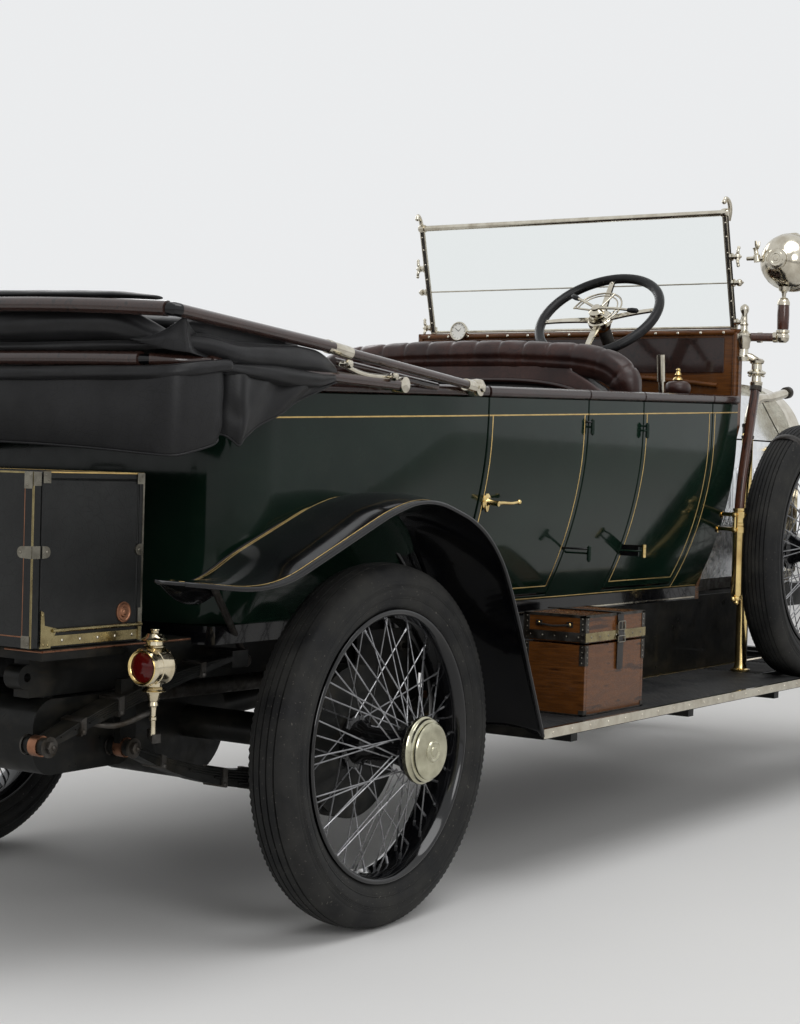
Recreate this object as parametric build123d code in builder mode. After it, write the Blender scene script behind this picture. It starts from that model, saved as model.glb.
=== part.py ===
"""Open touring car of the brass era, about 1911 to 1914, built as its real pieces.

X points forward, Y to the car's left and Z up. The origin is on the ground, under the
middle of the car's length and width. All sizes are in millimetres. Lengths along the car
are measured from the rear axle and turned into X by along().
"""

import os
from math import cos, radians, sin, sqrt, tan

from build123d import *

os.makedirs("parts", exist_ok=True)

# Driving sizes of the whole car
WHEELBASE = 3645
TRACK = 1422
REAR_OVERHANG = 1012  # rear axle to the rear fenders' tails
FRONT_OVERHANG = 515  # front axle to the fender tips
OVERALL = REAR_OVERHANG + WHEELBASE + FRONT_OVERHANG
REAR_AXLE_X = REAR_OVERHANG - OVERALL / 2
SEAT_FIT = 0.3  # gap between a piece and what it rests on
MOVE_GAP = 6  # gap round a piece that moves

# Wheels
TYRE_DIA = 895
TREAD_WIDTH = 108
RIM_DIA = 654
RIM_WIDTH = 112
RIM_LIP = 6  # width of the rim's flat lip
BEAD_DIA = 612
SPOKES = 20
SPOKE_DIA = 6
HUB_REACH = 175  # wheel centre plane to the hub cap's face
HUB_CAP_DIA = 164
HUB_FACE_DIA = 138
HUB_BARREL_DIA = 110
HUB_BACK = 70  # wheel centre plane to the hub's inner face
STUB_DIA = 44
STUB_DEPTH = 110
STUB_CLEAR = 0.08  # running clearance of shafts
DRUM_DIA = 380
DRUM_WIDTH = 62
AXLE_Z = TYRE_DIA / 2

# Chassis frame
RAIL_TOP = 700
RAIL_HEIGHT = 90
RAIL_WIDTH = 45
RAIL_Y = 420  # outer face behind the dash
RAIL_FRONT_Y = 350  # outer face beside the engine
FRAME_REAR = -900
FRAME_NECK_REAR = 2260
FRAME_NECK_FRONT = 2520
FRAME_FRONT = 3990
TOW_EYE_Z = 655
CROSS_WIDTH = 60
CROSS_HEIGHT = 50
CROSS_PLACES = (-560, 700, 1500, 2150, 3560)

# Axles and springs
AXLE_TUBE_DIA = 84
DIFF_DIA = 300
DIFF_WIDTH = 230
TORQUE_TUBE_DIA = 90
SPRING_Y = 478
FRONT_SPRING_Y = 325
LEAF_WIDTH = 50
LEAF_PACK = 46
KINGPIN_Y = 600
KINGPIN_DIA = 30
ARM_REACH = 120  # steering arm behind the kingpin
ARM_DIA = 22
BEAM_WIDTH = 50
BEAM_HEIGHT = 60
BEAM_DROP = 58

# Body
BODY_HALF = 660
BODY_BOTTOM_HALF = 520
BODY_BELT_Z = 1300  # widest height of the side
BODY_BOTTOM_Z = 745
BODY_WALL = 34
BODY_REAR = -420
BODY_REAR_HALF = 590
BODY_CORNER = 150
BODY_TAPER_END = 420
DASH_X = 2200
DASH_HALF = 640
RAIL_Z_REAR = 1296  # top edge of the side at the tub's rear
RAIL_Z_FRONT = 1372  # top edge of the side at the dash
TOP_RAIL = 30
RAIL_PROUD = 4  # top rail out beyond the side
SILL_HEIGHT = 44

# Doors
DOOR_BOTTOM_Z = 765
REAR_DOOR_HINGE = 1142
REAR_DOOR_WIDTH = 568
FRONT_DOOR_HINGE = 1498
FRONT_DOOR_WIDTH = 504
HINGE_OUT = 12  # hinge line outside the widest point of the side
HINGE_PIN = 8

# Dash, screen and bonnet
DASH_THICK = 26
DASH_TOP = 1628
SCREEN_HALF = 622
SCREEN_TOP = 2027
SCREEN_MID = 1790
SCREEN_RAKE = 100
SCREEN_BAR = 22
BONNET_START = 2290
BONNET_REAR_HALF = 372
BONNET_FRONT_HALF = 300
BONNET_TOP = 1500
BONNET_SHOULDER_Z = 1450
BONNET_BREAK_Z = 1265
BONNET_BOTTOM = 745
BONNET_SKIN = 5
RADIATOR_X = 3505
RADIATOR_DEPTH = 110
RADIATOR_HALF = 300
RADIATOR_BOTTOM = 701
RADIATOR_TOP = 1496

# Running boards and fenders
REAR_FENDER_INNER = 590
FRONT_FENDER_INNER = 556
BOARD_TOP = 440
BOARD_THICK = 28
BOARD_INNER = 432
BOARD_EDGE_IN = 6  # board's edge inside the fenders' outer edge
BOARD_REAR = 584
BOARD_FRONT = 3040
FENDER_OUTER = 860
FENDER_SHEET = 6
BOARD_OUTER = FENDER_OUTER - BOARD_EDGE_IN

# Trunk, tank, tool box and spare wheel
TRUNK_DEPTH = 345
TRUNK_HALF = 500
TRUNK_BOTTOM = 724
TRUNK_TOP = 1100
TRUNK_WALL = 16
TRUNK_DOOR = 22
RACK_THICK = 23.4
TANK_LENGTH = 330
TANK_HEIGHT = 166
TANK_REAR = -905
TANK_BOTTOM = 440
TANK_HALF = 440
BOX_REAR = 900
BOX_FRONT = 1262
BOX_INNER = 600
BOX_OUTER = 800
BOX_HEIGHT = 283
BOX_LID = 80
BOX_WALL = 14
HINGE_STAND = 7  # hinge pin out from the box's back
SPARE_X = 2600
SPARE_Y = 752
SPARE_SINK = 18  # depth of the wheel well in the board

# Seats
FRONT_SEAT_BACK = 1462
SEAT_ROLL_Z = 1507  # the roll's centre line at the car's middle
SEAT_ROLL_DIA = 84

# Steering
WHEEL_CENTRE = (1850, -300, 1650)
WHEEL_DIA = 450
WHEEL_GRIP = 30
COLUMN_TILT = 48  # column above the horizontal
COLUMN_DIA = 44
SHAFT_DIA = 24

# Folded hood
HOOD_Y = 684
BOW_DIA = 34
HOOD_HALF = 655


def along(distance):
    """X of a place measured forward from the rear axle."""
    return REAR_AXLE_X + distance


def save(part, name):
    """Label one finished piece and write it as parts/name.step."""
    part.label = name
    export_step(part, f"parts/{name}.step")


def box_between(low, high):
    """A block between two corners."""
    size = [b - a for a, b in zip(low, high)]
    with BuildPart() as block:
        with Locations(tuple((a + b) / 2 for a, b in zip(low, high))):
            Box(*size)
    return block.part


def rod(start, end, diameter):
    """A round bar from one point to another."""
    axis = Vector(*end) - Vector(*start)
    with BuildPart() as bar:
        with BuildSketch(Plane(origin=start, z_dir=axis)):
            Circle(diameter / 2)
        extrude(amount=axis.length)
    return bar.part


def bent_rod(points, diameter):
    """A round bar along several points, with round corners."""
    with BuildPart() as bar:
        for start, end in zip(points, points[1:]):
            add(rod(start, end, diameter))
        for corner in points[1:-1]:
            with Locations(corner):
                Sphere(diameter / 2)
    return bar.part


def both_sides(part):
    """The piece and its mirror image on the car's other side."""
    with BuildPart() as pair:
        add(part)
        mirror(about=Plane.XZ)
    return pair.part


# Body shell
def side_half(z):
    """Half width of the body's outer side at a height: one arc, upright at the belt."""
    drop = BODY_BELT_Z - BODY_BOTTOM_Z
    inset = BODY_HALF - BODY_BOTTOM_HALF
    radius = (drop**2 + inset**2) / (2 * inset)
    below = max(BODY_BELT_Z - z, 0)
    return BODY_HALF - radius + sqrt(radius**2 - below**2)


def body_section(grow, top):
    """Closed cross-section of the body in Y and Z, grown outward by grow."""
    bottom = BODY_BOTTOM_Z - (grow if grow > 0 else 0) - SILL_HEIGHT
    middle = (BODY_BELT_Z + BODY_BOTTOM_Z) / 2
    low_half = side_half(BODY_BOTTOM_Z) + grow
    mid_half = side_half(middle) + grow
    with BuildSketch(Plane.YZ) as section:
        with BuildLine():
            Polyline((0, top), (BODY_HALF + grow, top), (BODY_HALF + grow, BODY_BELT_Z))
            ThreePointArc(
                (BODY_HALF + grow, BODY_BELT_Z), (mid_half, middle), (low_half, BODY_BOTTOM_Z)
            )
            Polyline((low_half, BODY_BOTTOM_Z), (low_half, bottom), (0, bottom), (0, top))
        make_face()
        mirror(about=Plane.YZ)
    return section.sketch_local


def body_plan(grow, front):
    """Closed plan of the body, grown outward by grow and ended at front."""
    rear = along(BODY_REAR) - grow
    corner = BODY_CORNER + grow
    rear_half = BODY_REAR_HALF + grow
    with BuildSketch() as plan:
        with BuildLine():
            Polyline((rear, 0), (rear, rear_half - corner))
            RadiusArc((rear, rear_half - corner), (rear + corner, rear_half), corner)
            Polyline(
                (rear + corner, rear_half),
                (along(BODY_TAPER_END), BODY_HALF + grow + 1),
                (front, BODY_HALF + grow + 1),
                (front, 0),
                (rear, 0),
            )
        make_face()
        mirror(about=Plane.XZ)
    return plan.sketch_local


def body_envelope(grow, top, front):
    """Solid outer form of the body: its cross-section and its plan in common."""
    with BuildPart() as form:
        with BuildSketch(Plane.YZ.offset(along(BODY_REAR) - 200)):
            add(body_section(grow, top))
        extrude(amount=front - along(BODY_REAR) + 200)
        with BuildSketch():
            add(body_plan(grow, front))
        extrude(amount=top + 200, mode=Mode.INTERSECT)
    return form.part


def belt_cut(lift):
    """Everything above the sloping top edge of the body, raised by lift."""
    with BuildPart() as cut:
        with BuildSketch(Plane.XZ.offset(-1000)):
            with BuildLine():
                Polyline(
                    (along(BODY_REAR) - 300, RAIL_Z_REAR + lift - 9),
                    (along(DASH_X), RAIL_Z_FRONT + lift),
                    (along(DASH_X), 2200),
                    (along(BODY_REAR) - 300, 2200),
                    close=True,
                )
            make_face()
        extrude(amount=2000)
    return cut.part


def body_shell():
    """Side and rear walls of the tub below the sloping top edge."""
    front = along(DASH_X) - SEAT_FIT
    outer = body_envelope(0, 1500, front)
    inner = body_envelope(-BODY_WALL, 1501, front + 10)
    with BuildPart() as shell:
        add(outer)
        add(inner, mode=Mode.SUBTRACT)
        add(belt_cut(0), mode=Mode.SUBTRACT)
        floor_top = box_between(
            (along(BODY_REAR) - 50, -800, 0),
            (front + 50, 800, BODY_BOTTOM_Z),
        )
        add(floor_top, mode=Mode.SUBTRACT)
    return shell.part


def rail_shell():
    """The rounded capping that runs round the tub's top edge."""
    front = along(DASH_X) - SEAT_FIT
    outer = body_envelope(RAIL_PROUD, 1500, front)
    inner = body_envelope(-BODY_WALL - RAIL_PROUD, 1501, front + 10)
    with BuildPart() as cap:
        add(outer)
        add(inner, mode=Mode.SUBTRACT)
        add(belt_cut(TOP_RAIL + SEAT_FIT), mode=Mode.SUBTRACT)
        keep = belt_cut(SEAT_FIT)
        add(keep, mode=Mode.INTERSECT)
    return cap.part


def door_zone(hinge, width, grow, side, hinge_at_front):
    """The space that a door fills, as seen from above a disc round its hinge line."""
    y_hinge = side * (BODY_HALF + HINGE_OUT)
    reach = -1 if hinge_at_front else 1
    edge = along(hinge) + reach * (MOVE_GAP / 2 - grow)
    far = along(hinge) + reach * (width + 60)
    low_x, high_x = min(edge, far), max(edge, far)
    low_y, high_y = sorted((side * 440, side * 720))
    with BuildPart() as zone:
        add(box_between((low_x, low_y, DOOR_BOTTOM_Z - grow), (high_x, high_y, 1500)))
        with BuildPart(mode=Mode.PRIVATE) as disc:
            with Locations((along(hinge), y_hinge, 1000)):
                Cylinder(width - MOVE_GAP + grow, 1200)
        add(disc.part, mode=Mode.INTERSECT)
    return zone.part


DOORS = (
    # name, hinge, width, side of the car, hinge at the door's front edge
    ("door_rear_right", REAR_DOOR_HINGE, REAR_DOOR_WIDTH, -1, True),
    ("door_rear_left", REAR_DOOR_HINGE, REAR_DOOR_WIDTH, 1, True),
    ("door_front_right", FRONT_DOOR_HINGE, FRONT_DOOR_WIDTH, -1, False),
    ("door_front_left", FRONT_DOOR_HINGE, FRONT_DOOR_WIDTH, 1, False),
)


def door_handle(hinge, width, side, hinge_at_front):
    """Lever handle with its rose, near the door's free edge."""
    reach = -1 if hinge_at_front else 1
    x = along(hinge) + reach * (width - 45)
    z = 1041
    y = side * side_half(z)
    with BuildPart() as handle:
        add(rod((x, y - side * 8, z), (x, y + side * 42, z), 16))
        add(rod((x, y - side * 8, z), (x, y + side * 6, z), 40))
        add(rod((x, y + side * 36, z), (x - reach * 120, y + side * 36, z), 13))
    return handle.part


HINGE_HEIGHTS = (888, 1262)


def hinge_arm(hinge, side, reach, z, low, high):
    """An outrigger arm from the body's side out to the hinge line, between two heights."""
    y_axis = side * (BODY_HALF + HINGE_OUT)
    inner = side * (side_half(z + low) - 12)
    x_low, x_high = sorted((along(hinge) + reach * 4, along(hinge) + reach * 22))
    y_low, y_high = sorted((inner, y_axis + side * 4))
    with BuildPart() as arm:
        add(box_between((x_low, y_low, z + low), (x_high, y_high, z + high)))
        x_low, x_high = sorted((along(hinge), along(hinge) + reach * 10))
        y_low, y_high = sorted((y_axis - side * 4, y_axis + side * 4))
        add(box_between((x_low, y_low, z + low), (x_high, y_high, z + high)))
        add(rod((along(hinge), y_axis, z + low), (along(hinge), y_axis, z + high), 16))
    return arm.part


def door_arms(hinge, side, reach):
    """The door's two arms at each hinge, bored for the pins."""
    y_axis = side * (BODY_HALF + HINGE_OUT)
    with BuildPart() as arms:
        for z in HINGE_HEIGHTS:
            add(hinge_arm(hinge, side, reach, z, 8, 20))
            add(hinge_arm(hinge, side, reach, z, -20, -8))
            bore = HINGE_PIN + 2 * STUB_CLEAR
            hole = rod((along(hinge), y_axis, z - 24), (along(hinge), y_axis, z + 24), bore)
            add(hole, mode=Mode.SUBTRACT)
    return arms.part


def post_arms(hinge, side, reach):
    """The post's arm and pin at each hinge."""
    y_axis = side * (BODY_HALF + HINGE_OUT)
    with BuildPart() as arms:
        for z in HINGE_HEIGHTS:
            add(hinge_arm(hinge, side, reach, z, -6, 6))
            add(rod((along(hinge), y_axis, z - 22), (along(hinge), y_axis, z + 22), HINGE_PIN))
    return arms.part


def build_body():
    """Doors, fixed wall panels, top rails and floor."""
    shell = body_shell()
    cap = rail_shell()
    for name, hinge, width, side, front_hung in DOORS:
        zone = door_zone(hinge, width, 0, side, front_hung)
        with BuildPart() as door:
            add(shell)
            add(cap)
            add(box_between(
                (along(BODY_REAR) - 50, -800, BODY_BOTTOM_Z),
                (along(DASH_X), 800, BODY_BOTTOM_Z + 1),
            ), mode=Mode.SUBTRACT)
            with BuildPart(mode=Mode.PRIVATE) as seam:
                add(shell)
                with Locations((0, 0, SEAT_FIT)):
                    add(shell)
            add(seam.part)
            add(zone, mode=Mode.INTERSECT)
            add(door_handle(hinge, width, side, front_hung))
            add(door_arms(hinge, side, -1 if front_hung else 1))
        save(door.part, name)

    openings = [door_zone(h, w, MOVE_GAP, s, f) for _, h, w, s, f in DOORS]
    with BuildPart() as walls:
        add(shell)
        for zone in openings:
            add(zone, mode=Mode.SUBTRACT)
    rear = box_between((-4000, -900, 0), (along(REAR_DOOR_HINGE - REAR_DOOR_WIDTH) + 40, 900, 2000))
    with BuildPart() as rear_body:
        add(walls.part)
        add(rear, mode=Mode.INTERSECT)
    save(rear_body.part, "rear_body")
    with BuildPart() as panels:
        add(walls.part)
        add(rear, mode=Mode.SUBTRACT)
        for _, hinge, _, side, front_hung in DOORS:
            add(post_arms(hinge, side, 1 if front_hung else -1))
    save(panels.part, "side_panels")
    with BuildPart() as rails:
        add(cap)
        for zone in openings:
            add(zone, mode=Mode.SUBTRACT)
    save(rails.part, "top_rails")
    with BuildPart() as floor:
        add(body_envelope(0, 1500, along(DASH_X) - SEAT_FIT))
        add(box_between(
            (along(BODY_REAR) - 50, -800, RAIL_TOP + SEAT_FIT),
            (along(DASH_X), 800, BODY_BOTTOM_Z - SEAT_FIT),
        ), mode=Mode.INTERSECT)
    save(floor.part, "body_floor")


# Bent sheets
def shifted(points, shift):
    """The same bent line moved sideways by shift: X, Z and corner radius of each point."""
    moved = []
    for i, (x, z, radius) in enumerate(points):
        before = points[max(i - 1, 0)]
        after = points[min(i + 1, len(points) - 1)]
        here = Vector(x, z)
        one = (here - Vector(before[0], before[1])) if i > 0 else None
        two = (Vector(after[0], after[1]) - here) if i < len(points) - 1 else None
        one = (one or two).normalized()
        two = (two or one).normalized()
        side_one = Vector(-one.Y, one.X)
        side_two = Vector(-two.Y, two.X)
        middle = (side_one + side_two).normalized()
        reach = shift / middle.dot(side_one)
        turn = one.X * two.Y - one.Y * two.X
        new_radius = radius - shift if turn > 0 else radius + shift
        moved.append((x + middle.X * reach, z + middle.Y * reach, new_radius if radius else 0))
    return moved


def bend_ends(points, i):
    """Where the arc at point i starts, passes and ends."""
    x, z, radius = points[i]
    here = Vector(x, z)
    back = (Vector(points[i - 1][0], points[i - 1][1]) - here).normalized()
    ahead = (Vector(points[i + 1][0], points[i + 1][1]) - here).normalized()
    half = back.get_angle(ahead) / 2
    run = radius / tan(radians(half))
    to_centre = (back + ahead).normalized()
    centre_far = radius / sin(radians(half))
    start = here + back * run
    end = here + ahead * run
    middle = here + to_centre * (centre_far - radius)
    return start, middle, end


def draw_bent(points):
    """Draw lines and arcs along the points in the open BuildLine."""
    last = Vector(points[0][0], points[0][1])
    for i in range(1, len(points) - 1):
        if not points[i][2]:
            here = Vector(points[i][0], points[i][1])
            Line(tuple(last)[:2], tuple(here)[:2])
            last = here
            continue
        start, middle, end = bend_ends(points, i)
        if (start - last).length > 0.01:
            Line(tuple(last)[:2], tuple(start)[:2])
        ThreePointArc(tuple(start)[:2], tuple(middle)[:2], tuple(end)[:2])
        last = end
    Line(tuple(last)[:2], points[-1][:2])


def bent_sheet(points, thickness, near, far):
    """A sheet bent along X, Z points measured from the rear axle, between two Y planes."""
    line = [(along(x), z, radius) for x, z, radius in points]
    under = shifted(line, -thickness)
    with BuildPart() as sheet:
        with BuildSketch(Plane(origin=(0, near, 0), x_dir=(1, 0, 0), z_dir=(0, -1, 0))):
            with BuildLine():
                draw_bent(line)
                draw_bent(under)
                Line(line[0][:2], under[0][:2])
                Line(line[-1][:2], under[-1][:2])
            make_face()
        extrude(amount=near - far)
    return sheet.part


REAR_FENDER_LINE = (
    # X, Z, corner radius
    (-1012, 901, 0),
    (-606, 859, 490),
    (-169, 1025, 680),
    (-6, 1068, 380),
    (310, 976, 380),
    (439, 739, 3200),
    (584, 425, 0),
)
FRONT_FENDER_LINE = (
    (3040, 442, 0),
    (3150, 640, 500),
    (3330, 960, 260),
    (3700, 1010, 420),
    (3990, 960, 300),
    (4160, 800, 0),
)


def build_fenders():
    """Front and rear fenders with their inner aprons, and the running boards."""
    body = body_envelope(1, 1500, along(DASH_X) + 60)
    with BuildPart() as rear:
        add(bent_sheet(REAR_FENDER_LINE, FENDER_SHEET, -REAR_FENDER_INNER, -FENDER_OUTER))
        edge = bent_sheet(shifted(REAR_FENDER_LINE, -1), 9, -FENDER_OUTER + 12, -FENDER_OUTER - 2)
        add(edge)
        flange = REAR_FENDER_INNER + 6
        add(bent_sheet(shifted(REAR_FENDER_LINE, 0), 62, -flange, -flange - 4))
        add(rod((along(-335), -RAIL_Y - 11, 682), (along(-590), -640, 862), 18))
        add(box_between(
            (along(-350), -RAIL_Y - 20, 668), (along(-320), -RAIL_Y - SEAT_FIT, 694),
        ))
        add(body, mode=Mode.SUBTRACT)
    save(both_sides(rear.part), "rear_fenders")

    with BuildPart() as front:
        add(bent_sheet(FRONT_FENDER_LINE, FENDER_SHEET, -FRONT_FENDER_INNER, -FENDER_OUTER))
        add(bent_sheet(shifted(FRONT_FENDER_LINE, -1), 9, -FENDER_OUTER + 12, -FENDER_OUTER - 2))
        flange = FRONT_FENDER_INNER
        add(bent_sheet(shifted(FRONT_FENDER_LINE, 0), 40, -flange, -flange - 4))
        for x, z_top in ((3200, 700), (3960, 950)):
            low = (along(x), -RAIL_FRONT_Y - 13, RAIL_TOP - 34)
            add(rod(low, (along(x), -600, z_top), 20))
            add(box_between(
                (along(x - 16), -RAIL_FRONT_Y - 22, RAIL_TOP - 60),
                (along(x + 16), -RAIL_FRONT_Y - SEAT_FIT, RAIL_TOP - 10),
            ))
    save(both_sides(front.part), "front_fenders")

    board_size = ((along(BOARD_REAR), -BOARD_OUTER), (along(BOARD_FRONT), -BOARD_INNER))
    with BuildPart() as board:
        add(box_between(
            (*board_size[0], BOARD_TOP - BOARD_THICK),
            (*board_size[1], BOARD_TOP),
        ))
        well = box_between(
            (along(SPARE_X) - 190, -SPARE_Y - 74, BOARD_TOP - SPARE_SINK),
            (along(SPARE_X) + 190, -SPARE_Y + 74, BOARD_TOP + 1),
        )
        add(well, mode=Mode.SUBTRACT)
    boards = both_sides(board.part)
    with BuildPart() as brackets:
        for x in (760, 1500, 2160, 2900):
            rail_y = RAIL_Y if x < FRAME_NECK_REAR else RAIL_FRONT_Y
            under = BOARD_TOP - BOARD_THICK - SEAT_FIT
            add(box_between(
                (along(x), -840, under - 24), (along(x) + 36, -rail_y + 35, under),
            ))
            add(box_between(
                (along(x), -rail_y + 5, under - 24),
                (along(x) + 36, -rail_y + 35, RAIL_TOP - RAIL_HEIGHT - SEAT_FIT),
            ))
    save(both_sides(brackets.part), "board_brackets")
    with BuildPart() as both:
        add(boards)
        add(box_between(
            (along(SPARE_X) - 200, 600, BOARD_TOP - SPARE_SINK),
            (along(SPARE_X) + 200, BOARD_OUTER, BOARD_TOP),
        ))
    save(both.part, "running_boards")

    with BuildPart() as apron:
        add(box_between(
            (along(BOARD_REAR) + 60, -BOARD_INNER + 1, BOARD_TOP - 10),
            (along(2244), -BOARD_INNER + 5, RAIL_TOP - 1),
        ))
        add(box_between(
            (along(BOARD_REAR) + 60, -BOARD_INNER + 4, RAIL_TOP - 40),
            (along(2244), -RAIL_Y - SEAT_FIT, RAIL_TOP - 1),
        ))
    save(both_sides(apron.part), "aprons")


# Chassis
def frame_rail():
    """One pressed side rail with its neck and its dumb iron."""
    outer = (
        (FRAME_REAR, RAIL_Y),
        (FRAME_NECK_REAR, RAIL_Y),
        (FRAME_NECK_FRONT, RAIL_FRONT_Y),
        (FRAME_FRONT, RAIL_FRONT_Y),
    )
    points = [(along(x), -y) for x, y in outer]
    points += [(along(x), -y + RAIL_WIDTH) for x, y in reversed(outer)]
    with BuildPart() as rail:
        with BuildSketch(Plane.XY.offset(RAIL_TOP - RAIL_HEIGHT)):
            with BuildLine():
                Polyline(*points, close=True)
            make_face()
        extrude(amount=RAIL_HEIGHT)
        iron = (
            (FRAME_FRONT - 130, RAIL_TOP, 0),
            (FRAME_FRONT - 20, RAIL_TOP, 160),
            (FRAME_FRONT + 100, 580, 0),
        )
        add(bent_sheet(iron, 60, -RAIL_FRONT_Y + RAIL_WIDTH, -RAIL_FRONT_Y))
        tip = (along(FRAME_FRONT + 78), -RAIL_FRONT_Y, 566)
        add(rod(tip, (tip[0], -RAIL_FRONT_Y + RAIL_WIDTH, tip[2]), 56))
        eye = (along(FRAME_REAR - 5), -RAIL_Y, TOW_EYE_Z)
        add(rod(eye, (eye[0], -RAIL_Y + RAIL_WIDTH, eye[2]), 54))
        add(
            rod((eye[0], -RAIL_Y - 1, eye[2]), (eye[0], -RAIL_Y + RAIL_WIDTH + 1, eye[2]), 20),
            mode=Mode.SUBTRACT,
        )
    return rail.part


def build_chassis():
    """Frame, springs, axles, engine, exhaust and tank."""
    with BuildPart() as frame:
        add(both_sides(frame_rail()))
        for x in CROSS_PLACES:
            half = (RAIL_FRONT_Y if x > FRAME_NECK_FRONT else RAIL_Y) - 10
            add(box_between(
                (along(x) - CROSS_WIDTH / 2, -half, RAIL_TOP - CROSS_HEIGHT),
                (along(x) + CROSS_WIDTH / 2, half, RAIL_TOP - 1),
            ))
        add(box_between(
            (along(3535), -45, 560),
            (along(3600), 45, RAIL_TOP - 10),
        ))
        add(rod((along(3536), 0, 600), (along(3680), 0, 600), 58))
        add(rod((along(3560), 0, 600), (along(3690), 0, 600), 28), mode=Mode.SUBTRACT)
        for side in (-1, 1):
            for x in (-277, 600, 3230):
                y = FRONT_SPRING_Y if x > 3000 else RAIL_Y
                drop = 560 if x > 0 else 640
                reach = 40 if x > 3000 else 82
                inner = side * (y - 25)
                outer = side * (y + (0 if x > 3000 else reach))
                low, high = sorted((inner, outer))
                if x > 3000:
                    low, high = sorted((side * (FRONT_SPRING_Y - 20), side * (FRONT_SPRING_Y + 20)))
                add(box_between((along(x) - 30, low, drop), (along(x) + 30, high, RAIL_TOP - 20)))
    save(frame.part, "chassis_frame")

    with BuildPart() as springs:
        lower = ((-660, 490), (0, 376), (600, 500))
        for y_mid, arcs in (
            (SPRING_Y, ((lower, LEAF_PACK),)),
            (SPRING_Y, ((((-308, 668), (-620, 622), (-930, 520)), 34),)),
            (FRONT_SPRING_Y, ((((3230, 520), (3645, 456), (4062, 506)), LEAF_PACK - 8),)),
        ):
            for (a, b, c), thick in arcs:
                side_plane = Plane(
                    origin=(0, -y_mid + LEAF_WIDTH / 2, 0), x_dir=(1, 0, 0), z_dir=(0, -1, 0)
                )
                with BuildSketch(side_plane):
                    with BuildLine():
                        ThreePointArc((along(a[0]), a[1]), (along(b[0]), b[1]), (along(c[0]), c[1]))
                        Line((along(c[0]), c[1]), (along(c[0]), c[1] - 12))
                        ThreePointArc(
                            (along(c[0]), c[1] - 12), (along(b[0]), b[1] - thick), (along(a[0]), a[1] - 12)
                        )
                        Line((along(a[0]), a[1] - 12), (along(a[0]), a[1]))
                    make_face()
                extrude(amount=LEAF_WIDTH)
        for x, z, y in (
            (-660, 486, SPRING_Y),
            (-926, 516, SPRING_Y),
            (600, 494, SPRING_Y),
            (4068, 508, FRONT_SPRING_Y),
        ):
            add(rod((along(x), -y - 30, z), (along(x), -y + 30, z), 38))
        add(box_between((along(-680), -SPRING_Y - 9, 486), (along(-640), -SPRING_Y + 9, 640)))
        add(box_between((along(-75), -SPRING_Y - 30, 318), (along(75), -SPRING_Y + 30, 405.2)))
        add(box_between((along(585), -SPRING_Y - 14, 500), (along(615), -SPRING_Y + 14, 559.7)))
        add(box_between(
            (along(3218), -FRONT_SPRING_Y - 14, 505), (along(3242), -FRONT_SPRING_Y + 14, 559.7),
        ))
        add(box_between(
            (along(WHEELBASE) - 50, -FRONT_SPRING_Y - 25, AXLE_Z - 33 + SEAT_FIT),
            (along(WHEELBASE) + 50, -FRONT_SPRING_Y + 25, 440),
        ))
    save(both_sides(springs.part), "leaf_springs")

    with BuildPart() as rear_axle:
        half = TRACK / 2 - HUB_BACK - MOVE_GAP
        add(rod((along(0), -half, AXLE_Z), (along(0), half, AXLE_Z), AXLE_TUBE_DIA))
        add(rod((along(0), -DIFF_WIDTH / 2, AXLE_Z), (along(0), DIFF_WIDTH / 2, AXLE_Z), DIFF_DIA))
        add(rod((along(0), 0, AXLE_Z), (along(1556.2), 0, 560), TORQUE_TUBE_DIA))
        stub = TRACK / 2 - HUB_BACK + STUB_DEPTH - 5
        add(rod((along(0), -stub, AXLE_Z), (along(0), stub, AXLE_Z), STUB_DIA))
        for side in (-1, 1):
            a = (along(40), side * 330, AXLE_Z)
            b = (along(1250), side * 60, 512)
            add(rod(a, b, 26))
    save(rear_axle.part, "rear_axle")

    with BuildPart() as front_axle:
        x = along(WHEELBASE)
        half = KINGPIN_Y - 36
        with BuildSketch(Plane(origin=(x - BEAM_WIDTH / 2, 0, 0), x_dir=(0, 1, 0), z_dir=(1, 0, 0))):
            with BuildLine():
                high = AXLE_Z + 25
                low = high - BEAM_HEIGHT
                Polyline(
                    (-half, high), (-470, high), (-400, high - BEAM_DROP),
                    (400, high - BEAM_DROP), (470, high), (half, high),
                    (half, low), (450, low), (380, low - BEAM_DROP),
                    (-380, low - BEAM_DROP), (-450, low), (-half, low),
                    close=True,
                )
            make_face()
        extrude(amount=BEAM_WIDTH)
        for side in (-1, 1):
            for low, high in ((-62, -36), (36, 62)):
                start = (x, side * KINGPIN_Y, AXLE_Z + low)
                add(rod(start, (x, side * KINGPIN_Y, AXLE_Z + high), 66))
                y_low, y_high = sorted((side * (KINGPIN_Y - 60), side * KINGPIN_Y))
                add(box_between(
                    (x - 20, y_low, AXLE_Z + low),
                    (x + 20, y_high, AXLE_Z + high),
                ))
            y_low, y_high = sorted((side * (KINGPIN_Y - 60), side * (KINGPIN_Y - 38)))
            add(box_between((x - 15, y_low, AXLE_Z - 62), (x + 15, y_high, AXLE_Z + 62)))
            pin = rod((x, side * KINGPIN_Y, AXLE_Z - 63), (x, side * KINGPIN_Y, AXLE_Z + 63), KINGPIN_DIA)
            add(pin)
        for side in (-1, 1):
            low, high = sorted((side * 400, side * 430))
            add(box_between((x - 190, low, AXLE_Z - 60), (x, high, AXLE_Z - 36)))
        add(rod((x - 175, -470, AXLE_Z - 48), (x - 175, 470, AXLE_Z - 48), 26))
    save(front_axle.part, "front_axle")

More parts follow.
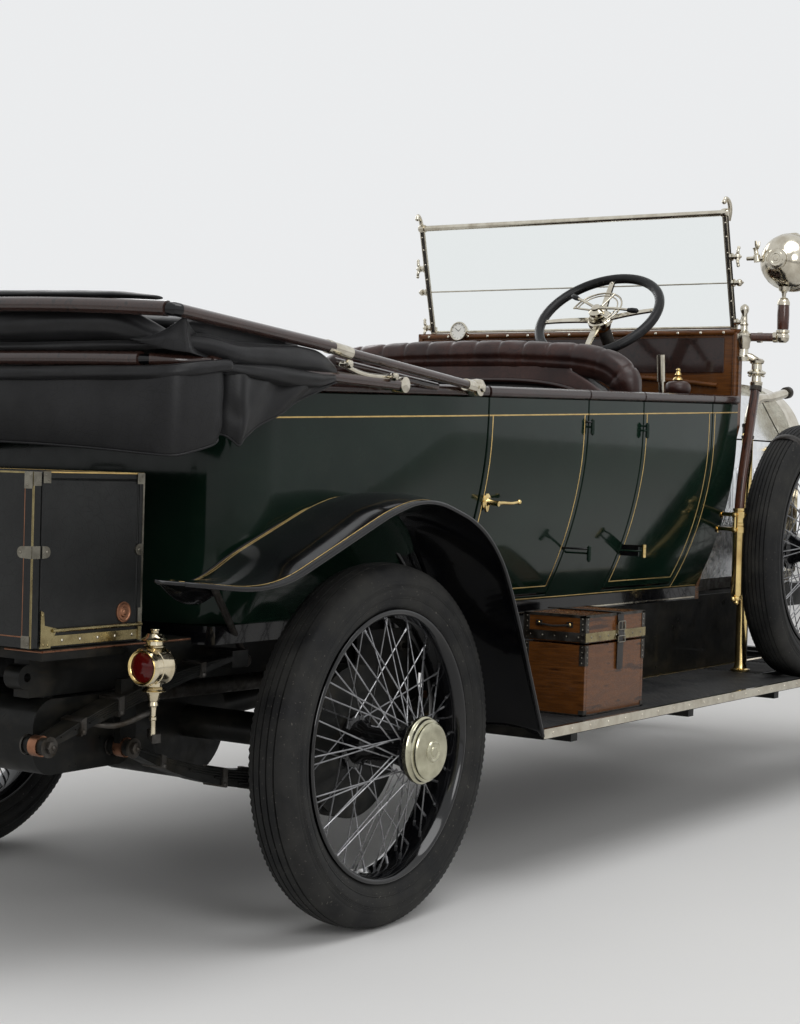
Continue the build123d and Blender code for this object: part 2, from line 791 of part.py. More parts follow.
    with BuildPart() as engine:
        add(box_between((along(2400), -150, 700), (along(3380), 150, 1180)))
        add(box_between((along(2430), -130, 540), (along(3360), 130, 700)))
        add(rod((along(2236), 0, 600), (along(2401), 0, 600), 300))
        add(box_between((along(1560), -150, 480), (along(2060), 150, 640)))
        add(rod((along(2050), 0, 590), (along(2240), 0, 590), 90))
        rail_in = RAIL_FRONT_Y - RAIL_WIDTH - SEAT_FIT
        for x in (2620, 3180):
            add(box_between((along(x), -rail_in, 620), (along(x) + 70, rail_in, 660)))
        add(box_between(
            (along(1480), -60, 614),
            (along(1600), 60, RAIL_TOP - CROSS_HEIGHT - SEAT_FIT),
        ), mode=Mode.ADD)
    save(engine.part, "engine")

    with BuildPart() as exhaust:
        add(rod((along(2560), -186, 640), (along(2560), -186, 556), 50))
        add(rod((along(2580), -186, 556), (along(1820), -230, 540), 50))
        add(rod((along(1822), -230, 540), (along(1230), -230, 540), 160))
        add(rod((along(1232), -230, 540), (along(-440), -230, 560), 46))
        for x in (1500, 700):
            add(box_between(
                (along(x) - 12, -242, 550), (along(x) + 12, -218, RAIL_TOP - CROSS_HEIGHT - SEAT_FIT),
            ))
    save(exhaust.part, "exhaust")

    with BuildPart() as tank:
        add(box_between(
            (along(TANK_REAR), -TANK_HALF, TANK_BOTTOM),
            (along(TANK_REAR + TANK_LENGTH), TANK_HALF, TANK_BOTTOM + TANK_HEIGHT),
        ))
        with BuildPart(mode=Mode.PRIVATE) as form:
            with BuildSketch(Plane(origin=(0, TANK_HALF, 0), x_dir=(1, 0, 0), z_dir=(0, -1, 0))):
                middle = (along(TANK_REAR + TANK_LENGTH / 2), TANK_BOTTOM + TANK_HEIGHT / 2)
                with Locations(middle):
                    RectangleRounded(TANK_LENGTH, TANK_HEIGHT, 60)
            extrude(amount=2 * TANK_HALF)
        add(form.part, mode=Mode.INTERSECT)
        for side in (-1, 1):
            low, high = sorted((side * (RAIL_Y - 40), side * (RAIL_Y - 5)))
            for x in (-850, -660):
                add(box_between(
                    (along(x), low, 590),
                    (along(x) + 30, high, RAIL_TOP - RAIL_HEIGHT - SEAT_FIT),
                ))
    save(tank.part, "fuel_tank")


# Wheels
def tyre():
    """A tyre round the Y axis, centred on the origin."""
    outer = TYRE_DIA / 2
    with BuildPart() as ring:
        with BuildSketch(Plane.XY):
            with BuildLine():
                bead = BEAD_DIA / 2 + 26
                shoulder = outer - 46
                Polyline((bead, 42), (bead + 20, 50))
                RadiusArc((bead + 20, 50), (shoulder, TREAD_WIDTH / 2), 74)
                ThreePointArc(
                    (shoulder, TREAD_WIDTH / 2), (outer, 0), (shoulder, -TREAD_WIDTH / 2)
                )
                RadiusArc((shoulder, -TREAD_WIDTH / 2), (bead + 20, -50), 74)
                Polyline((bead + 20, -50), (bead, -42), (bead, 42))
            make_face()
        revolve(axis=Axis.Y)
    return ring.part


def wire_wheel(with_cap, with_drum):
    """Rim, spokes and hub round the Y axis, with the hub's outer end towards minus Y."""
    rim_r = RIM_DIA / 2
    base_r = BEAD_DIA / 2 + 25.5
    with BuildPart() as wheel:
        with BuildSketch(Plane.XY):
            with BuildLine():
                edge = RIM_WIDTH / 2
                lip = edge - RIM_LIP
                Polyline(
                    (rim_r, -edge), (rim_r, -lip), (base_r, -42), (base_r, 42), (rim_r, lip),
                    (rim_r, edge), (base_r - 12, edge), (base_r - 22, 30), (base_r - 22, -30),
                    (base_r - 12, -edge), (rim_r, -edge),
                )
            make_face()
        revolve(axis=Axis.Y)
        cap = (
            (HUB_CAP_DIA, -HUB_REACH + 45, -HUB_REACH + 16),
            (HUB_FACE_DIA, -HUB_REACH + 18, -HUB_REACH + 6),
            (52, -HUB_REACH + 8, -HUB_REACH),
        )
        for reach, start, end in (
            (HUB_BARREL_DIA, HUB_BACK, -131),
            (HUB_BARREL_DIA + 26, HUB_BACK - 6, HUB_BACK - 20),
            (HUB_BARREL_DIA + 26, -112, -126),
            *(cap if with_cap else ()),
        ):
            add(rod((0, start, 0), (0, end, 0), reach))
        for y_hub, y_rim, shift in ((HUB_BACK - 13, 22, 0), (-119, -22, 0.5)):
            for i in range(SPOKES):
                angle = radians(360 / SPOKES * (i + shift))
                lean = radians(26 if i % 2 else -26)
                hub_r = HUB_BARREL_DIA / 2 + 4
                rim_reach = base_r - 18
                start = (hub_r * cos(angle + lean), y_hub, hub_r * sin(angle + lean))
                end = (rim_reach * cos(angle), y_rim, rim_reach * sin(angle))
                add(rod(start, end, SPOKE_DIA))
        if with_drum:
            face = HUB_BACK - 8
            add(rod((0, face, 0), (0, face + DRUM_WIDTH, 0), DRUM_DIA))
            inside = rod((0, HUB_BACK, 0), (0, face + DRUM_WIDTH + 1, 0), DRUM_DIA - 16)
            add(inside, mode=Mode.SUBTRACT)
            add(rod((0, HUB_BACK - 9, 0), (0, HUB_BACK, 0), HUB_BARREL_DIA - 4))
        bore = STUB_DIA + 2 * STUB_CLEAR
        add(rod((0, HUB_BACK + 1, 0), (0, HUB_BACK - STUB_DEPTH, 0), bore), mode=Mode.SUBTRACT)
    return wheel.part


WHEELS = (
    # name, distance from the rear axle, side, brake drum
    ("rear_right", 0, -1, True),
    ("rear_left", 0, 1, True),
    ("front_right", WHEELBASE, -1, False),
    ("front_left", WHEELBASE, 1, False),
)


def build_wheels():
    """Four road wheels, the spare and the two steered knuckles."""
    rubber = tyre()
    plain = wire_wheel(True, False)
    braked = wire_wheel(True, True)
    for name, x, side, drum in WHEELS:
        turn = 0 if side < 0 else 180
        place = Location((along(x), side * TRACK / 2, AXLE_Z), (0, 0, turn))
        save((braked if drum else plain).moved(place), f"wire_wheel_{name}")
        save(rubber.moved(place), f"tyre_{name}")
    spare_z = BOARD_TOP - SPARE_SINK + SEAT_FIT + TYRE_DIA / 2
    place = Location((along(SPARE_X), -SPARE_Y, spare_z))
    save(wire_wheel(False, False).moved(place), "spare_wheel")
    save(rubber.moved(place), "spare_tyre")

    x = along(WHEELBASE)
    for name, side in (("right", -1), ("left", 1)):
        y = side * KINGPIN_Y
        with BuildPart() as knuckle:
            add(rod((x, y, AXLE_Z - 31), (x, y, AXLE_Z + 31), 62))
            inner = side * (TRACK / 2 - HUB_BACK - 3 - SEAT_FIT)
            add(rod((x, y, AXLE_Z), (x, inner, AXLE_Z), 60))
            tip = side * (TRACK / 2 - HUB_BACK + STUB_DEPTH - 5)
            add(rod((x, y, AXLE_Z), (x, tip, AXLE_Z), STUB_DIA))
            add(rod((x, y, AXLE_Z), (x - ARM_REACH, y, AXLE_Z - 6), ARM_DIA))
            bore = KINGPIN_DIA + 2 * STUB_CLEAR
            add(rod((x, y, AXLE_Z - 40), (x, y, AXLE_Z + 40), bore), mode=Mode.SUBTRACT)
        save(knuckle.part, f"knuckle_{name}")


# Bonnet, radiator, dash and screen


def bonnet_form(thick):
    """Solid right half of the bonnet, its skin drawn in by thick."""
    start = along(DASH_X + DASH_THICK) - 2
    end = along(RADIATOR_X) - 1
    with BuildPart() as form:
        with BuildSketch(Plane(origin=(start, 0, 0), x_dir=(0, 1, 0), z_dir=(1, 0, 0))):
            add(bonnet_outline(BONNET_REAR_HALF, 206, thick))
        with BuildSketch(Plane(origin=(end, 0, 0), x_dir=(0, 1, 0), z_dir=(1, 0, 0))):
            add(bonnet_outline(BONNET_FRONT_HALF, 166, thick))
        loft(ruled=True)
    return form.part


def bonnet_outline(half, shoulder, thick):
    """Half section of the bonnet in Y and Z, right side."""
    with BuildSketch() as outline:
        with BuildLine():
            Polyline(
                (0, BONNET_TOP - thick),
                (-shoulder + thick * 0.5, BONNET_SHOULDER_Z - thick),
                (-half + 24 + thick, BONNET_BREAK_Z),
                (-half + thick, BONNET_BOTTOM - thick),
                (0, BONNET_BOTTOM - thick),
                close=True,
            )
        make_face()
    return outline.sketch_local


def build_front():
    """Bonnet, radiator, dash board and windscreen."""
    outer = bonnet_form(0)
    inner = bonnet_form(BONNET_SKIN)
    start = along(BONNET_START)
    end = along(RADIATOR_X)
    with BuildPart() as skin:
        add(outer)
        add(inner, mode=Mode.SUBTRACT)
    with BuildPart() as lid:
        add(skin.part)
        add(box_between(
            (start + MOVE_GAP, -500, BONNET_BREAK_Z + MOVE_GAP),
            (end - MOVE_GAP, -14, 1700),
        ), mode=Mode.INTERSECT)
    hinge_z = BONNET_TOP - 3
    for name, side, places in (
        ("bonnet_right", -1, (2420, 2880, 3340)),
        ("bonnet_left", 1, (2486, 2946, 3406)),
    ):
        half = lid.part if side < 0 else mirror(lid.part, about=Plane.XZ)
        with BuildPart() as hinged:
            add(half)
            for x in places:
                add(rod((along(x), 0, hinge_z), (along(x) + 60, 0, hinge_z), 24))
                low, high = sorted((side * 8, side * 22))
                add(box_between((along(x), low, hinge_z - 7), (along(x) + 60, high, hinge_z - 2)))
                bore = 13 + 2 * STUB_CLEAR
                add(
                    rod((along(x) - 9, 0, hinge_z), (along(x) + 69, 0, hinge_z), bore),
                    mode=Mode.SUBTRACT,
                )
        save(hinged.part, name)
    with BuildPart() as side:
        add(skin.part)
        add(box_between(
            (along(DASH_X + DASH_THICK) + SEAT_FIT, -500, RAIL_TOP),
            (end - 1.3, -100, BONNET_BREAK_Z),
        ), mode=Mode.INTERSECT)
    with BuildPart() as sides:
        add(both_sides(side.part))
    save(sides.part, "bonnet_sides")

    with BuildPart() as dash:
        with BuildSketch(Plane(origin=(along(DASH_X), 0, 0), x_dir=(0, 1, 0), z_dir=(1, 0, 0))):
            with BuildLine():
                Polyline(
                    (0, DASH_TOP), (-DASH_HALF - 15, DASH_TOP), (-DASH_HALF - 15, 1300),
                    (-BODY_BOTTOM_HALF, BODY_BOTTOM_Z), (-BODY_BOTTOM_HALF, RAIL_TOP + SEAT_FIT),
                    (0, RAIL_TOP + SEAT_FIT), (0, DASH_TOP),
                )
            make_face()
            mirror(about=Plane.YZ)
        extrude(amount=DASH_THICK)
        cowl = box_between(
            (along(DASH_X + DASH_THICK) - 1, -500, BONNET_BREAK_Z + SEAT_FIT),
            (start - MOVE_GAP / 2, 500, 1700),
        )
        add(both_sides(skin.part & cowl))
        column = column_line(0)
        add(rod(column[0], column[1], COLUMN_DIA + 12), mode=Mode.SUBTRACT)
    save(dash.part, "dash")

    with BuildPart() as hinge:
        add(rod(
            (start - MOVE_GAP / 2 + SEAT_FIT, 0, BONNET_TOP - 3),
            (end - SEAT_FIT, 0, BONNET_TOP - 3),
            13,
        ))
    save(hinge.part, "bonnet_hinge")

    with BuildPart() as shell:
        with BuildSketch(Plane(origin=(end, 0, 0), x_dir=(0, 1, 0), z_dir=(1, 0, 0))):
            add(radiator_outline(0))
        extrude(amount=RADIATOR_DEPTH)
        with BuildSketch(Plane(origin=(end - 1, 0, 0), x_dir=(0, 1, 0), z_dir=(1, 0, 0))):
            with Locations((0, 1030)):
                RectangleRounded(2 * RADIATOR_HALF - 84, 560, 40)
        extrude(amount=RADIATOR_DEPTH + 2, mode=Mode.SUBTRACT)
        middle = (end + RADIATOR_DEPTH / 2, 0)
        add(rod((*middle, RADIATOR_TOP - 10), (*middle, RADIATOR_TOP + 42), 64))
        add(rod((*middle, RADIATOR_TOP + 40), (*middle, RADIATOR_TOP + 62), 92))
    save(shell.part, "radiator_shell")
    with BuildPart() as core:
        with BuildSketch(Plane(origin=(end + 8, 0, 0), x_dir=(0, 1, 0), z_dir=(1, 0, 0))):
            with Locations((0, 1030)):
                fit = 2 * SEAT_FIT
                RectangleRounded(2 * RADIATOR_HALF - 84 - fit, 560 - fit, 40)
        extrude(amount=RADIATOR_DEPTH - 16)
    save(core.part, "radiator_core")

    lean = Vector(-SCREEN_RAKE, 0, SCREEN_TOP - 1635).normalized()
    foot = Vector(along(2243), 0, 1635)
    plane = Plane(origin=foot, x_dir=(0, 1, 0), z_dir=Vector(0, 1, 0).cross(lean))
    height = (SCREEN_TOP - 1635) / lean.Z
    break_at = (SCREEN_MID - 1635) / lean.Z
    panes = (
        (SCREEN_BAR / 2, break_at - SCREEN_BAR / 2),
        (break_at + SCREEN_BAR / 2, height - SCREEN_BAR),
    )
    with BuildPart() as screen:
        with BuildSketch(plane.offset(-SCREEN_BAR / 2)):
            with Locations((0, height / 2 - SCREEN_BAR / 4)):
                Rectangle(2 * SCREEN_HALF, height + SCREEN_BAR / 2)
            for low, high in panes:
                with Locations((0, (low + high) / 2)):
                    Rectangle(2 * (SCREEN_HALF - SCREEN_BAR), high - low, mode=Mode.SUBTRACT)
        extrude(amount=SCREEN_BAR)
        for side in (-1, 1):
            top = foot + lean * (height + 22) + Vector(0, side * (SCREEN_HALF - 8), 0)
            add(rod(tuple(foot + lean * 100 + Vector(0, side * (SCREEN_HALF - 8), 0)), tuple(top), 26))
            x_low = along(DASH_X) + 1
            y_low, y_high = sorted((side * (SCREEN_HALF - 20), side * (SCREEN_HALF + 10)))
            add(box_between((x_low, y_low, DASH_TOP + SEAT_FIT), (along(2262), y_high, 1660)))
    save(screen.part, "windscreen_frame")
    with BuildPart() as glass:
        with BuildSketch(plane.offset(-3)):
            for low, high in panes:
                with Locations((0, (low + high) / 2)):
                    Rectangle(
                        2 * (SCREEN_HALF - SCREEN_BAR - SEAT_FIT),
                        high - low - 2 * SEAT_FIT,
                    )
        extrude(amount=6)
    save(glass.part, "windscreen_glass")


def radiator_outline(inset):
    """The radiator's outline from the front, in Y and Z."""
    half = RADIATOR_HALF - inset
    with BuildSketch() as outline:
        with BuildLine():
            Polyline((0, RADIATOR_BOTTOM), (-half + 30, RADIATOR_BOTTOM), (-half, 745), (-half, 1330))
            ThreePointArc((-half, 1330), (-half * 0.74, 1448), (0, RADIATOR_TOP - inset))
            Line((0, RADIATOR_TOP - inset), (0, RADIATOR_BOTTOM))
        make_face()
        mirror(about=Plane.YZ)
    return outline.sketch_local


# Steering, levers, lamps and small fittings
def column_line(lift):
    """Top and foot of the steering column's centre line."""
    x, y, z = WHEEL_CENTRE
    down = Vector(cos(radians(COLUMN_TILT)), 0, -sin(radians(COLUMN_TILT)))
    top = Vector(along(x), y, z) + down * (30 + lift)
    foot = Vector(along(x), y, z) + down * ((z - 752) / sin(radians(COLUMN_TILT)))
    return tuple(top), tuple(foot)


def build_controls():
    """Steering wheel and column, levers, pedals, lamps and horn."""
    top, foot = column_line(0)
    x, y, z = WHEEL_CENTRE
    down = Vector(cos(radians(COLUMN_TILT)), 0, -sin(radians(COLUMN_TILT)))
    centre = Vector(along(x), y, z)
    with BuildPart() as steering:
        with BuildPart(Plane(origin=centre, z_dir=-down), mode=Mode.PRIVATE) as ring:
            Torus((WHEEL_DIA - WHEEL_GRIP) / 2, WHEEL_GRIP / 2)
        add(ring.part)
        hub = centre + down * 22
        add(rod(tuple(centre - down * 6), tuple(hub), 64))
        side_one = Vector(0, 1, 0)
        side_two = side_one.cross(down)
        for i in range(4):
            angle = radians(45 + 90 * i)
            out = side_one * cos(angle) + side_two * sin(angle)
            reach = (WHEEL_DIA - WHEEL_GRIP) / 2
            add(rod(tuple(centre + down * 6), tuple(centre + out * reach), 12))
        shaft_end = tuple(centre + down * 4)
        bore = SHAFT_DIA + 2 * STUB_CLEAR
        add(rod(tuple(centre + down * 3), tuple(centre + down * 30), bore), mode=Mode.SUBTRACT)
    save(steering.part, "steering_wheel")
    with BuildPart() as column:
        add(rod(top, foot, COLUMN_DIA))
        add(rod(shaft_end, tuple(centre + down * 34), SHAFT_DIA))
        fx, fy, fz = foot
        add(box_between((fx - 80, fy - 32, RAIL_TOP + SEAT_FIT), (fx + 60, fy + 32, 790)))
        add(box_between((fx - 60, -RAIL_FRONT_Y + 15, RAIL_TOP + SEAT_FIT), (fx + 40, fy, 716)))
    save(column.part, "steering_column")

    with BuildPart() as levers:
        add(box_between((along(2040), -470, BODY_BOTTOM_Z), (along(2150), -445, 800)))
        add(rod((along(2075), -458, 790), (along(2010), -458, 1470), 20))
        add(rod((along(2125), -458, 790), (along(2110), -458, 1390), 20))
        add(rod((along(2013), -458, 1440), (along(2004), -458, 1530), 30))
        add(rod((along(2111), -458, 1360), (along(2107), -458, 1440), 30))
        for lever_y in (-400, -300 + 130, -60):
            add(rod((along(2128), lever_y, BODY_BOTTOM_Z + 9), (along(2070), lever_y, 900), 16))
            add(box_between(
                (along(2110), lever_y - 20, BODY_BOTTOM_Z),
                (along(2150), lever_y + 20, BODY_BOTTOM_Z + 16),
            ))
            add(box_between((along(2040), lever_y - 35, 890), (along(2085), lever_y + 35, 904)))
    save(levers.part, "levers_and_pedals")

    with BuildPart() as lamps:
        for side in (-1, 1):
            yy = side * 372
            add(rod((along(3700), yy, 985), (along(3900), yy, 985), 220))
            add(rod((along(3890), yy, 985), (along(3925), yy, 985), 262))
            add(rod((along(3640), yy, 985), (along(3701), yy, 985), 120))
            add(rod((along(3780), yy, 700), (along(3780), yy, 900), 26))
            low, high = sorted((side * (RAIL_FRONT_Y - 30), side * (yy * side + 14)))
            add(box_between((along(3755), low, RAIL_TOP + SEAT_FIT), (along(3805), high, 724)))
    save(lamps.part, "headlamps")

    with BuildPart() as search:
        add(rod((along(2170), -788, 1860), (along(2330), -788, 1860), 188))
        add(rod((along(2318), -788, 1860), (along(2345), -788, 1860), 196))
        add(rod((along(2252), -788, 1744), (along(2252), -788, 1770), 24))
        add(rod((along(2252), -788, 1590), (along(2252), -788, 1746), 30))
        add(rod((along(2252), -788, 1602), (along(2213), -664, 1602), 22))
        add(box_between(
            (along(DASH_X) + 2, -DASH_HALF - 29, 1582),
            (along(DASH_X) + 24, -DASH_HALF - 15 - SEAT_FIT, 1622),
        ))
    save(search.part, "search_lamp")

    with BuildPart() as pillar:
        add(rod((along(2131), -704, 711), (along(2131), -704, 1020), 40))
        add(bent_rod((
            (along(2131), -704, 1010),
            (along(2140), -704, 1090),
            (along(2192), -704, 1285),
            (along(2237), -704, 1440),
        ), 32))
        for zz in (948, 998):
            add(box_between((along(2060), -704, zz - 8), (along(2131), -696, zz + 8)))
            seat = -side_half(zz + 8) - SEAT_FIT
            add(box_between((along(2060), -704, zz - 8), (along(2072), seat, zz + 8)))
    save(pillar.part, "brass_pillar")

    with BuildPart() as horn:
        add(bent_rod((
            (along(2440), -590, BOARD_TOP + SEAT_FIT),
            (along(2440), -590, 1330),
            (along(2560), -590, 1400),
            (along(2780), -590, 1440),
        ), 44))
    save(horn.part, "crook_tube")

    with BuildPart() as tail:
        add(rod((along(-624), -572, 675), (along(-710), -572, 675), 100))
        add(rod((along(-673), -572, 722), (along(-673), -572, 762), 26))
        add(rod((along(-673), -572, 520), (along(-673), -572, 640), 22))
        add(box_between((along(-662), -560, 655), (along(-636), -RAIL_Y - SEAT_FIT, 677)))
    save(tail.part, "tail_lamp")


# Seats, trunk, tool box and hood
def seat_back_outline(low_half, side_half_top, side_z, knee, top):
    """A seat back's outline in Y and Z: its side, its rounded corner and its top."""
    with BuildSketch() as outline:
        with BuildLine():
            Polyline((0, 1010), (-low_half, 1010), (-side_half_top, side_z))
            corner_y = (side_half_top + knee[0]) / 2 + (side_half_top - knee[0]) * 0.2
            corner_z = (side_z + knee[1]) / 2 + (knee[1] - side_z) * 0.2
            ThreePointArc((-side_half_top, side_z), (-corner_y, corner_z), (-knee[0], knee[1]))
            Polyline((-knee[0], knee[1]), (0, top), (0, 1010))
        make_face()
        mirror(about=Plane.YZ)
    return outline.sketch_local


def build_seats():
    """Front and rear seats, and the padded roll over the front seat's back."""
    back_top = SEAT_ROLL_Z - SEAT_ROLL_DIA / 2 - SEAT_FIT
    for name, start, depth, back_x, outline in (
        ("front_seat", 1560, 420, FRONT_SEAT_BACK, (572, 572, 1290, (412, 1444), back_top)),
        ("rear_seat", -250, 520, -345, (500, 500, 1240, (440, 1300), 1318)),
    ):
        with BuildPart() as seat:
            add(box_between(
                (along(back_x), -460, BODY_BOTTOM_Z), (along(start + depth - 30), 460, 1010),
            ))
            add(box_between(
                (along(back_x + 70), -538, 1010), (along(start + depth), 538, 1160),
            ))
            with BuildSketch(Plane(origin=(along(back_x), 0, 0), x_dir=(0, 1, 0), z_dir=(1, 0, 0))):
                add(seat_back_outline(*outline))
            extrude(amount=110)
        save(seat.part, name)
    x = along(FRONT_SEAT_BACK) + 44
    path = ((-603, 1388), (-585, 1432), (-536, 1468), (-430, 1492), (-220, 1504), (0, SEAT_ROLL_Z))
    points = [(x, y, z) for y, z in path]
    points += [(x, -y, z) for _, y, z in reversed(points[:-1])]
    with BuildPart() as roll:
        add(bent_rod(points, SEAT_ROLL_DIA))
    save(roll.part, "seat_roll")


def build_cargo():
    """Trunk on its rack, and the tool box on the running board."""
    front = along(-637)
    rear = front - TRUNK_DEPTH + TRUNK_DOOR + MOVE_GAP
    with BuildPart() as trunk:
        add(box_between((rear, -TRUNK_HALF, TRUNK_BOTTOM), (front, TRUNK_HALF, TRUNK_TOP)))
        add(box_between(
            (rear - 1, -TRUNK_HALF + TRUNK_WALL, TRUNK_BOTTOM + TRUNK_WALL),
            (front - TRUNK_WALL, TRUNK_HALF - TRUNK_WALL, TRUNK_TOP - TRUNK_WALL),
        ), mode=Mode.SUBTRACT)
    save(trunk.part, "trunk")
    with BuildPart() as lid:
        add(box_between(
            (rear - MOVE_GAP - TRUNK_DOOR, -TRUNK_HALF, TRUNK_BOTTOM + 4),
            (rear - MOVE_GAP, TRUNK_HALF, TRUNK_TOP),
        ))
        pin_x = rear - MOVE_GAP - TRUNK_DOOR - 2
        pin_z = TRUNK_BOTTOM - 2
        for y in (-360, 340):
            notch = (pin_x - 20, y - 6, 700)
            add(box_between(notch, (rear, y + 26, TRUNK_BOTTOM + 24)), mode=Mode.SUBTRACT)
            for ring in (y - 22, y + 26):
                add(rod((pin_x, ring, pin_z), (pin_x, ring + 16, pin_z), 18))
                bore = 10 + 2 * STUB_CLEAR
                hole = rod((pin_x, ring - 1, pin_z), (pin_x, ring + 17, pin_z), bore)
                add(hole, mode=Mode.SUBTRACT)
    save(lid.part, "trunk_door")
    with BuildPart() as rack:
        add(box_between(
            (rear, -TRUNK_HALF - 10, TRUNK_BOTTOM - SEAT_FIT - RACK_THICK),
            (along(-470), TRUNK_HALF + 10, TRUNK_BOTTOM - SEAT_FIT),
        ))
        for y in (-360, 340):
            add(rod((pin_x, y, pin_z), (pin_x, y + 20, pin_z), 16))
            add(box_between((pin_x, y, pin_z - 8), (rear + 2, y + 20, pin_z + 1)))
            add(rod((pin_x, y - 22, pin_z), (pin_x, y + 42, pin_z), 10))
    save(rack.part, "luggage_rack")

    z_lid = BOARD_TOP + BOX_HEIGHT - BOX_LID
    low = (along(BOX_REAR), -BOX_OUTER)
    high = (along(BOX_FRONT), -BOX_INNER)
    w = BOX_WALL
    with BuildPart() as box:
        add(box_between((*low, BOARD_TOP + SEAT_FIT), (*high, z_lid - MOVE_GAP / 2)))
        add(box_between(
            (low[0] + w, low[1] + w, BOARD_TOP + w),
            (high[0] - w, high[1] - w, z_lid),
        ), mode=Mode.SUBTRACT)
        for x in (980, 1182):
            pin_y = -BOX_INNER + HINGE_STAND
            for end in (-26, 14):
                start = (along(x) + end, pin_y, z_lid)
                add(rod(start, (start[0] + 12, pin_y, z_lid), 12))
                add(box_between(
                    (start[0], -BOX_INNER - 2, z_lid - 16), (start[0] + 12, pin_y, z_lid - 3),
                ))
            add(rod((along(x) - 20, pin_y, z_lid), (along(x) + 20, pin_y, z_lid), 7))
    save(box.part, "toolbox")
    with BuildPart() as cover:
        add(box_between((*low, z_lid + MOVE_GAP / 2), (*high, BOARD_TOP + BOX_HEIGHT)))
        add(box_between(
            (low[0] + w, low[1] + w, z_lid),
            (high[0] - w, high[1] - w, BOARD_TOP + BOX_HEIGHT - w),
        ), mode=Mode.SUBTRACT)
        for x in (980, 1182):
            add(rod((along(x) - 12, pin_y, z_lid), (along(x) + 12, pin_y, z_lid), 12))
            add(box_between(
                (along(x) - 12, -BOX_INNER - 2, z_lid + 3), (along(x) + 12, pin_y, z_lid + 14),
            ))
            bore = 7 + 2 * STUB_CLEAR
            add(
                rod((along(x) - 13, pin_y, z_lid), (along(x) + 13, pin_y, z_lid), bore),
                mode=Mode.SUBTRACT,
            )
    save(cover.part, "toolbox_lid")

    with BuildPart() as bows:
        for side in (-1, 1):
            yy = side * HOOD_Y
            for a, b in (
                ((-771, 1472), (-191, 1410)),
                ((-191, 1410), (470, 1345)),
                ((-740, 1355), (109, 1335)),
            ):
                add(rod((along(a[0]), yy, a[1]), (along(b[0]), yy, b[1]), BOW_DIA))
            for x, z, rail_half in ((470, 1345, BODY_HALF + RAIL_PROUD), (109, 1335, 635.4)):
                low_y, high_y = sorted((side * (rail_half + SEAT_FIT), yy))
                add(rod((along(x), low_y, z), (along(x), high_y, z), 46))
        for x, z in ((-771, 1472), (-740, 1355)):
            add(rod((along(x), -HOOD_Y - 10, z), (along(x), HOOD_Y + 10, z), BOW_DIA))
    save(bows.part, "hood_bows")
    with BuildPart() as cloth:
        with BuildSketch(Plane(origin=(0, HOOD_HALF, 0), x_dir=(1, 0, 0), z_dir=(0, -1, 0))):
            with BuildLine():
                Polyline(
                    (along(-748), 1160), (along(-560), 1150), (along(-436), 1215),
                    (along(-432), 1336), (along(-190), 1355), (along(-180), 1440),
                    (along(-748), 1448), (along(-748), 1160),
                )
            make_face()
        extrude(amount=2 * HOOD_HALF)
        add(bows.part, mode=Mode.SUBTRACT)
    save(cloth.part, "hood_cloth")


build_body()
build_fenders()
build_chassis()
build_wheels()
build_front()
build_controls()
build_seats()
build_cargo()
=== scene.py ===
"""Looks of an open touring car of the brass era, dressed round its construction model.

Metres, X forward, Y to the car's left and Z up, in the construction's own frame. Lengths
along the car are measured forward from the rear axle and turned into X by along().
"""

import logging
import math
from dataclasses import dataclass, field
from enum import Enum
from typing import Callable, Iterable, Optional, Sequence

import bmesh
import bpy
import numpy as np
from mathutils import Matrix, Vector, noise


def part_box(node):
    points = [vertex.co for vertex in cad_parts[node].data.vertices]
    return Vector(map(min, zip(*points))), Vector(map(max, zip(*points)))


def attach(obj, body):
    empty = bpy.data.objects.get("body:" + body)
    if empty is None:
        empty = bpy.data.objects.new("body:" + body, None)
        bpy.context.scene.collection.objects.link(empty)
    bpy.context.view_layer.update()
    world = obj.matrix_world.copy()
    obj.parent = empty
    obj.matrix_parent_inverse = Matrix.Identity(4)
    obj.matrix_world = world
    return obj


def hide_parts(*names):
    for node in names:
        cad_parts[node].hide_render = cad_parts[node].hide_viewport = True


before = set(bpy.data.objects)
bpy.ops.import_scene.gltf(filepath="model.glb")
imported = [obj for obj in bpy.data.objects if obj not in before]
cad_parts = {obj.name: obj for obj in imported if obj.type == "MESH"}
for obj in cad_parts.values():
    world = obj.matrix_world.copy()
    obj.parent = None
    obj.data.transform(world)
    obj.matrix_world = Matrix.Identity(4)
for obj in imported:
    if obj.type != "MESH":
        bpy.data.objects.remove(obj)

LOG = logging.getLogger("touring_car")
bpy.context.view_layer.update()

Point = tuple[float, float, float]
Colour = tuple[float, float, float]
Path = list[Vector]


def middle_of(node: str) -> Vector:
    """Centre of a construction node's box.

    Args:
        node: The node's name.

    Returns:
        The centre point in metres.
    """
    low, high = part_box(node)
    return (low + high) / 2


REAR_AXLE_X = middle_of("tyre_rear_right").x
RIGHT, LEFT = -1, 1
SIDES = ((RIGHT, "right"), (LEFT, "left"))


def along(distance: float) -> float:
    """X of a place measured forward from the rear axle."""
    return REAR_AXLE_X + distance


def mixed(low: float, high: float, share: float) -> float:
    """Value between two others at a share of the way."""
    return low + (high - low) * share


# Finishes


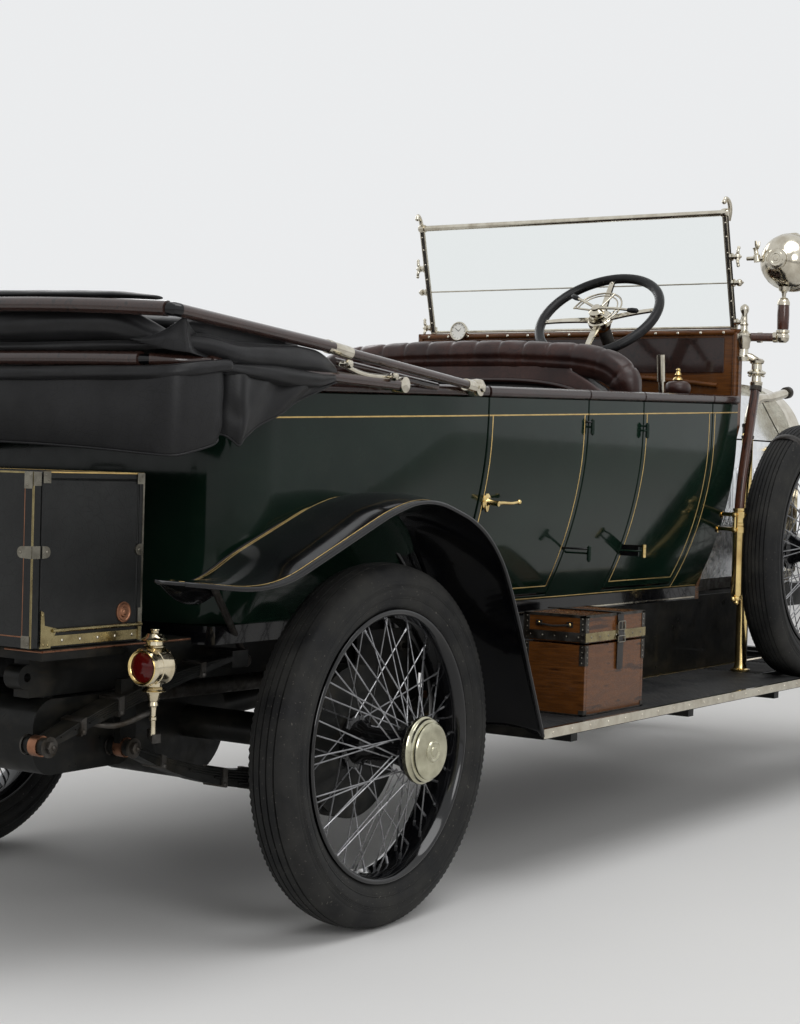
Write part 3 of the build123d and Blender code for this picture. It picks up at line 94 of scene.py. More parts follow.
class Graph:
    """Adds and joins the shader nodes of one material."""

    def __init__(self, name: str) -> None:
        """Starts a material with one principled shader.

        Args:
            name: The material's name.
        """
        self.material = bpy.data.materials.new(name)
        self.material.use_nodes = True
        self.tree = self.material.node_tree
        self.shader = self.tree.nodes["Principled BSDF"]
        coords = self.tree.nodes.new("ShaderNodeTexCoord")
        self.place = coords.outputs["Object"]

    def set(self, **values: object) -> None:
        """Sets sockets of the shader itself, named with underscores for spaces.

        Args:
            values: Socket names and their values.
        """
        for name, value in values.items():
            socket = self.shader.inputs[name.replace("_", " ")]
            socket.default_value = (*value, 1.0) if isinstance(value, tuple) else value

    def node(self, kind: str, **inputs: object) -> bpy.types.Node:
        """Adds a node and fills or joins its inputs.

        Args:
            kind: The node's type, without its ShaderNode prefix.
            inputs: Input names and their values or sockets.

        Returns:
            The new node.
        """
        made = self.tree.nodes.new(f"ShaderNode{kind}")
        for name, value in inputs.items():
            socket = made.inputs[name]
            if isinstance(value, bpy.types.NodeSocket):
                self.tree.links.new(value, socket)
            else:
                socket.default_value = value
        return made

    def join(self, output: bpy.types.NodeSocket, name: str) -> None:
        """Joins an output to one of the shader's sockets."""
        self.tree.links.new(output, self.shader.inputs[name])

    def stretched(self, scale: Point) -> bpy.types.NodeSocket:
        """Object coordinates stretched along the axes.

        Args:
            scale: Factor along X, Y and Z.

        Returns:
            The mapped vector socket.
        """
        mapping = self.node("Mapping", Vector=self.place)
        mapping.inputs["Scale"].default_value = scale
        return mapping.outputs["Vector"]

    def noise(self, scale: float, detail: float = 4.0, stretch: Point = (1, 1, 1)) -> bpy.types.NodeSocket:
        """Soft random pattern.

        Args:
            scale: Repeats per metre.
            detail: Octaves.
            stretch: Factor along each axis before the pattern.

        Returns:
            The pattern's factor socket.
        """
        place = self.stretched(stretch)
        made = self.node("TexNoise", Vector=place, Scale=scale, Detail=detail, Roughness=0.55)
        return made.outputs["Fac"]

    def cells(self, scale: float, edges: bool = False, stretch: Point = (1, 1, 1)) -> bpy.types.NodeSocket:
        """Cell pattern, as of leather grain.

        Args:
            scale: Cells per metre.
            edges: Whether to measure from the cells' edges.
            stretch: Factor along each axis before the pattern.

        Returns:
            The pattern's distance socket.
        """
        made = self.node("TexVoronoi", Vector=self.stretched(stretch), Scale=scale)
        made.feature = "DISTANCE_TO_EDGE" if edges else "F1"
        return made.outputs["Distance"]

    def ramp(self, factor: bpy.types.NodeSocket, *stops: tuple[float, Colour]) -> bpy.types.NodeSocket:
        """Colour by factor.

        Args:
            factor: The driving socket.
            stops: Places from 0 to 1 with their colours.

        Returns:
            The colour socket.
        """
        made = self.node("ValToRGB", Fac=factor)
        elements = made.color_ramp.elements
        while len(elements) < len(stops):
            elements.new(0.5)
        for element, (place, colour) in zip(elements, stops):
            element.position = place
            element.color = (*colour, 1.0)
        return made.outputs["Color"]

    def spread(self, factor: bpy.types.NodeSocket, low: float, high: float) -> bpy.types.NodeSocket:
        """A factor of 0.3 to 0.7 turned into a value from low to high.

        Args:
            factor: The driving socket.
            low: Value at a factor of 0.3.
            high: Value at a factor of 0.7.

        Returns:
            The value's socket.
        """
        made = self.node("MapRange", Value=factor)
        for name, value in (("From Min", 0.3), ("From Max", 0.7), ("To Min", low), ("To Max", high)):
            made.inputs[name].default_value = value
        return made.outputs["Result"]

    def blend(self, factor: bpy.types.NodeSocket, one: object, two: object) -> bpy.types.NodeSocket:
        """Two colours mixed by a factor.

        Args:
            factor: The mixing socket.
            one: First colour or socket.
            two: Second colour or socket.

        Returns:
            The colour socket.
        """
        made = self.tree.nodes.new("ShaderNodeMix")
        made.data_type = "RGBA"
        self.tree.links.new(factor, made.inputs[0])
        for socket, value in ((made.inputs[6], one), (made.inputs[7], two)):
            if isinstance(value, bpy.types.NodeSocket):
                self.tree.links.new(value, socket)
            else:
                socket.default_value = (*value, 1.0)
        return made.outputs[2]

    def relief(self, *layers: tuple[bpy.types.NodeSocket, float, float]) -> None:
        """Joins bump layers to the shader's normal.

        Args:
            layers: Height socket, strength and depth in metres of each layer.
        """
        normal = None
        for height, strength, depth in layers:
            bump = self.node("Bump", Height=height, Strength=strength, Distance=depth)
            if normal is not None:
                self.tree.links.new(normal, bump.inputs["Normal"])
            normal = bump.outputs["Normal"]
        self.join(normal, "Normal")


@dataclass(frozen=True)
class Finish:
    """A surface finish, with the record's slot that it belongs to."""

    name: str
    slot: str

    def draw(self, graph: Graph) -> None:
        """Fills the material's nodes."""
        raise NotImplementedError

    def material(self) -> bpy.types.Material:
        """The finish's material, made once.

        Returns:
            The material.
        """
        name = self.name + "_finish"
        found = bpy.data.materials.get(name)
        if found is None:
            graph = Graph(name)
            self.draw(graph)
            found = graph.material
        return found


@dataclass(frozen=True)
class Paint(Finish):
    """Coach paint under varnish, with faint dust."""

    colour: Colour = (0.006, 0.012, 0.010)
    gloss: float = 0.16
    dust: float = 0.0
    coat: float = 1.0
    shine: float = 0.3

    def draw(self, graph: Graph) -> None:
        """Fills the material's nodes.

        Args:
            graph: The material's graph.
        """
        graph.set(Coat_Weight=self.coat, Coat_Roughness=0.04, IOR=1.4, Specular_IOR_Level=self.shine)
        cloudy = graph.noise(3.5, 5.0)
        lighter = tuple(c * 1.5 + 0.0015 for c in self.colour)
        base = graph.ramp(cloudy, (0.35, self.colour), (0.7, lighter))
        if self.dust:
            film = graph.noise(11.0, 8.0, (1.0, 1.0, 1.6))
            patch = graph.ramp(film, (0.48, (0.0, 0.0, 0.0)), (0.78, (self.dust,) * 3))
            base = graph.blend(patch, base, (0.17, 0.145, 0.105))
        graph.join(base, "Base Color")
        graph.join(graph.spread(graph.noise(24.0, 6.0), self.gloss * 0.75, self.gloss * 1.5), "Roughness")
        graph.relief((graph.noise(9.0, 2.0), 0.05, 0.002), (graph.noise(420.0, 2.0), 0.035, 0.0004))


@dataclass(frozen=True)
class Metal(Finish):
    """Plated, polished or cast metal, with handling marks."""

    colour: Colour = (0.72, 0.69, 0.62)
    tarnish: Colour = (0.42, 0.36, 0.27)
    rough: float = 0.16
    wear: float = 0.35

    def draw(self, graph: Graph) -> None:
        """Fills the material's nodes.

        Args:
            graph: The material's graph.
        """
        graph.set(Metallic=1.0)
        cloudy = graph.noise(26.0, 7.0)
        top = 0.62 + (1.0 - self.wear) * 0.3
        base = graph.ramp(cloudy, (0.38, self.colour), (top, self.tarnish))
        graph.join(base, "Base Color")
        graph.join(graph.spread(graph.noise(60.0, 7.0), self.rough * 0.7, self.rough * 1.6), "Roughness")
        graph.relief((graph.noise(900.0, 2.0, (1, 1, 0.12)), 0.05, 0.0003), (cloudy, 0.05, 0.0012))


@dataclass(frozen=True)
class Wood(Finish):
    """Varnished wood with grain along one axis."""

    dark: Colour = (0.05, 0.012, 0.006)
    light: Colour = (0.20, 0.062, 0.022)
    grain: Point = (1.0, 22.0, 22.0)
    rough: float = 0.24
    coat: float = 0.7

    def draw(self, graph: Graph) -> None:
        """Fills the material's nodes.

        Args:
            graph: The material's graph.
        """
        graph.set(Coat_Weight=self.coat, Coat_Roughness=0.08, Specular_IOR_Level=0.25)
        figure = graph.noise(2.6, 6.0, self.grain)
        pores = graph.noise(30.0, 3.0, tuple(g * 1.6 if g > 1 else 0.5 for g in self.grain))
        between = tuple((a + b) / 2 for a, b in zip(self.dark, self.light))
        base = graph.ramp(
            figure, (0.34, self.dark), (0.46, self.light), (0.54, between), (0.62, self.light),
            (0.70, self.dark),
        )
        shade = graph.ramp(pores, (0.40, (0.72, 0.70, 0.68)), (0.54, (1.0, 1.0, 1.0)))
        graph.join(graph.blend(shade, tuple(c * 0.4 for c in self.dark), base), "Base Color")
        graph.join(graph.spread(pores, self.rough * 1.35, self.rough * 0.8), "Roughness")
        graph.relief((pores, 0.12, 0.0006), (figure, 0.06, 0.001))


@dataclass(frozen=True)
class Hide(Finish):
    """Leather or leather-cloth: cell grain, creases darkened with painted shade, and a rubbed sheen."""

    colour: Colour = (0.0205, 0.0070, 0.0055)
    rubbed: Colour = (0.062, 0.0235, 0.0170)
    rough: float = 0.34
    grain: float = 420.0
    depth: float = 0.0005
    sheen: float = 0.04
    coat: float = 0.05

    def draw(self, graph: Graph) -> None:
        """Fills the material's nodes.

        Args:
            graph: The material's graph.
        """
        graph.set(Sheen_Weight=self.sheen, Sheen_Roughness=0.5, Coat_Weight=self.coat, Coat_Roughness=0.3)
        graph.set(Specular_IOR_Level=0.25)
        wear = graph.noise(7.0, 6.0)
        base = graph.ramp(wear, (0.36, self.colour), (0.72, self.rubbed))
        creases = graph.cells(38.0, True, (1.0, 1.0, 1.5))
        # The crease lines blend the colour toward a darker one: painted shade in the creases.
        lines = graph.ramp(creases, (0.0, (0.25, 0.25, 0.25)), (0.05, (1.0, 1.0, 1.0)))
        deep = tuple(c * 0.45 for c in self.colour)
        graph.join(graph.blend(lines, deep, base), "Base Color")
        graph.join(graph.spread(wear, self.rough * 1.2, self.rough * 0.8), "Roughness")
        graph.relief(
            (graph.cells(self.grain), 0.32, self.depth),
            (lines, 0.12, 0.0012),
            (graph.noise(16.0, 5.0), 0.18, 0.004),
        )


@dataclass(frozen=True)
class Rubber(Finish):
    """Rubber with road dust in it."""

    colour: Colour = (0.0085, 0.0087, 0.0092)
    dusty: Colour = (0.036, 0.0355, 0.033)
    rough: float = 0.66

    def draw(self, graph: Graph) -> None:
        """Fills the material's nodes.

        Args:
            graph: The material's graph.
        """
        graph.set(Specular_IOR_Level=0.22)
        film = graph.noise(9.0, 9.0)
        specks = graph.noise(160.0, 3.0)
        base = graph.ramp(film, (0.38, self.colour), (0.74, self.dusty))
        spots = graph.ramp(specks, (0.66, (0.0, 0.0, 0.0)), (0.74, (0.55, 0.55, 0.55)))
        graph.join(graph.blend(spots, base, (0.20, 0.185, 0.16)), "Base Color")
        graph.join(graph.spread(film, self.rough * 0.85, min(self.rough * 1.3, 1.0)), "Roughness")
        graph.relief((specks, 0.22, 0.0006), (graph.noise(40.0, 5.0), 0.14, 0.0012))


@dataclass(frozen=True)
class Glass(Finish):
    """Clear or coloured glass with a little dust."""

    colour: Colour = (0.94, 0.965, 0.955)
    clear: float = 1.0
    rough: float = 0.004
    bend: float = 1.03

    def draw(self, graph: Graph) -> None:
        """Fills the material's nodes."""
        graph.set(Base_Color=self.colour, Transmission_Weight=self.clear, IOR=self.bend)
        film = graph.noise(22.0, 8.0)
        graph.join(graph.spread(film, self.rough * 0.5, self.rough * 2.0), "Roughness")


@dataclass(frozen=True)
class Core(Finish):
    """Honeycomb of a radiator core, with painted shade inside its cells."""

    def draw(self, graph: Graph) -> None:
        """Fills the material's nodes.

        Args:
            graph: The material's graph.
        """
        graph.set(Metallic=0.7)
        comb = graph.cells(115.0, True)
        # Warm metal on the cell walls, near black inside each cell: painted shade in the tubes.
        base = graph.ramp(comb, (0.0, (0.30, 0.20, 0.10)), (0.12, (0.012, 0.011, 0.010)))
        graph.join(base, "Base Color")
        graph.join(graph.spread(graph.noise(30.0), 0.4, 0.6), "Roughness")
        graph.relief((comb, 0.9, 0.006))


class Finishes:
    """All finishes of the car by their place on it."""

    body = Paint("body_green_black", "body_paint", (0.0034, 0.0112, 0.0068), 0.10, 0.02, 0.12, 0.24)
    # Black paint; the faint blue in its colour is a painted reflection of the sky.
    fender = Paint("fender_black", "fender_paint", (0.0022, 0.0023, 0.0030), 0.10, 0.03, 0.30, 0.35)
    chassis = Paint("chassis_black", "chassis_paint", (0.0040, 0.0042, 0.0038), 0.36, 0.12, 0.05, 0.2)
    rim = Paint("rim_black", "rim_paint", (0.0020, 0.0021, 0.0028), 0.10, 0.03, 0.4, 0.45)
    line = Metal("gold_line", "polished_brass", (0.74, 0.53, 0.22), (0.50, 0.34, 0.13), 0.34, 0.4)
    brass = Metal("polished_brass", "polished_brass", (0.80, 0.61, 0.27), (0.47, 0.31, 0.12), 0.15)
    nickel = Metal("nickel_plate", "nickel", (0.66, 0.62, 0.52), (0.40, 0.35, 0.27), 0.14)
    spoke = Metal("spoke_nickel", "nickel", (0.30, 0.30, 0.31), (0.10, 0.10, 0.10), 0.30)
    cap = Metal("cap_plate", "nickel", (0.56, 0.54, 0.40), (0.34, 0.32, 0.23), 0.17, 0.5)
    plate = Metal("worn_plate", "nickel", (0.24, 0.225, 0.185), (0.105, 0.095, 0.075), 0.30, 0.6)
    lamp = Metal("lamp_plate", "nickel", (0.70, 0.62, 0.46), (0.42, 0.35, 0.22), 0.13)
    dull_brass = Metal("dull_brass", "polished_brass", (0.36, 0.30, 0.155), (0.19, 0.145, 0.070), 0.22, 0.6)
    black_hide = Hide(
        "black_hide", "brown_leather", (0.0060, 0.0048, 0.0045), (0.0150, 0.0125, 0.0120), 0.40
    )
    bonnet = Metal("bonnet_aluminium", "bonnet_metal", (0.80, 0.81, 0.82), (0.66, 0.67, 0.68), 0.17, 0.2)
    copper = Metal("copper_strip", "polished_brass", (0.30, 0.145, 0.085), (0.15, 0.070, 0.042), 0.32)
    iron = Metal("dark_iron", "dark_iron", (0.085, 0.080, 0.074), (0.045, 0.038, 0.030), 0.5, 0.8)
    engine = Metal("engine_iron", "engine_iron", (0.20, 0.195, 0.185), (0.09, 0.075, 0.06), 0.5, 0.7)
    mahogany = Wood(
        "mahogany", "mahogany", (0.042, 0.0145, 0.0046), (0.150, 0.054, 0.0130), (2.4, 1.3, 17.0), coat=0.14
    )
    rail = Wood("rail_wood", "rail_wood", (0.0070, 0.0030, 0.0025), (0.030, 0.0115, 0.0085), coat=0.6)
    bow = Wood(
        "bow_wood", "bow_wood", (0.0095, 0.0050, 0.0042), (0.046, 0.0215, 0.0165), rough=0.26, coat=0.8
    )
    upright = Wood(
        "upright_wood", "rail_wood", (0.0130, 0.0040, 0.0024), (0.078, 0.0235, 0.0110), (22.0, 22.0, 1.0)
    )
    leather = Hide("brown_leather", "brown_leather", coat=0.30)
    hood = Hide(
        "hood_leathercloth", "hood_cloth", (0.0036, 0.0036, 0.0042), (0.0105, 0.0105, 0.0118), 0.46, 900.0
    )
    trunk = Hide(
        "trunk_leathercloth", "trunk_cloth", (0.0050, 0.0055, 0.0055), (0.0135, 0.0145, 0.0140), 0.40, 700.0
    )
    strap = Hide(
        "strap_leather", "trunk_cloth", (0.0075, 0.0066, 0.0060), (0.022, 0.018, 0.015), 0.45, 600.0
    )
    tyre = Rubber("tyre_rubber", "tyre_rubber")
    grip = Rubber("wheel_rubber", "wheel_rubber", (0.0055, 0.0055, 0.006), (0.014, 0.014, 0.015), 0.30)
    mat = Rubber("board_mat", "board_mat", (0.008, 0.009, 0.010), (0.032, 0.031, 0.030), 0.50)
    glass = Glass("clear_glass", "clear_glass")
    ruby = Glass("ruby_glass", "clear_glass", (0.105, 0.004, 0.0035), 0.25, 0.05, 1.4)
    dial = Paint("dial_enamel", "nickel", (0.72, 0.72, 0.68), 0.3, 0.0, 0.4)
    core = Core("radiator_core", "core_metal")


# Mesh drawing


@dataclass
class Shape:
    """Points and faces of one piece while it is drawn."""

    points: list[Sequence[float]] = field(default_factory=list)
    faces: list[Sequence[int]] = field(default_factory=list)
    marks: list[int] = field(default_factory=list)

    def add(self, points: Iterable[Sequence[float]], faces: Iterable[Sequence[int]], mark: int = 0) -> None:
        """Adds points and the faces on them.

        Args:
            points: New points.
            faces: Faces as indices into the new points.
            mark: Index of the finish.
        """
        start = len(self.points)
        self.points.extend(tuple(p) for p in points)
        for face in faces:
            self.faces.append([start + i for i in face])
            self.marks.append(mark)

    def grid(
        self, rows: Sequence[Sequence[Sequence[float]]], wrap: bool = False, ring: bool = False,
        mark: int = 0, caps: bool = False,
    ) -> None:
        """Skins rows of points.

        Args:
            rows: Equal rows of points.
            wrap: Whether each row closes on itself.
            ring: Whether the last row joins the first.
            mark: Index of the finish.
            caps: Whether the first and last rows are filled.
        """
        many, wide = len(rows), len(rows[0])
        faces = []
        for i in range(many if ring else many - 1):
            for j in range(wide if wrap else wide - 1):
                a, b = i * wide + j, i * wide + (j + 1) % wide
                c, d = ((i + 1) % many) * wide + (j + 1) % wide, ((i + 1) % many) * wide + j
                faces.append((a, b, c, d))
        if caps:
            faces.append(tuple(range(wide)))
            faces.append(tuple(range((many - 1) * wide, many * wide)))
        self.add([p for row in rows for p in row], faces, mark)

    def tube(
        self, path: Sequence[Sequence[float]], radius: object, sides: int = 12, mark: int = 0,
        ring: bool = False, squeeze: float = 1.0,
    ) -> None:
        """A round bar along a path.

        Args:
            path: Points of the centre line.
            radius: One radius or one for each point.
            sides: Points round the bar.
            mark: Index of the finish.
            ring: Whether the path closes on itself.
            squeeze: Height over width of the bar's section.
        """
        line = [Vector(p) for p in path]
        radii = [radius] * len(line) if isinstance(radius, (int, float)) else list(radius)
        rows, side = [], None
        for i, point in enumerate(line):
            before = line[i - 1] if i or ring else point
            after = line[(i + 1) % len(line)] if i < len(line) - 1 or ring else point
            way = (after - before).normalized()
            if side is None:
                side = way.cross(Vector((0, 0, 1)) if abs(way.z) < 0.9 else Vector((1, 0, 0)))
            side = (side - way * side.dot(way)).normalized()
            up = way.cross(side) * squeeze
            row = []
            for k in range(sides):
                angle = math.tau * k / sides
                row.append(point + (side * math.cos(angle) + up * math.sin(angle)) * radii[i])
            rows.append(row)
        self.grid(rows, wrap=True, ring=ring, mark=mark, caps=not ring)

    def lathe(
        self, profile: Sequence[tuple[float, float]], centre: Sequence[float], axis: Sequence[float],
        steps: int = 40, mark: int = 0, ring: bool = False,
    ) -> None:
        """A turned body.

        Args:
            profile: Distance along the axis and radius of each point.
            centre: Point on the axis where distances start.
            axis: Direction of the axis.
            steps: Points round the axis.
            mark: Index of the finish.
            ring: Whether the profile closes on itself.
        """
        way = Vector(axis).normalized()
        side = way.cross(Vector((0, 0, 1)) if abs(way.z) < 0.9 else Vector((1, 0, 0))).normalized()
        up = way.cross(side)
        rows = []
        for k in range(steps):
            angle = math.tau * k / steps
            out = side * math.cos(angle) + up * math.sin(angle)
            rows.append([Vector(centre) + way * t + out * max(r, 1e-5) for t, r in profile])
        self.grid(rows, wrap=ring, ring=True, mark=mark)

    def block(self, low: Sequence[float], high: Sequence[float], mark: int = 0) -> None:
        """A box between two corners."""
        corners = ((low[0], low[1]), (high[0], low[1]), (high[0], high[1]), (low[0], high[1]))
        self.hexa([(x, y, low[2]) for x, y in corners], [(x, y, high[2]) for x, y in corners], mark)

    def hexa(self, base: Sequence[Sequence[float]], top: Sequence[Sequence[float]], mark: int = 0) -> None:
        """A solid between two matching outlines.

        Args:
            base: Outline of the foot.
            top: Outline of the head, with as many points.
            mark: Number of the finish.
        """
        many = len(base)
        faces = [tuple(range(many)), tuple(range(many, 2 * many))]
        faces += [(i, (i + 1) % many, many + (i + 1) % many, many + i) for i in range(many)]
        self.add([*base, *top], faces, mark)

    def band(
        self, path: Sequence[Sequence[float]], across: Callable[[int], Vector], out: Callable[[int], Vector],
        width: float, thick: float, mark: int = 0, ring: bool = False,
    ) -> None:
        """A flat strip along a path.

        Args:
            path: Points of the strip's middle.
            across: Direction across the strip at each point's index.
            out: Direction away from what carries it at each point's index.
            width: The strip's width.
            thick: Its height above the path.
            mark: Index of the finish.
            ring: Whether the path closes on itself.
        """
        rows = []
        for i, p in enumerate(path):
            half, lift = across(i).normalized() * (width / 2), out(i).normalized() * thick
            here = Vector(p)
            rows.append([here - half, here - half * 0.8 + lift, here + half * 0.8 + lift, here + half])
        self.grid(rows, wrap=True, ring=ring, mark=mark, caps=not ring)

    def knob(
        self, centre: Sequence[float], radius: float, axis: Sequence[float], tall: float = 1.0, mark: int = 0
    ) -> None:
        """A domed head such as a rivet's, or a ball.

        Args:
            centre: Middle of the head's foot, or of the ball.
            radius: Radius of either.
            axis: Direction in which the head stands.
            tall: Height over radius; a ball from 2 upward.
            mark: Number of the finish.
        """
        ball = tall >= 2
        start = math.pi / 2 if ball else 0
        profile = []
        for k in range(7):
            angle = math.pi / 2 * k / 6 * (2 if ball else 1) - start
            profile.append((radius * math.sin(angle) * min(tall, 1.0), radius * math.cos(angle)))
        self.lathe(profile, centre, axis, 10, mark)


def curve(points: Sequence[Sequence[float]], steps: int = 8, ring: bool = False) -> Path:
    """A smooth line through points.

    Args:
        points: Points that the line passes.
        steps: Pieces between two points.
        ring: Whether the line closes on itself.

    Returns:
        The line's points.
    """
    line = [Vector(p) for p in points]
    many = len(line)
    made = []
    for i in range(many if ring else many - 1):
        if ring:
            a, b, c, d = (line[(i + k) % many] for k in (-1, 0, 1, 2))
        else:
            a, b, c, d = (line[min(max(i + k, 0), many - 1)] for k in (-1, 0, 1, 2))
        for k in range(steps):
            t = k / steps
            made.append(
                0.5 * (
                    (2 * b) + (c - a) * t + (2 * a - 5 * b + 4 * c - d) * t**2
                    + (3 * b - a - 3 * c + d) * t**3
                )
            )
    if not ring:
        made.append(line[-1])
    return made


def bent_line(corners: Sequence[tuple[float, float, float]], steps: int = 10) -> list[tuple[float, float]]:
    """A line with round corners in a plane.

    Args:
        corners: Two coordinates and the radius of each corner.
        steps: Pieces of each arc.

    Returns:
        Points of the line.
    """
    made = [Vector(corners[0][:2])]
    for (ax, az, _), (x, z, radius), (bx, bz, _) in zip(corners, corners[1:], corners[2:]):
        here = Vector((x, z))
        back, ahead = (Vector((ax, az)) - here).normalized(), (Vector((bx, bz)) - here).normalized()
        half = back.angle(ahead) / 2
        centre = here + (back + ahead).normalized() * (radius / math.sin(half))
        start, end = here + back * (radius / math.tan(half)), here + ahead * (radius / math.tan(half))
        one, two = start - centre, end - centre
        turn = math.atan2(one.x * two.y - one.y * two.x, one.dot(two))
        for k in range(steps + 1):
            angle = turn * k / steps
            made.append(centre + Vector((
                one.x * math.cos(angle) - one.y * math.sin(angle),
                one.x * math.sin(angle) + one.y * math.cos(angle),
            )))
    made.append(Vector(corners[-1][:2]))
    return [(p.x, p.y) for p in made]


def resampled(line: Sequence[tuple[float, float]], step: float) -> list[tuple[float, float]]:
    """The same plane line with evenly spaced points.

    Args:
        line: Points of the line.
        step: Distance between two points.

    Returns:
        The new points.
    """
    points = np.array(line)
    lengths = np.concatenate([[0.0], np.cumsum(np.linalg.norm(np.diff(points, axis=0), axis=1))])
    places = np.linspace(0.0, lengths[-1], max(int(lengths[-1] / step), 2) + 1)
    return [
        (float(np.interp(s, lengths, points[:, 0])), float(np.interp(s, lengths, points[:, 1])))
        for s in places
    ]


def wrinkle(place: Sequence[float], scale: float, seed: float = 0.0) -> float:
    """Smooth random height at a place, from about minus one to one."""
    return noise.noise(Vector(place) * scale + Vector((seed, seed * 1.7, -seed)))


class Assembly:
    """A sub-assembly of the car, which makes and reports its pieces."""

    def dress(
        self, name: str, shape: Shape, finishes: Sequence[Finish], body: str = "car",
        stands_for: Sequence[str] = (), bevel: float = 0.0, smooth: float = 38.0, subdivide: int = 0,
        thick: float = 0.0,
    ) -> bpy.types.Object:
        """Makes one piece of the car.

        Args:
            name: The piece's name.
            shape: Its drawn mesh.
            finishes: Its finishes, the first being its main one.
            body: The body that it rides on.
            stands_for: Construction nodes that it replaces.
            bevel: Width of the rounding on sharp edges.
            smooth: Angle in degrees above which an edge stays sharp.
            subdivide: Levels of subdivision.
            thick: Wall added to an open sheet.

        Returns:
            The new object.
        """
        mesh = bpy.data.meshes.new(name)
        mesh.from_pydata([tuple(p) for p in shape.points], [], shape.faces)
        mesh.polygons.foreach_set("material_index", shape.marks)
        work = bmesh.new()
        work.from_mesh(mesh)
        bmesh.ops.recalc_face_normals(work, faces=work.faces)
        work.to_mesh(mesh)
        work.free()
        mesh.shade_smooth()
        mesh.set_sharp_from_angle(angle=math.radians(smooth))
        made = bpy.data.objects.new(name, mesh)
        bpy.context.scene.collection.objects.link(made)
        for finish in finishes:
            mesh.materials.append(finish.material())
        if thick:
            wall = made.modifiers.new("wall", "SOLIDIFY")
            wall.thickness, wall.offset = thick, -1.0
        if bevel:
            self.round_edges(made, bevel).harden_normals = True
        if subdivide:
            finer = made.modifiers.new("finer", "SUBSURF")
            finer.levels = finer.render_levels = subdivide
        return self.fit(made, body, stands_for)

    def fit(
        self, made: bpy.types.Object, body: str, stands_for: Sequence[str]
    ) -> bpy.types.Object:
        """Fixes a finished object to its body and reports it.

        Args:
            made: The object.
            body: The body that it rides on.
            stands_for: Construction nodes that it replaces.

        Returns:
            The same object.
        """
        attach(made, body)
        if stands_for:
            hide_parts(*stands_for)
        LOG.info("%s rides on %s, %d faces", made.name, body, len(made.data.polygons))
        return made

    @staticmethod
    def round_edges(piece: bpy.types.Object, width: float) -> bpy.types.BevelModifier:
        """Rounds a piece's sharp edges.

        Args:
            piece: The piece.
            width: Width of the rounding.

        Returns:
            The modifier.
        """
        rounding = piece.modifiers.new("rounding", "BEVEL")
        rounding.width, rounding.segments = width, 2
        rounding.limit_method, rounding.angle_limit = "ANGLE", math.radians(40)
        return rounding

    def carry(self, node: str, finish: Finish, bevel: float = 0.0) -> None:
        """Gives a construction node its finish.

        Args:
            node: The node's name.
            finish: Its finish.
            bevel: Width of the rounding on its sharp edges.
        """
        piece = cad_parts[node]
        for place in piece.material_slots:
            place.material = finish.material()
        if bevel:
            self.round_edges(piece, bevel)
        LOG.info("%s keeps its construction mesh in %s", node, finish.name)


# Wheels and tyres


@dataclass
class Tyre(Assembly):
    """A tyre with round grooves and worn shoulder blocks."""

    node: str
    body: str
    radius: float = 0.4475
    bead: float = 0.332
    half: float = 0.0675
    ribs: int = 5
    groove: float = 0.0085
    blocks: int = 150
    steps: int = 300

    def profile(self) -> list[tuple[float, float, bool]]:
        """The section from bead to bead: place across, radius, and whether it lies on a block.

        Returns:
            The section's points.
        """
        tread, crown = 0.050, self.radius
        shoulder = crown - 0.030
        side = [
            (0.042, self.bead), (0.051, self.bead + 0.010), (0.060, self.bead + 0.026),
            (0.0600, self.bead + 0.029), (0.0622, self.bead + 0.032), (0.0612, self.bead + 0.034),
            (0.0640, self.bead + 0.038), (self.half, self.bead + 0.054),
        ]
        side += [(0.0668 - 0.0011 * (k % 2), self.bead + 0.0565 + 0.0017 * k) for k in range(7)]
        side += [(0.0665, shoulder - 0.016), (0.0642, shoulder - 0.012), (0.0645, shoulder - 0.006)]
        section = [(y, r, False) for y, r in side]
        section += [
            (0.0595, shoulder + 0.006, True), (0.0555, shoulder + 0.014, True), (tread, crown - 0.010, True)
        ]
        wide = 2 * tread / self.ribs
        for i in range(self.ribs):
            start = tread - 0.002 - i * wide * 0.96
            end = start - wide * 0.74
            for y, deep in (
                (start, 0.0), (start - 0.001, 0.0), (end, 0.0), (end - 0.0008, 1.0),
                (end - wide * 0.20, 1.0),
            ):
                if i == self.ribs - 1 and deep:
                    continue
                x, r = self.arch(y)
                section.append((x, r - deep * self.groove, i == 0 and not deep and y != end))
        mirrored = [(-y, r, b) for y, r, b in reversed(section[:len(side) + 3])]
        return section + mirrored

    def arch(self, across: float) -> tuple[float, float]:
        """A place on the crowned tread."""
        return across, self.radius - 0.0095 * (across / 0.050) ** 2

    def build(self) -> None:
        """Makes the tyre round its construction node."""
        centre = middle_of(self.node)
        section = self.profile()
        rows = []
        for k in range(self.steps):
            angle = math.tau * k / self.steps
            cut = 0.0045 if k % (self.steps // self.blocks) == 0 else 0.0
            row = []
            for y, r, block in section:
                near = r - (cut if block else 0.0)
                wear = 0.0006 * wrinkle((math.cos(angle), math.sin(angle), y * 9), 4.0)
                near += wear if r > self.radius - 0.03 else 0.0
                row.append(
                    (centre.x + near * math.cos(angle), centre.y + y, centre.z + near * math.sin(angle))
                )
            rows.append(row)
        shape = Shape()
        shape.grid(rows, wrap=True, ring=True)
        self.dress(self.node + "_tread", shape, [Finishes.tyre], self.body, [self.node], smooth=32)


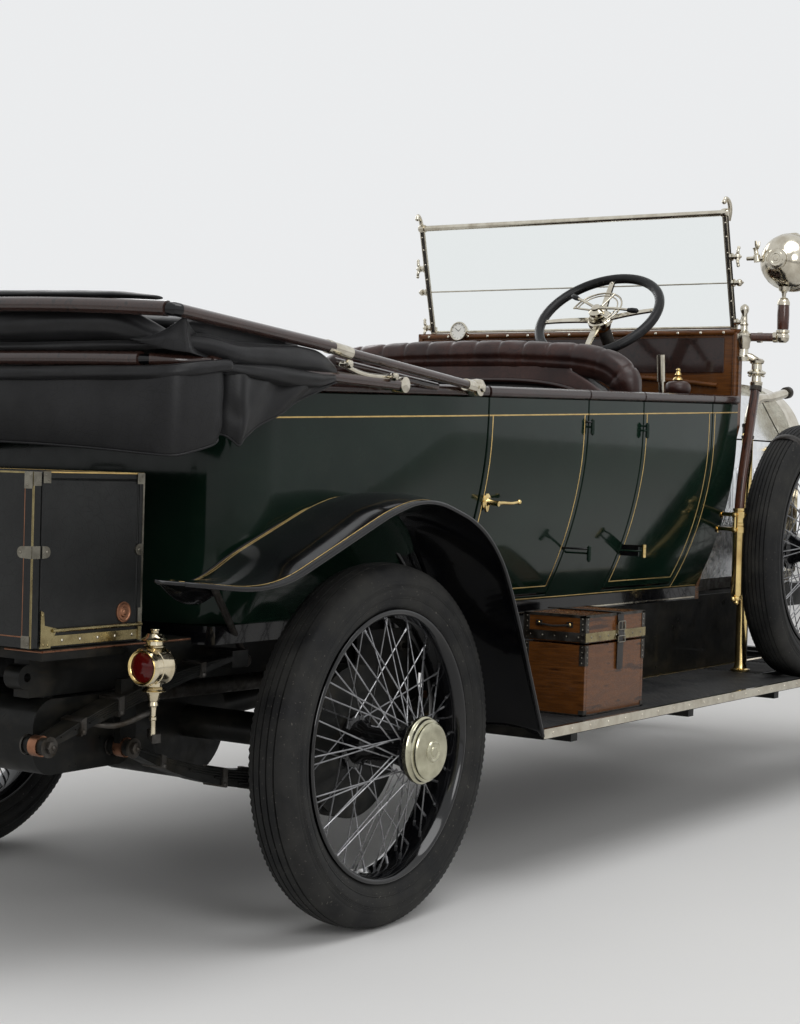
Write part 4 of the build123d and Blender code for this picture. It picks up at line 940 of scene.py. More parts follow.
@dataclass
class WireWheel(Assembly):
    """A wire wheel with its rim, laced spokes, hub and brake drum."""

    node: str
    tyre: str
    body: str
    side: int
    capped: bool = True
    drum: bool = False
    spokes: int = 60
    wire: float = 0.0020
    reach: float = 0.175
    barrel: float = 0.055

    def spot(self, out: float, across: float, angle: float) -> Vector:
        """A place by radius, distance outward from the wheel's middle plane, and angle."""
        centre = middle_of(self.tyre)
        return centre + Vector((out * math.cos(angle), self.side * across, out * math.sin(angle)))

    def build(self) -> None:
        """Makes the rim, spokes, hub and drum."""
        centre = middle_of(self.tyre)
        axis = (0, self.side, 0)
        rim = Shape()
        outer = [
            (-0.056, 0.327), (-0.0558, 0.3335), (-0.053, 0.336), (-0.049, 0.3335), (-0.046, 0.3322),
            (0.046, 0.3322), (0.049, 0.3335), (0.053, 0.336), (0.0558, 0.3335), (0.056, 0.327),
            (0.053, 0.3225), (0.044, 0.319), (0.036, 0.3135), (0.026, 0.3105), (-0.026, 0.3105),
            (-0.036, 0.3135), (-0.044, 0.319), (-0.053, 0.3225),
        ]
        rim.lathe(outer, centre, axis, 120, ring=True)
        self.dress(self.node + "_rim", rim, [Finishes.rim], self.body, [self.node], smooth=50)
        self.build_spokes()
        self.build_hub(centre, axis)

    def build_spokes(self) -> None:
        """Three laced rows of wires with their nipples."""
        shape = Shape()
        third = self.spokes // 3
        rows = (
            # hub place, rim place, lean of the wire, first angle, hub radius
            (0.118, 0.018, 34.0, 0.0, self.barrel + 0.004),
            (0.092, -0.016, 30.0, 6.0, self.barrel + 0.006),
            (-0.052, 0.002, 40.0, 12.0, self.barrel + 0.008),
        )
        for hub_y, rim_y, lean, first, hub_r in rows:
            for i in range(third):
                angle = math.radians(first + 360 / third * i)
                turn = math.radians(lean if i % 2 else -lean)
                start, end = self.spot(hub_r, hub_y, angle + turn), self.spot(0.3115, rim_y, angle)
                shape.tube([start, end], self.wire, 6)
                way = (start - end).normalized()
                shape.tube([end, end + way * 0.018], 0.0036, 6)
        self.dress(self.node + "_spokes", shape, [Finishes.spoke], self.body)

    def build_hub(self, centre: Vector, axis: Point) -> None:
        """Hub barrel with its flanges, then the cap or the bare end, and the drum.

        Args:
            centre: The wheel's middle.
            axis: Direction outward along its axle.
        """
        barrel = Shape()
        flange, b = self.barrel + 0.013, self.barrel
        back = [(-0.070, 0.023), (-0.070, b), (-0.064, b), (-0.062, flange), (-0.052, flange), (-0.048, b)]
        front = [
            (0.084, b - 0.008), (0.108, b), (0.112, flange), (0.124, flange), (0.128, b), (0.131, b - 0.004)
        ]
        barrel.lathe([*back, (-0.02, b - 0.014), (0.06, b - 0.014), *front, (0.131, 0.03)], centre, axis, 48)
        self.dress(self.node + "_hub", barrel, [Finishes.rim], self.body, smooth=35)
        cap = Shape()
        if self.capped:
            r = self.reach
            profile = [
                (0.1305, 0.066), (0.1320, 0.080), (0.1345, 0.0820), (0.1440, 0.0820), (0.1465, 0.0800),
                (0.1480, 0.0775), (0.1500, 0.0765), (0.1560, 0.0755), (0.1585, 0.0720), (0.1590, 0.0695),
                (0.1640, 0.0690), (0.1668, 0.0662), (0.1680, 0.0600), (0.1695, 0.0400), (0.1700, 0.0270),
                (0.1712, 0.0262), (0.1735, 0.0250), (0.1748, 0.0225), (0.1735, 0.0200), (0.1722, 0.0180),
                (0.1722, 0.0120), (0.1738, 0.0110), (r, 0.0085), (r, 0.0),
            ]
            cap.lathe(profile, centre, axis, 64)
            self.dress(self.node + "_cap", cap, [Finishes.cap], self.body, smooth=24)
        else:
            cap.lathe(
                [(0.129, 0.050), (0.1305, 0.048), (0.1308, 0.031), (0.118, 0.029), (0.10, 0.0)], centre,
                axis, 40,
            )
            self.dress(self.node + "_bore", cap, [Finishes.iron], self.body, smooth=30)
        if self.drum:
            drum = Shape()
            ribs = [(-0.0622 - 0.0062 * i - d, 0.190 - 0.0050 * (d in (0.0, 0.0058))) for i in range(9)
                    for d in (0.0, 0.0004, 0.0032, 0.0058)]
            drum.lathe(
                [
                    (-0.0615, 0.052), (-0.0618, 0.120), (-0.0600, 0.150), (-0.0620, 0.185), *ribs,
                    (-0.1235, 0.186), (-0.1235, 0.183), (-0.072, 0.182), (-0.070, 0.05),
                ],
                centre, axis, 96,
            )
            self.dress(self.node + "_drum", drum, [Finishes.chassis], self.body, smooth=30)


def build_wheels() -> None:
    """Four road wheels and the spare."""
    for place, side, drum in (
        ("rear_right", RIGHT, True), ("rear_left", LEFT, True),
        ("front_right", RIGHT, False), ("front_left", LEFT, False),
    ):
        axle, hand = place.split("_")
        body = f"wheel_{axle}_{hand}"
        Tyre(f"tyre_{place}", body).build()
        WireWheel(f"wire_wheel_{place}", f"tyre_{place}", body, side, drum=drum).build()
    Tyre("spare_tyre", "car", groove=0.0075, ribs=7).build()
    WireWheel("spare_wheel", "spare_tyre", "car", RIGHT, capped=False).build()


# Body shell


def steps_of(line: Path) -> Path:
    """The way along a line at each of its points, from the one before to the one after."""
    last = len(line) - 1
    return [line[min(i + 1, last)] - line[max(i - 1, 0)] for i in range(len(line))]


@dataclass
class BodyForm:
    """The tub's outer form, with the same driving sizes as its construction."""

    half: float = 0.660
    bottom_half: float = 0.520
    belt_z: float = 1.300
    bottom_z: float = 0.745
    wall: float = 0.034
    rear: float = -0.420
    rear_half: float = 0.590
    corner: float = 0.150
    taper_end: float = 0.420
    dash: float = 2.1997
    rail_rear_z: float = 1.287
    rail_front_z: float = 1.372
    rail_start: float = -0.720
    rail_tall: float = 0.0303
    soften: float = 0.012

    def section(self, z: float) -> float:
        """Half width of the side at a height.

        Args:
            z: Height.

        Returns:
            Half the width.
        """
        drop, inset = self.belt_z - self.bottom_z, self.half - self.bottom_half
        radius = (drop**2 + inset**2) / (2 * inset)
        below = max(self.belt_z - z, 0.0)
        return self.half - radius + math.sqrt(radius**2 - below**2)

    def plan(self, x: float) -> float:
        """Half width of the plan at a distance from the rear axle, ahead of the rear corner."""
        start = self.rear + self.corner
        share = min(max((x - start) / (self.taper_end - start), 0.0), 1.0)
        return mixed(self.rear_half, self.half + 0.001, share)

    def softer(self, one: float, two: float) -> float:
        """The smaller of two widths, rounded where they cross."""
        gap = max(self.soften - abs(one - two), 0.0) / self.soften
        return min(one, two) - gap * gap * self.soften / 4

    def out(self, x: float, z: float) -> float:
        """Half width of the body at a distance and a height."""
        return self.softer(self.section(z), self.plan(x))

    def top(self, x: float) -> float:
        """Height of the wall's top edge."""
        share = (x - self.rail_start) / (2.2 - self.rail_start)
        return mixed(self.rail_rear_z, self.rail_front_z, share)

    def waist(self, x: float) -> float:
        """Height of the gold line under the rail."""
        return 1.2508 + 0.0424 * x

    def path(self, front: float, z: float, inward: float = 0.0) -> Path:
        """The wall's line round the tail at one height, from the right side to the left.

        Args:
            front: Distance where both sides start.
            z: Height.
            inward: Distance in from the outer face.

        Returns:
            Points of the line.
        """
        start = self.rear + self.corner
        xs = [mixed(front, start, k / 26) for k in range(27)]
        points = [(along(x), -(self.out(x, z) - inward)) for x in xs]
        edge = self.out(start, z)
        turn = min(self.corner, edge) - inward
        centre = (along(start), -(edge - self.corner))
        for k in range(1, 15):
            angle = math.pi / 2 * k / 14
            points.append((centre[0] - turn * math.sin(angle), centre[1] - turn * math.cos(angle)))
        right = points
        left = [(x, -y) for x, y in reversed(right)]
        middle = [(right[-1][0], mixed(right[-1][1], left[0][1], k / 8)) for k in range(1, 8)]
        return [Vector((x, y, z)) for x, y in (*right, *middle, *left)]


BODY = BodyForm()


@dataclass
class Hinge:
    """A door's hinge line and size, as its joint has them."""

    door: str
    hinge: float
    width: float
    side: int
    front_hung: bool
    gap: float = 0.006
    pin_y: float = 0.672

    @property
    def reach(self) -> int:
        """Direction from the hinge to the free edge along X."""
        return -1 if self.front_hung else 1

    def free_edge(self, y: float, grow: float = 0.0) -> float:
        """X of the free edge at a distance from the car's middle."""
        radius = self.width - self.gap + grow
        return self.hinge + self.reach * math.sqrt(radius**2 - (self.pin_y - y) ** 2)

    def hinge_edge(self, grow: float = 0.0) -> float:
        """X of the hinge edge."""
        return self.hinge + self.reach * (self.gap / 2 - grow)


DOORS = (
    Hinge("door_rear_right", 1.142, 0.568, RIGHT, True),
    Hinge("door_rear_left", 1.142, 0.568, LEFT, True),
    Hinge("door_front_right", 1.498, 0.504, RIGHT, False),
    Hinge("door_front_left", 1.498, 0.504, LEFT, False),
)
Edge = Callable[[float], float]


@dataclass
class Wall(Assembly):
    """One panel of a body side, between two edges that may follow a door's swing."""

    name: str
    side: int
    rear_edge: Edge
    front_edge: Edge
    low: float
    body: str = "car"
    high: Optional[float] = None
    columns: int = 24
    rows: int = 30

    def skin(self, inward: float) -> list[list[Point]]:
        """Rows of points of one face of the wall.

        Args:
            inward: Distance in from the outer face.

        Returns:
            The rows, from foot to top.
        """
        rows = []
        for i in range(self.rows + 1):
            row = []
            for j in range(self.columns + 1):
                guess = mixed(self.rear_edge(0.6), self.front_edge(0.6), j / self.columns)
                top = self.high if self.high is not None else BODY.top(guess)
                z = mixed(self.low, top, i / self.rows)
                y = BODY.out(guess, z) - inward
                x = mixed(self.rear_edge(y), self.front_edge(y), j / self.columns)
                y = BODY.out(x, z) - inward
                row.append((along(x), self.side * y, z))
            rows.append(row)
        return rows

    def build(self, stands_for: Sequence[str] = ()) -> None:
        """Makes the wall with its outer and inner faces.

        Args:
            stands_for: Construction nodes that it replaces.
        """
        outer, inner = self.skin(0.0), self.skin(BODY.wall)
        shape = Shape()
        shape.grid(outer)
        shape.grid(inner, mark=1)
        rim = [
            [*outer[0], *[r[-1] for r in outer[1:]], *outer[-1][-2::-1], *[r[0] for r in outer[-2:0:-1]]],
            [*inner[0], *[r[-1] for r in inner[1:]], *inner[-1][-2::-1], *[r[0] for r in inner[-2:0:-1]]],
        ]
        shape.grid(rim, wrap=True)
        self.weld(shape)
        self.dress(self.name, shape, [Finishes.body, Finishes.leather], self.body, stands_for, bevel=0.0022)

    @staticmethod
    def weld(shape: Shape) -> None:
        """Joins points that lie at the same place.

        Args:
            shape: The mesh, changed in place.
        """
        found: dict[tuple[int, int, int], int] = {}
        kept: list[Sequence[float]] = []
        new = []
        for p in shape.points:
            key = tuple(round(c * 1e5) for c in p)
            if key not in found:
                found[key] = len(kept)
                kept.append(p)
            new.append(found[key])
        faces = [[new[i] for i in face] for face in shape.faces]
        shape.points = kept
        good = [(f, m) for f, m in zip(faces, shape.marks) if len(set(f)) == len(f)]
        shape.faces = [f for f, _ in good]
        shape.marks = [m for _, m in good]


def rail_rows(path: Sequence[Vector], inward: Sequence[Vector], sides: int = 16) -> list[list[Vector]]:
    """The rounded section of the top rail at each point of the wall's top edge.

    Args:
        path: Points on the outer face at the wall's top edge.
        inward: Direction into the car at each point.
        sides: Points round the section.

    Returns:
        Rows of points.
    """
    wide, tall = BODY.wall + 0.008, BODY.rail_tall
    rows = []
    for p, way in zip(path, inward):
        middle = p + way * (BODY.wall / 2) + Vector((0, 0, tall / 2 + 0.0002))
        row = []
        for k in range(sides):
            angle = math.tau * (k + 0.5) / sides
            c, s = math.cos(angle), math.sin(angle)
            bulge = (abs(c) ** 4 + abs(s) ** 4) ** -0.25
            row.append(middle + way * (c * bulge * wide / 2) + Vector((0, 0, s * bulge * tall / 2)))
        rows.append(row)
    return rows


@dataclass
class Tub(Assembly):
    """Fixed walls, doors, top rails and gold lines."""

    line_wide: float = 0.0040
    line_out: float = 0.0005
    line_in: float = 0.020
    hinge_heights: tuple[float, float] = (0.888, 1.262)

    def build(self) -> None:
        """Makes the whole tub."""
        self.build_tail()
        self.build_sides()
        for door in DOORS:
            self.build_door(door)
        self.carry("body_floor", Finishes.fender)
        self.build_floor_mats()
        self.carry("aprons", Finishes.chassis, 0.0015)
        self.build_apron_plates()
        self.carry("board_brackets", Finishes.chassis, 0.002)

    def build_apron_plates(self) -> None:
        """A flat plate on each side that leads the apron forward."""
        for side, hand in SIDES:
            plate = Shape()
            ys = sorted((side * 0.4275, side * 0.4305))
            plate.block((along(2.2440), ys[0], 0.4305), (along(2.860), ys[1], 0.6990))
            self.dress(f"apron_front_{hand}", plate, [Finishes.chassis], "car", bevel=0.0008)

    def build_floor_mats(self) -> None:
        """Ribbed mats over the floor of both cabins."""
        shape = Shape()
        for back, ahead in ((0.290, 1.440), (1.560, 2.170)):
            ribs = int((ahead - back) / 0.016)
            for k in range(ribs):
                start = along(mixed(back, ahead, k / ribs))
                shape.block((start, -0.470, 0.7440), (start + 0.011, 0.470, 0.7500))
            shape.block((along(back), -0.475, 0.7440), (along(ahead), 0.475, 0.7478))
        self.dress("floor_mats", shape, [Finishes.mat], "car")

    def build_tail(self) -> None:
        """The wall behind the rear doors, round the tail."""
        door = DOORS[0]
        levels = 30
        outer, inner = [], []
        for i in range(levels + 1):
            share = i / levels
            for rows, inward in ((outer, 0.0), (inner, BODY.wall)):
                out = BODY.out(0.58, mixed(BODY.bottom_z, 1.3, share)) - inward
                front = door.free_edge(out, door.gap)
                waist = BODY.path(front, 1.0, inward)
                level = BODY.path(front, mixed(BODY.bottom_z, 1.31, share), inward)
                rows.append([
                    (p.x, p.y, mixed(BODY.bottom_z, BODY.top(q.x - REAR_AXLE_X), share))
                    for p, q in zip(level, waist)
                ])
        shape = Shape()
        shape.grid(outer)
        shape.grid(inner, mark=1)
        shape.grid([outer[0], inner[0]])
        shape.grid([outer[-1], inner[-1]])
        for end in (0, -1):
            shape.grid([[r[end] for r in outer], [r[end] for r in inner]])
        Wall.weld(shape)
        self.dress("tail_wall", shape, [Finishes.body, Finishes.leather], "car", ["rear_body"], bevel=0.0022)

    def edges(self, side: int) -> tuple[Hinge, Hinge]:
        """The rear and front doors of one side."""
        mine = [d for d in DOORS if d.side == side]
        return mine[0], mine[1]

    def build_sides(self) -> None:
        """Posts and sills between and under the doors, and the fixed top rails."""
        for side, hand in SIDES:
            rear, front = self.edges(side)
            post = Wall(
                f"door_post_{hand}", side, lambda y, d=rear: d.hinge_edge(d.gap),
                lambda y, d=front: d.hinge_edge(d.gap), BODY.bottom_z, columns=14,
            )
            post.build(["side_panels"] if side == RIGHT else [])
            Wall(
                f"cowl_side_{hand}", side, lambda y, d=front: d.free_edge(y, d.gap),
                lambda y: BODY.dash, BODY.bottom_z, columns=10,
            ).build()
            Wall(
                f"rear_sill_{hand}", side, lambda y, d=rear: d.free_edge(y, d.gap),
                lambda y, d=rear: d.hinge_edge(d.gap), BODY.bottom_z, high=0.759, rows=2,
            ).build()
            Wall(
                f"front_sill_{hand}", side, lambda y, d=front: d.hinge_edge(d.gap),
                lambda y, d=front: d.free_edge(y, d.gap), BODY.bottom_z, high=0.759, rows=2,
            ).build()
            self.build_hinges(side, hand, rear, front)
            self.build_sill_lines(side, hand, front)
            for name, start, end in (
                (f"post_rail_{hand}", rear.hinge_edge(rear.gap), front.hinge_edge(front.gap)),
                (f"cowl_rail_{hand}", front.free_edge(0.66, front.gap), BODY.dash),
            ):
                stands = ["top_rails"] if name == "post_rail_right" else []
                self.side_rail(name, side, start, end, "car", stands)
        self.tail_rail()
        self.tail_lines()

    def side_rail(
        self, name: str, side: int, start: float, end: float, body: str, stands_for: Sequence[str] = ()
    ) -> None:
        """A straight length of wooden top rail.

        Args:
            name: The piece's name.
            side: Side of the car, -1 for the right and 1 for the left.
            start: Distance where it starts.
            end: Distance where it ends.
            body: The body that it rides on.
            stands_for: Construction nodes that it replaces.
        """
        many = 12
        path, ways = [], []
        for k in range(many + 1):
            x = mixed(start, end, k / many)
            path.append(Vector((along(x), side * BODY.plan(x), BODY.top(x))))
            ways.append(Vector((0, -side, 0)))
        path = [Vector((p.x, side * min(abs(p.y), BODY.half), p.z)) for p in path]
        shape = Shape()
        shape.grid(rail_rows(path, ways), wrap=True, caps=True)
        self.dress(name, shape, [Finishes.rail], body, stands_for, bevel=0.0015, smooth=60)

    def tail_rail(self) -> None:
        """The wooden top rail round the tail."""
        front = DOORS[0].free_edge(0.66, DOORS[0].gap)
        outer = BODY.path(front, 1.31)
        inner = BODY.path(front, 1.31, 0.02)
        path = [Vector((p.x, p.y, BODY.top(p.x - REAR_AXLE_X))) for p in outer]
        ways = [((b - a) * Vector((1, 1, 0))).normalized() for a, b in zip(outer, inner)]
        shape = Shape()
        shape.grid(rail_rows(path, ways), wrap=True, caps=True)
        self.dress("tail_rail", shape, [Finishes.rail], "car", bevel=0.0015, smooth=60)

    def gold(self, name: str, lines: Sequence[Sequence[tuple[float, float]]], side: int, body: str) -> None:
        """Painted gold lines on one side.

        Args:
            name: The piece's name.
            lines: Lines as distance and height of their points.
            side: Side of the car.
            body: Body that they ride on.
        """
        shape = Shape()
        for line in lines:
            path, outs = [], []
            for x, z in line:
                slope = (BODY.out(x, z + 0.005) - BODY.out(x, z - 0.005)) / 0.01
                path.append(Vector((along(x), side * (BODY.out(x, z) + 0.0001), z)))
                outs.append(Vector((0, side, -side * side * slope)))
            ways = steps_of(path)
            shape.band(
                path, lambda i: ways[i].cross(outs[i]), lambda i: outs[i], self.line_wide, self.line_out
            )
        self.dress(name, shape, [Finishes.line], body, smooth=80)

    def build_sill_lines(self, side: int, hand: str, front: Hinge) -> None:
        """Gold lines on the fixed panels.

        Args:
            side: Side of the car, -1 for the right and 1 for the left.
            hand: The side's name.
            front: The side's front door.
        """
        low = BODY.bottom_z + 0.004
        reach = front.free_edge(0.6, front.gap)
        post = (DOORS[0].hinge_edge(DOORS[0].gap), front.hinge_edge(front.gap))
        waists = [
            [(mixed(a, b, k / 12), BODY.waist(mixed(a, b, k / 12))) for k in range(13)]
            for a, b in (post, (front.free_edge(0.65, front.gap), 2.196))
        ]
        sill = [(mixed(0.60, 2.19, k / 30), low) for k in range(31)]
        upright = [(reach + 0.016, mixed(low, BODY.waist(2.0), k / 20)) for k in range(21)]
        upright = [(front.free_edge(BODY.out(x, z), front.gap) + 0.016, z) for x, z in upright]
        self.gold(f"cowl_lines_{hand}", [*waists, sill, upright], side, "car")
        edge = Shape()
        foot = [Vector((along(x), side * (BODY.bottom_half + 0.0003), 0.7085)) for x in (0.60, 1.40, 2.19)]
        edge.band(foot, lambda i: Vector((0, 0, 1)), lambda i: Vector((0, side, 0)), 0.0055, 0.0012)
        self.dress(f"sill_edge_{hand}", edge, [Finishes.nickel], "car")

    def tail_lines(self) -> None:
        """The gold line round the tail."""
        front = DOORS[0].free_edge(0.65, DOORS[0].gap)
        shape = Shape()
        path = BODY.path(front, 1.24)
        inner = BODY.path(front, 1.24, 0.02)
        outs = [(a - b).normalized() for a, b in zip(path, inner)]
        line = [Vector((p.x, p.y, BODY.waist(p.x - REAR_AXLE_X))) + o * 0.0002 for p, o in zip(path, outs)]
        shape.band(line, lambda i: Vector((0, 0, 1)), lambda i: outs[i], self.line_wide, self.line_out)
        self.dress("tail_line", shape, [Finishes.line], "car", smooth=80)

    def build_hinges(self, side: int, hand: str, rear: Hinge, front: Hinge) -> None:
        """The posts' hinge knuckles and pins.

        Args:
            side: Side of the car, -1 for the right and 1 for the left.
            hand: The side's name.
            rear: The side's rear door.
            front: The side's front door.
        """
        shape = Shape()
        for door in (rear, front):
            x = along(door.hinge)
            for z in self.hinge_heights:
                y = side * door.pin_y
                foot = side * (BODY.section(z) - 0.004)
                for end in (z - 0.0205, z + 0.0205):
                    shape.knob((x, y, end), 0.0045, (0, 0, 1 if end > z else -1))
                shape.tube([(x, y, z - 0.021), (x, y, z + 0.021)], 0.004, 12)
                brass = 1 if door is front and z < 1.0 else 0
                shape.tube([(x, y, z - 0.0085), (x, y, z + 0.0085)], 0.0070 if brass else 0.0066, 16, brass)
                back = x - door.reach * 0.016
                shape.tube([(back, foot, z), (back, mixed(foot, y, 0.75), z), (x, y, z)], 0.0030, 10)
        self.dress(f"post_hinges_{hand}", shape, [Finishes.body, Finishes.brass], "car", bevel=0.001)

    def build_door(self, door: Hinge) -> None:
        """One door with its rail, lines, handle and hinge arms.

        Args:
            door: The door.
        """
        edges = sorted((door.hinge_edge(), door.free_edge(0.6)))
        hinge_first = edges[0] == door.hinge_edge()
        rear_edge: Edge = (lambda y: door.hinge_edge()) if hinge_first else door.free_edge
        front_edge: Edge = door.free_edge if hinge_first else (lambda y: door.hinge_edge())
        Wall(door.door + "_panel", door.side, rear_edge, front_edge, 0.7652, door.door).build([door.door])
        start, end = sorted((door.hinge_edge(), door.free_edge(0.655)))
        self.side_rail(door.door + "_rail", door.side, start, end, door.door)
        inset = self.line_in
        waist = [(mixed(start, end, k / 20), BODY.waist(mixed(start, end, k / 20))) for k in range(21)]
        hinge_line = [
            (
                door.hinge_edge() + door.reach * inset, mixed(0.785, BODY.waist(door.hinge), k / 24)
            ) for k in range(25)
        ]
        free_line = []
        for k in range(25):
            z = mixed(0.785, BODY.waist(door.hinge + door.reach * door.width), k / 24)
            free_line.append((door.free_edge(BODY.section(z)) - door.reach * inset, z))
        foot = [(mixed(hinge_line[0][0], free_line[0][0], k / 20), 0.785) for k in range(21)]
        self.gold(door.door + "_lines", [waist, hinge_line, free_line, foot], door.side, door.door)
        if door.front_hung or door.side == LEFT:
            self.build_handle(door)
        self.build_hinge_arms(door)

    def build_handle(self, door: Hinge) -> None:
        """Brass lever handle on its rose.

        Args:
            door: The door.
        """
        side, z = door.side, 1.041
        x = along(door.hinge + door.reach * (door.width - 0.045))
        y = side * BODY.section(z)
        shape = Shape()
        lean = Vector((0, side, -0.12))
        rose = [
            (0.0, 0.0215), (0.0025, 0.0210), (0.0040, 0.0150), (0.0060, 0.0120), (0.0100, 0.0085),
            (0.034, 0.0070),
        ]
        plate = []
        for t in (0.0, 0.0045):
            plate.append([
                (x + 0.0125 * math.cos(a) * (1 - t * 30), y + side * t + side * 0.0002,
                 z + 0.030 * math.sin(a) * (1 - t * 12))
                for a in (math.tau * k / 20 for k in range(20))
            ])
        shape.grid(plate, wrap=True, caps=True)
        shape.lathe([*rose, (0.042, 0.0075), (0.0435, 0.0)], (x, y, z), lean, 20)
        back = -door.reach
        start = Vector((x, y + side * 0.036, z - 0.004))
        lever = curve([
            start, start + Vector((back * 0.030, 0, 0.0015)),
            start + Vector((back * 0.075, side * 0.001, 0.0005)),
            start + Vector((back * 0.114, side * 0.001, 0.004)),
        ], 6)
        many = len(lever)
        radii = [mixed(0.0062, 0.0044, min(i / many * 1.6, 1.0)) for i in range(many)]
        shape.tube(lever, radii, 12)
        shape.knob(lever[-1], 0.0078, (1, 0, 0), 2.0)
        self.dress(door.door + "_handle", shape, [Finishes.brass], door.door, smooth=50)

    def build_hinge_arms(self, door: Hinge) -> None:
        """The door's own hinge arms and barrels.

        Args:
            door: The door.
        """
        side = door.side
        arms, barrels = Shape(), Shape()
        for hz in self.hinge_heights:
            pin_y, px = side * door.pin_y, along(door.hinge)
            foot = side * (BODY.section(hz) - 0.004)
            brass = not door.front_hung and hz < 1.0
            for low, high in ((-0.020, -0.009), (0.009, 0.020)):
                barrels.tube(
                    [(px, pin_y, hz + low), (px, pin_y, hz + high)], 0.0070 if brass else 0.0066, 16,
                    int(brass),
                )
            reach = px + door.reach * 0.016
            if brass:
                ring = (
                    (reach - 0.002, foot), (reach + 0.002, foot), (reach + 0.002, mixed(foot, pin_y, 0.72)),
                    (reach - 0.002, mixed(foot, pin_y, 0.72)),
                )
                arms.hexa([(a, b, hz - 0.018) for a, b in ring], [(a, b, hz + 0.016) for a, b in ring])
            arms.tube(
                [
                    (reach, foot, hz + 0.014), (reach, mixed(foot, pin_y, 0.75), hz + 0.014),
                    (px, pin_y, hz + 0.014),
                ],
                0.0030, 10,
            )
        self.dress(door.door + "_hinge_arms", arms, [Finishes.fender], door.door, smooth=50)
        finishes = [Finishes.body, Finishes.brass]
        self.dress(door.door + "_hinge_barrels", barrels, finishes, door.door, smooth=50)


# Fenders and running boards


@dataclass
class Fender(Assembly):
    """A crowned sheet bent along a line, with a rolled outer edge and gold lines."""

    name: str
    side: int
    corners: Sequence[tuple[float, float, float]]
    inner: float
    outer: float = 0.860
    crown: float = 0.020
    sheet: float = 0.0025
    bead: float = 0.0055
    valance: float = 0.060
    tapered: bool = True
    tip: float = -0.885
    across: int = 18

    def inner_at(self, x: float) -> float:
        """Distance of the inner edge from the car's middle."""
        if not self.tapered or x > -0.42:
            return self.inner
        return self.inner + 0.172 * ((-0.42 - x) / 0.465) ** 1.7

    def outer_at(self, x: float) -> float:
        """Distance of the outer edge from the car's middle.

        Args:
            x: Distance ahead of the rear axle.

        Returns:
            The distance.
        """
        if self.tapered and x < -0.52:
            return self.outer - 0.092 * ((-0.52 - x) / 0.365) ** 2.6
        if not self.tapered and x > 3.96:
            return self.outer - 0.120 * ((x - 3.96) / 0.20) ** 2.4
        return self.outer

    def stations(self) -> tuple[list[tuple[float, float]], list[Vector]]:
        """The bent line of the sheet's top and the directions out of it.

        Returns:
            The line's points and their directions.
        """
        line = [p for p in resampled(bent_line(self.corners), 0.020) if not self.tapered or p[0] >= self.tip]
        ups = []
        for i in range(len(line)):
            ahead, back = line[min(i + 1, len(line) - 1)], line[max(i - 1, 0)]
            way = Vector((ahead[0] - back[0], 0, ahead[1] - back[1])).normalized()
            ups.append(Vector((-way.z, 0, way.x)))
        return line, ups

    def place(self, x: float, z: float, up: Vector, share: float, lift: float = 0.0) -> Vector:
        """A point of the crowned sheet.

        Args:
            x: Distance along the car.
            z: Height of the sheet's line.
            up: Direction out of the sheet.
            share: Place from the inner edge at 0 to the outer at 1.
            lift: Height over the sheet.

        Returns:
            The point.
        """
        inner, outer = self.inner_at(x), self.outer_at(x) - self.bead
        wide = min((outer - inner) / 0.26, 1.0)
        hump = self.crown * (1 - (2 * share - 1) ** 2) * wide
        return Vector((along(x), self.side * mixed(inner, outer, share), z)) + up * (hump - self.bead + lift)

    def build(self, stands_for: Sequence[str] = ()) -> None:
        """Makes the sheet, its rolled edge, valance and lines.

        Args:
            stands_for: Construction nodes that it replaces.
        """
        line, ups = self.stations()
        rows = [
            [self.place(x, z, up, j / self.across) for j in range(self.across + 1)]
            for (x, z), up in zip(line, ups)
        ]
        shape = Shape()
        shape.grid(rows)
        self.dress(self.name + "_sheet", shape, [Finishes.fender], "car", stands_for, thick=self.sheet)
        edge = [r[-1] - up * 0.001 for r, up in zip(rows, ups)]
        inner_edge = [r[0] for r in rows]
        rim = Shape()
        if self.tapered:
            round_tip = curve(
                [
                    inner_edge[2], inner_edge[0] + Vector((-0.006, 0, 0.0005)),
                    edge[0] + Vector((-0.004, 0, 0)), edge[2],
                ],
                6,
            )
            rim.tube(
                [*reversed(inner_edge[2:]), *round_tip, *edge[2:]],
                [0.0035] * (len(inner_edge) - 2) + [0.0042] * len(round_tip) + [self.bead] * (len(edge) - 2),
                10,
            )
        else:
            rim.tube(edge, self.bead, 10)
            rim.tube(inner_edge, 0.0035, 8)
        self.dress(self.name + "_rolled_edge", rim, [Finishes.fender], "car")
        flange = Shape()
        deep = [self.valance] * len(line)
        if self.tapered:
            deep = [self.valance * min(max((x - self.tip) / 0.30, 0.12), 1.0) for x, _ in line]
        flange.grid([
            [r[0], r[0] - n * d * 0.5 + Vector((0, -self.side * 0.004, 0)), r[0] - n * d]
            for r, n, d in zip(rows, ups, deep)
        ])
        self.dress(self.name + "_valance", flange, [Finishes.fender], "car", thick=0.002)
        self.build_lines(line, ups)

    def build_lines(self, line: Sequence[tuple[float, float]], ups: Sequence[Vector]) -> None:
        """One gold line by the outer edge and a double one by the inner.

        Args:
            line: Points of the line.
            ups: Directions out of the sheet at these points.
        """
        lines = Shape()
        for away, width in ((-0.016, 0.0028), (0.010, 0.0022), (0.024, 0.0022)):
            path, out = [], []
            for (x, z), up in list(zip(line, ups))[2:-2]:
                inner, outer = self.inner_at(x), self.outer_at(x) - self.bead
                share = away / (outer - inner) if away > 0 else 1 + away / (outer - inner)
                path.append(self.place(x, z, up, min(max(share, 0.04), 0.96), 0.0003))
                out.append(up)
            ways = steps_of(path)
            lines.band(path, lambda i: ways[i].cross(out[i]), lambda i: out[i], width, 0.0004)
        self.dress(self.name + "_lines", lines, [Finishes.line], "car", smooth=80)


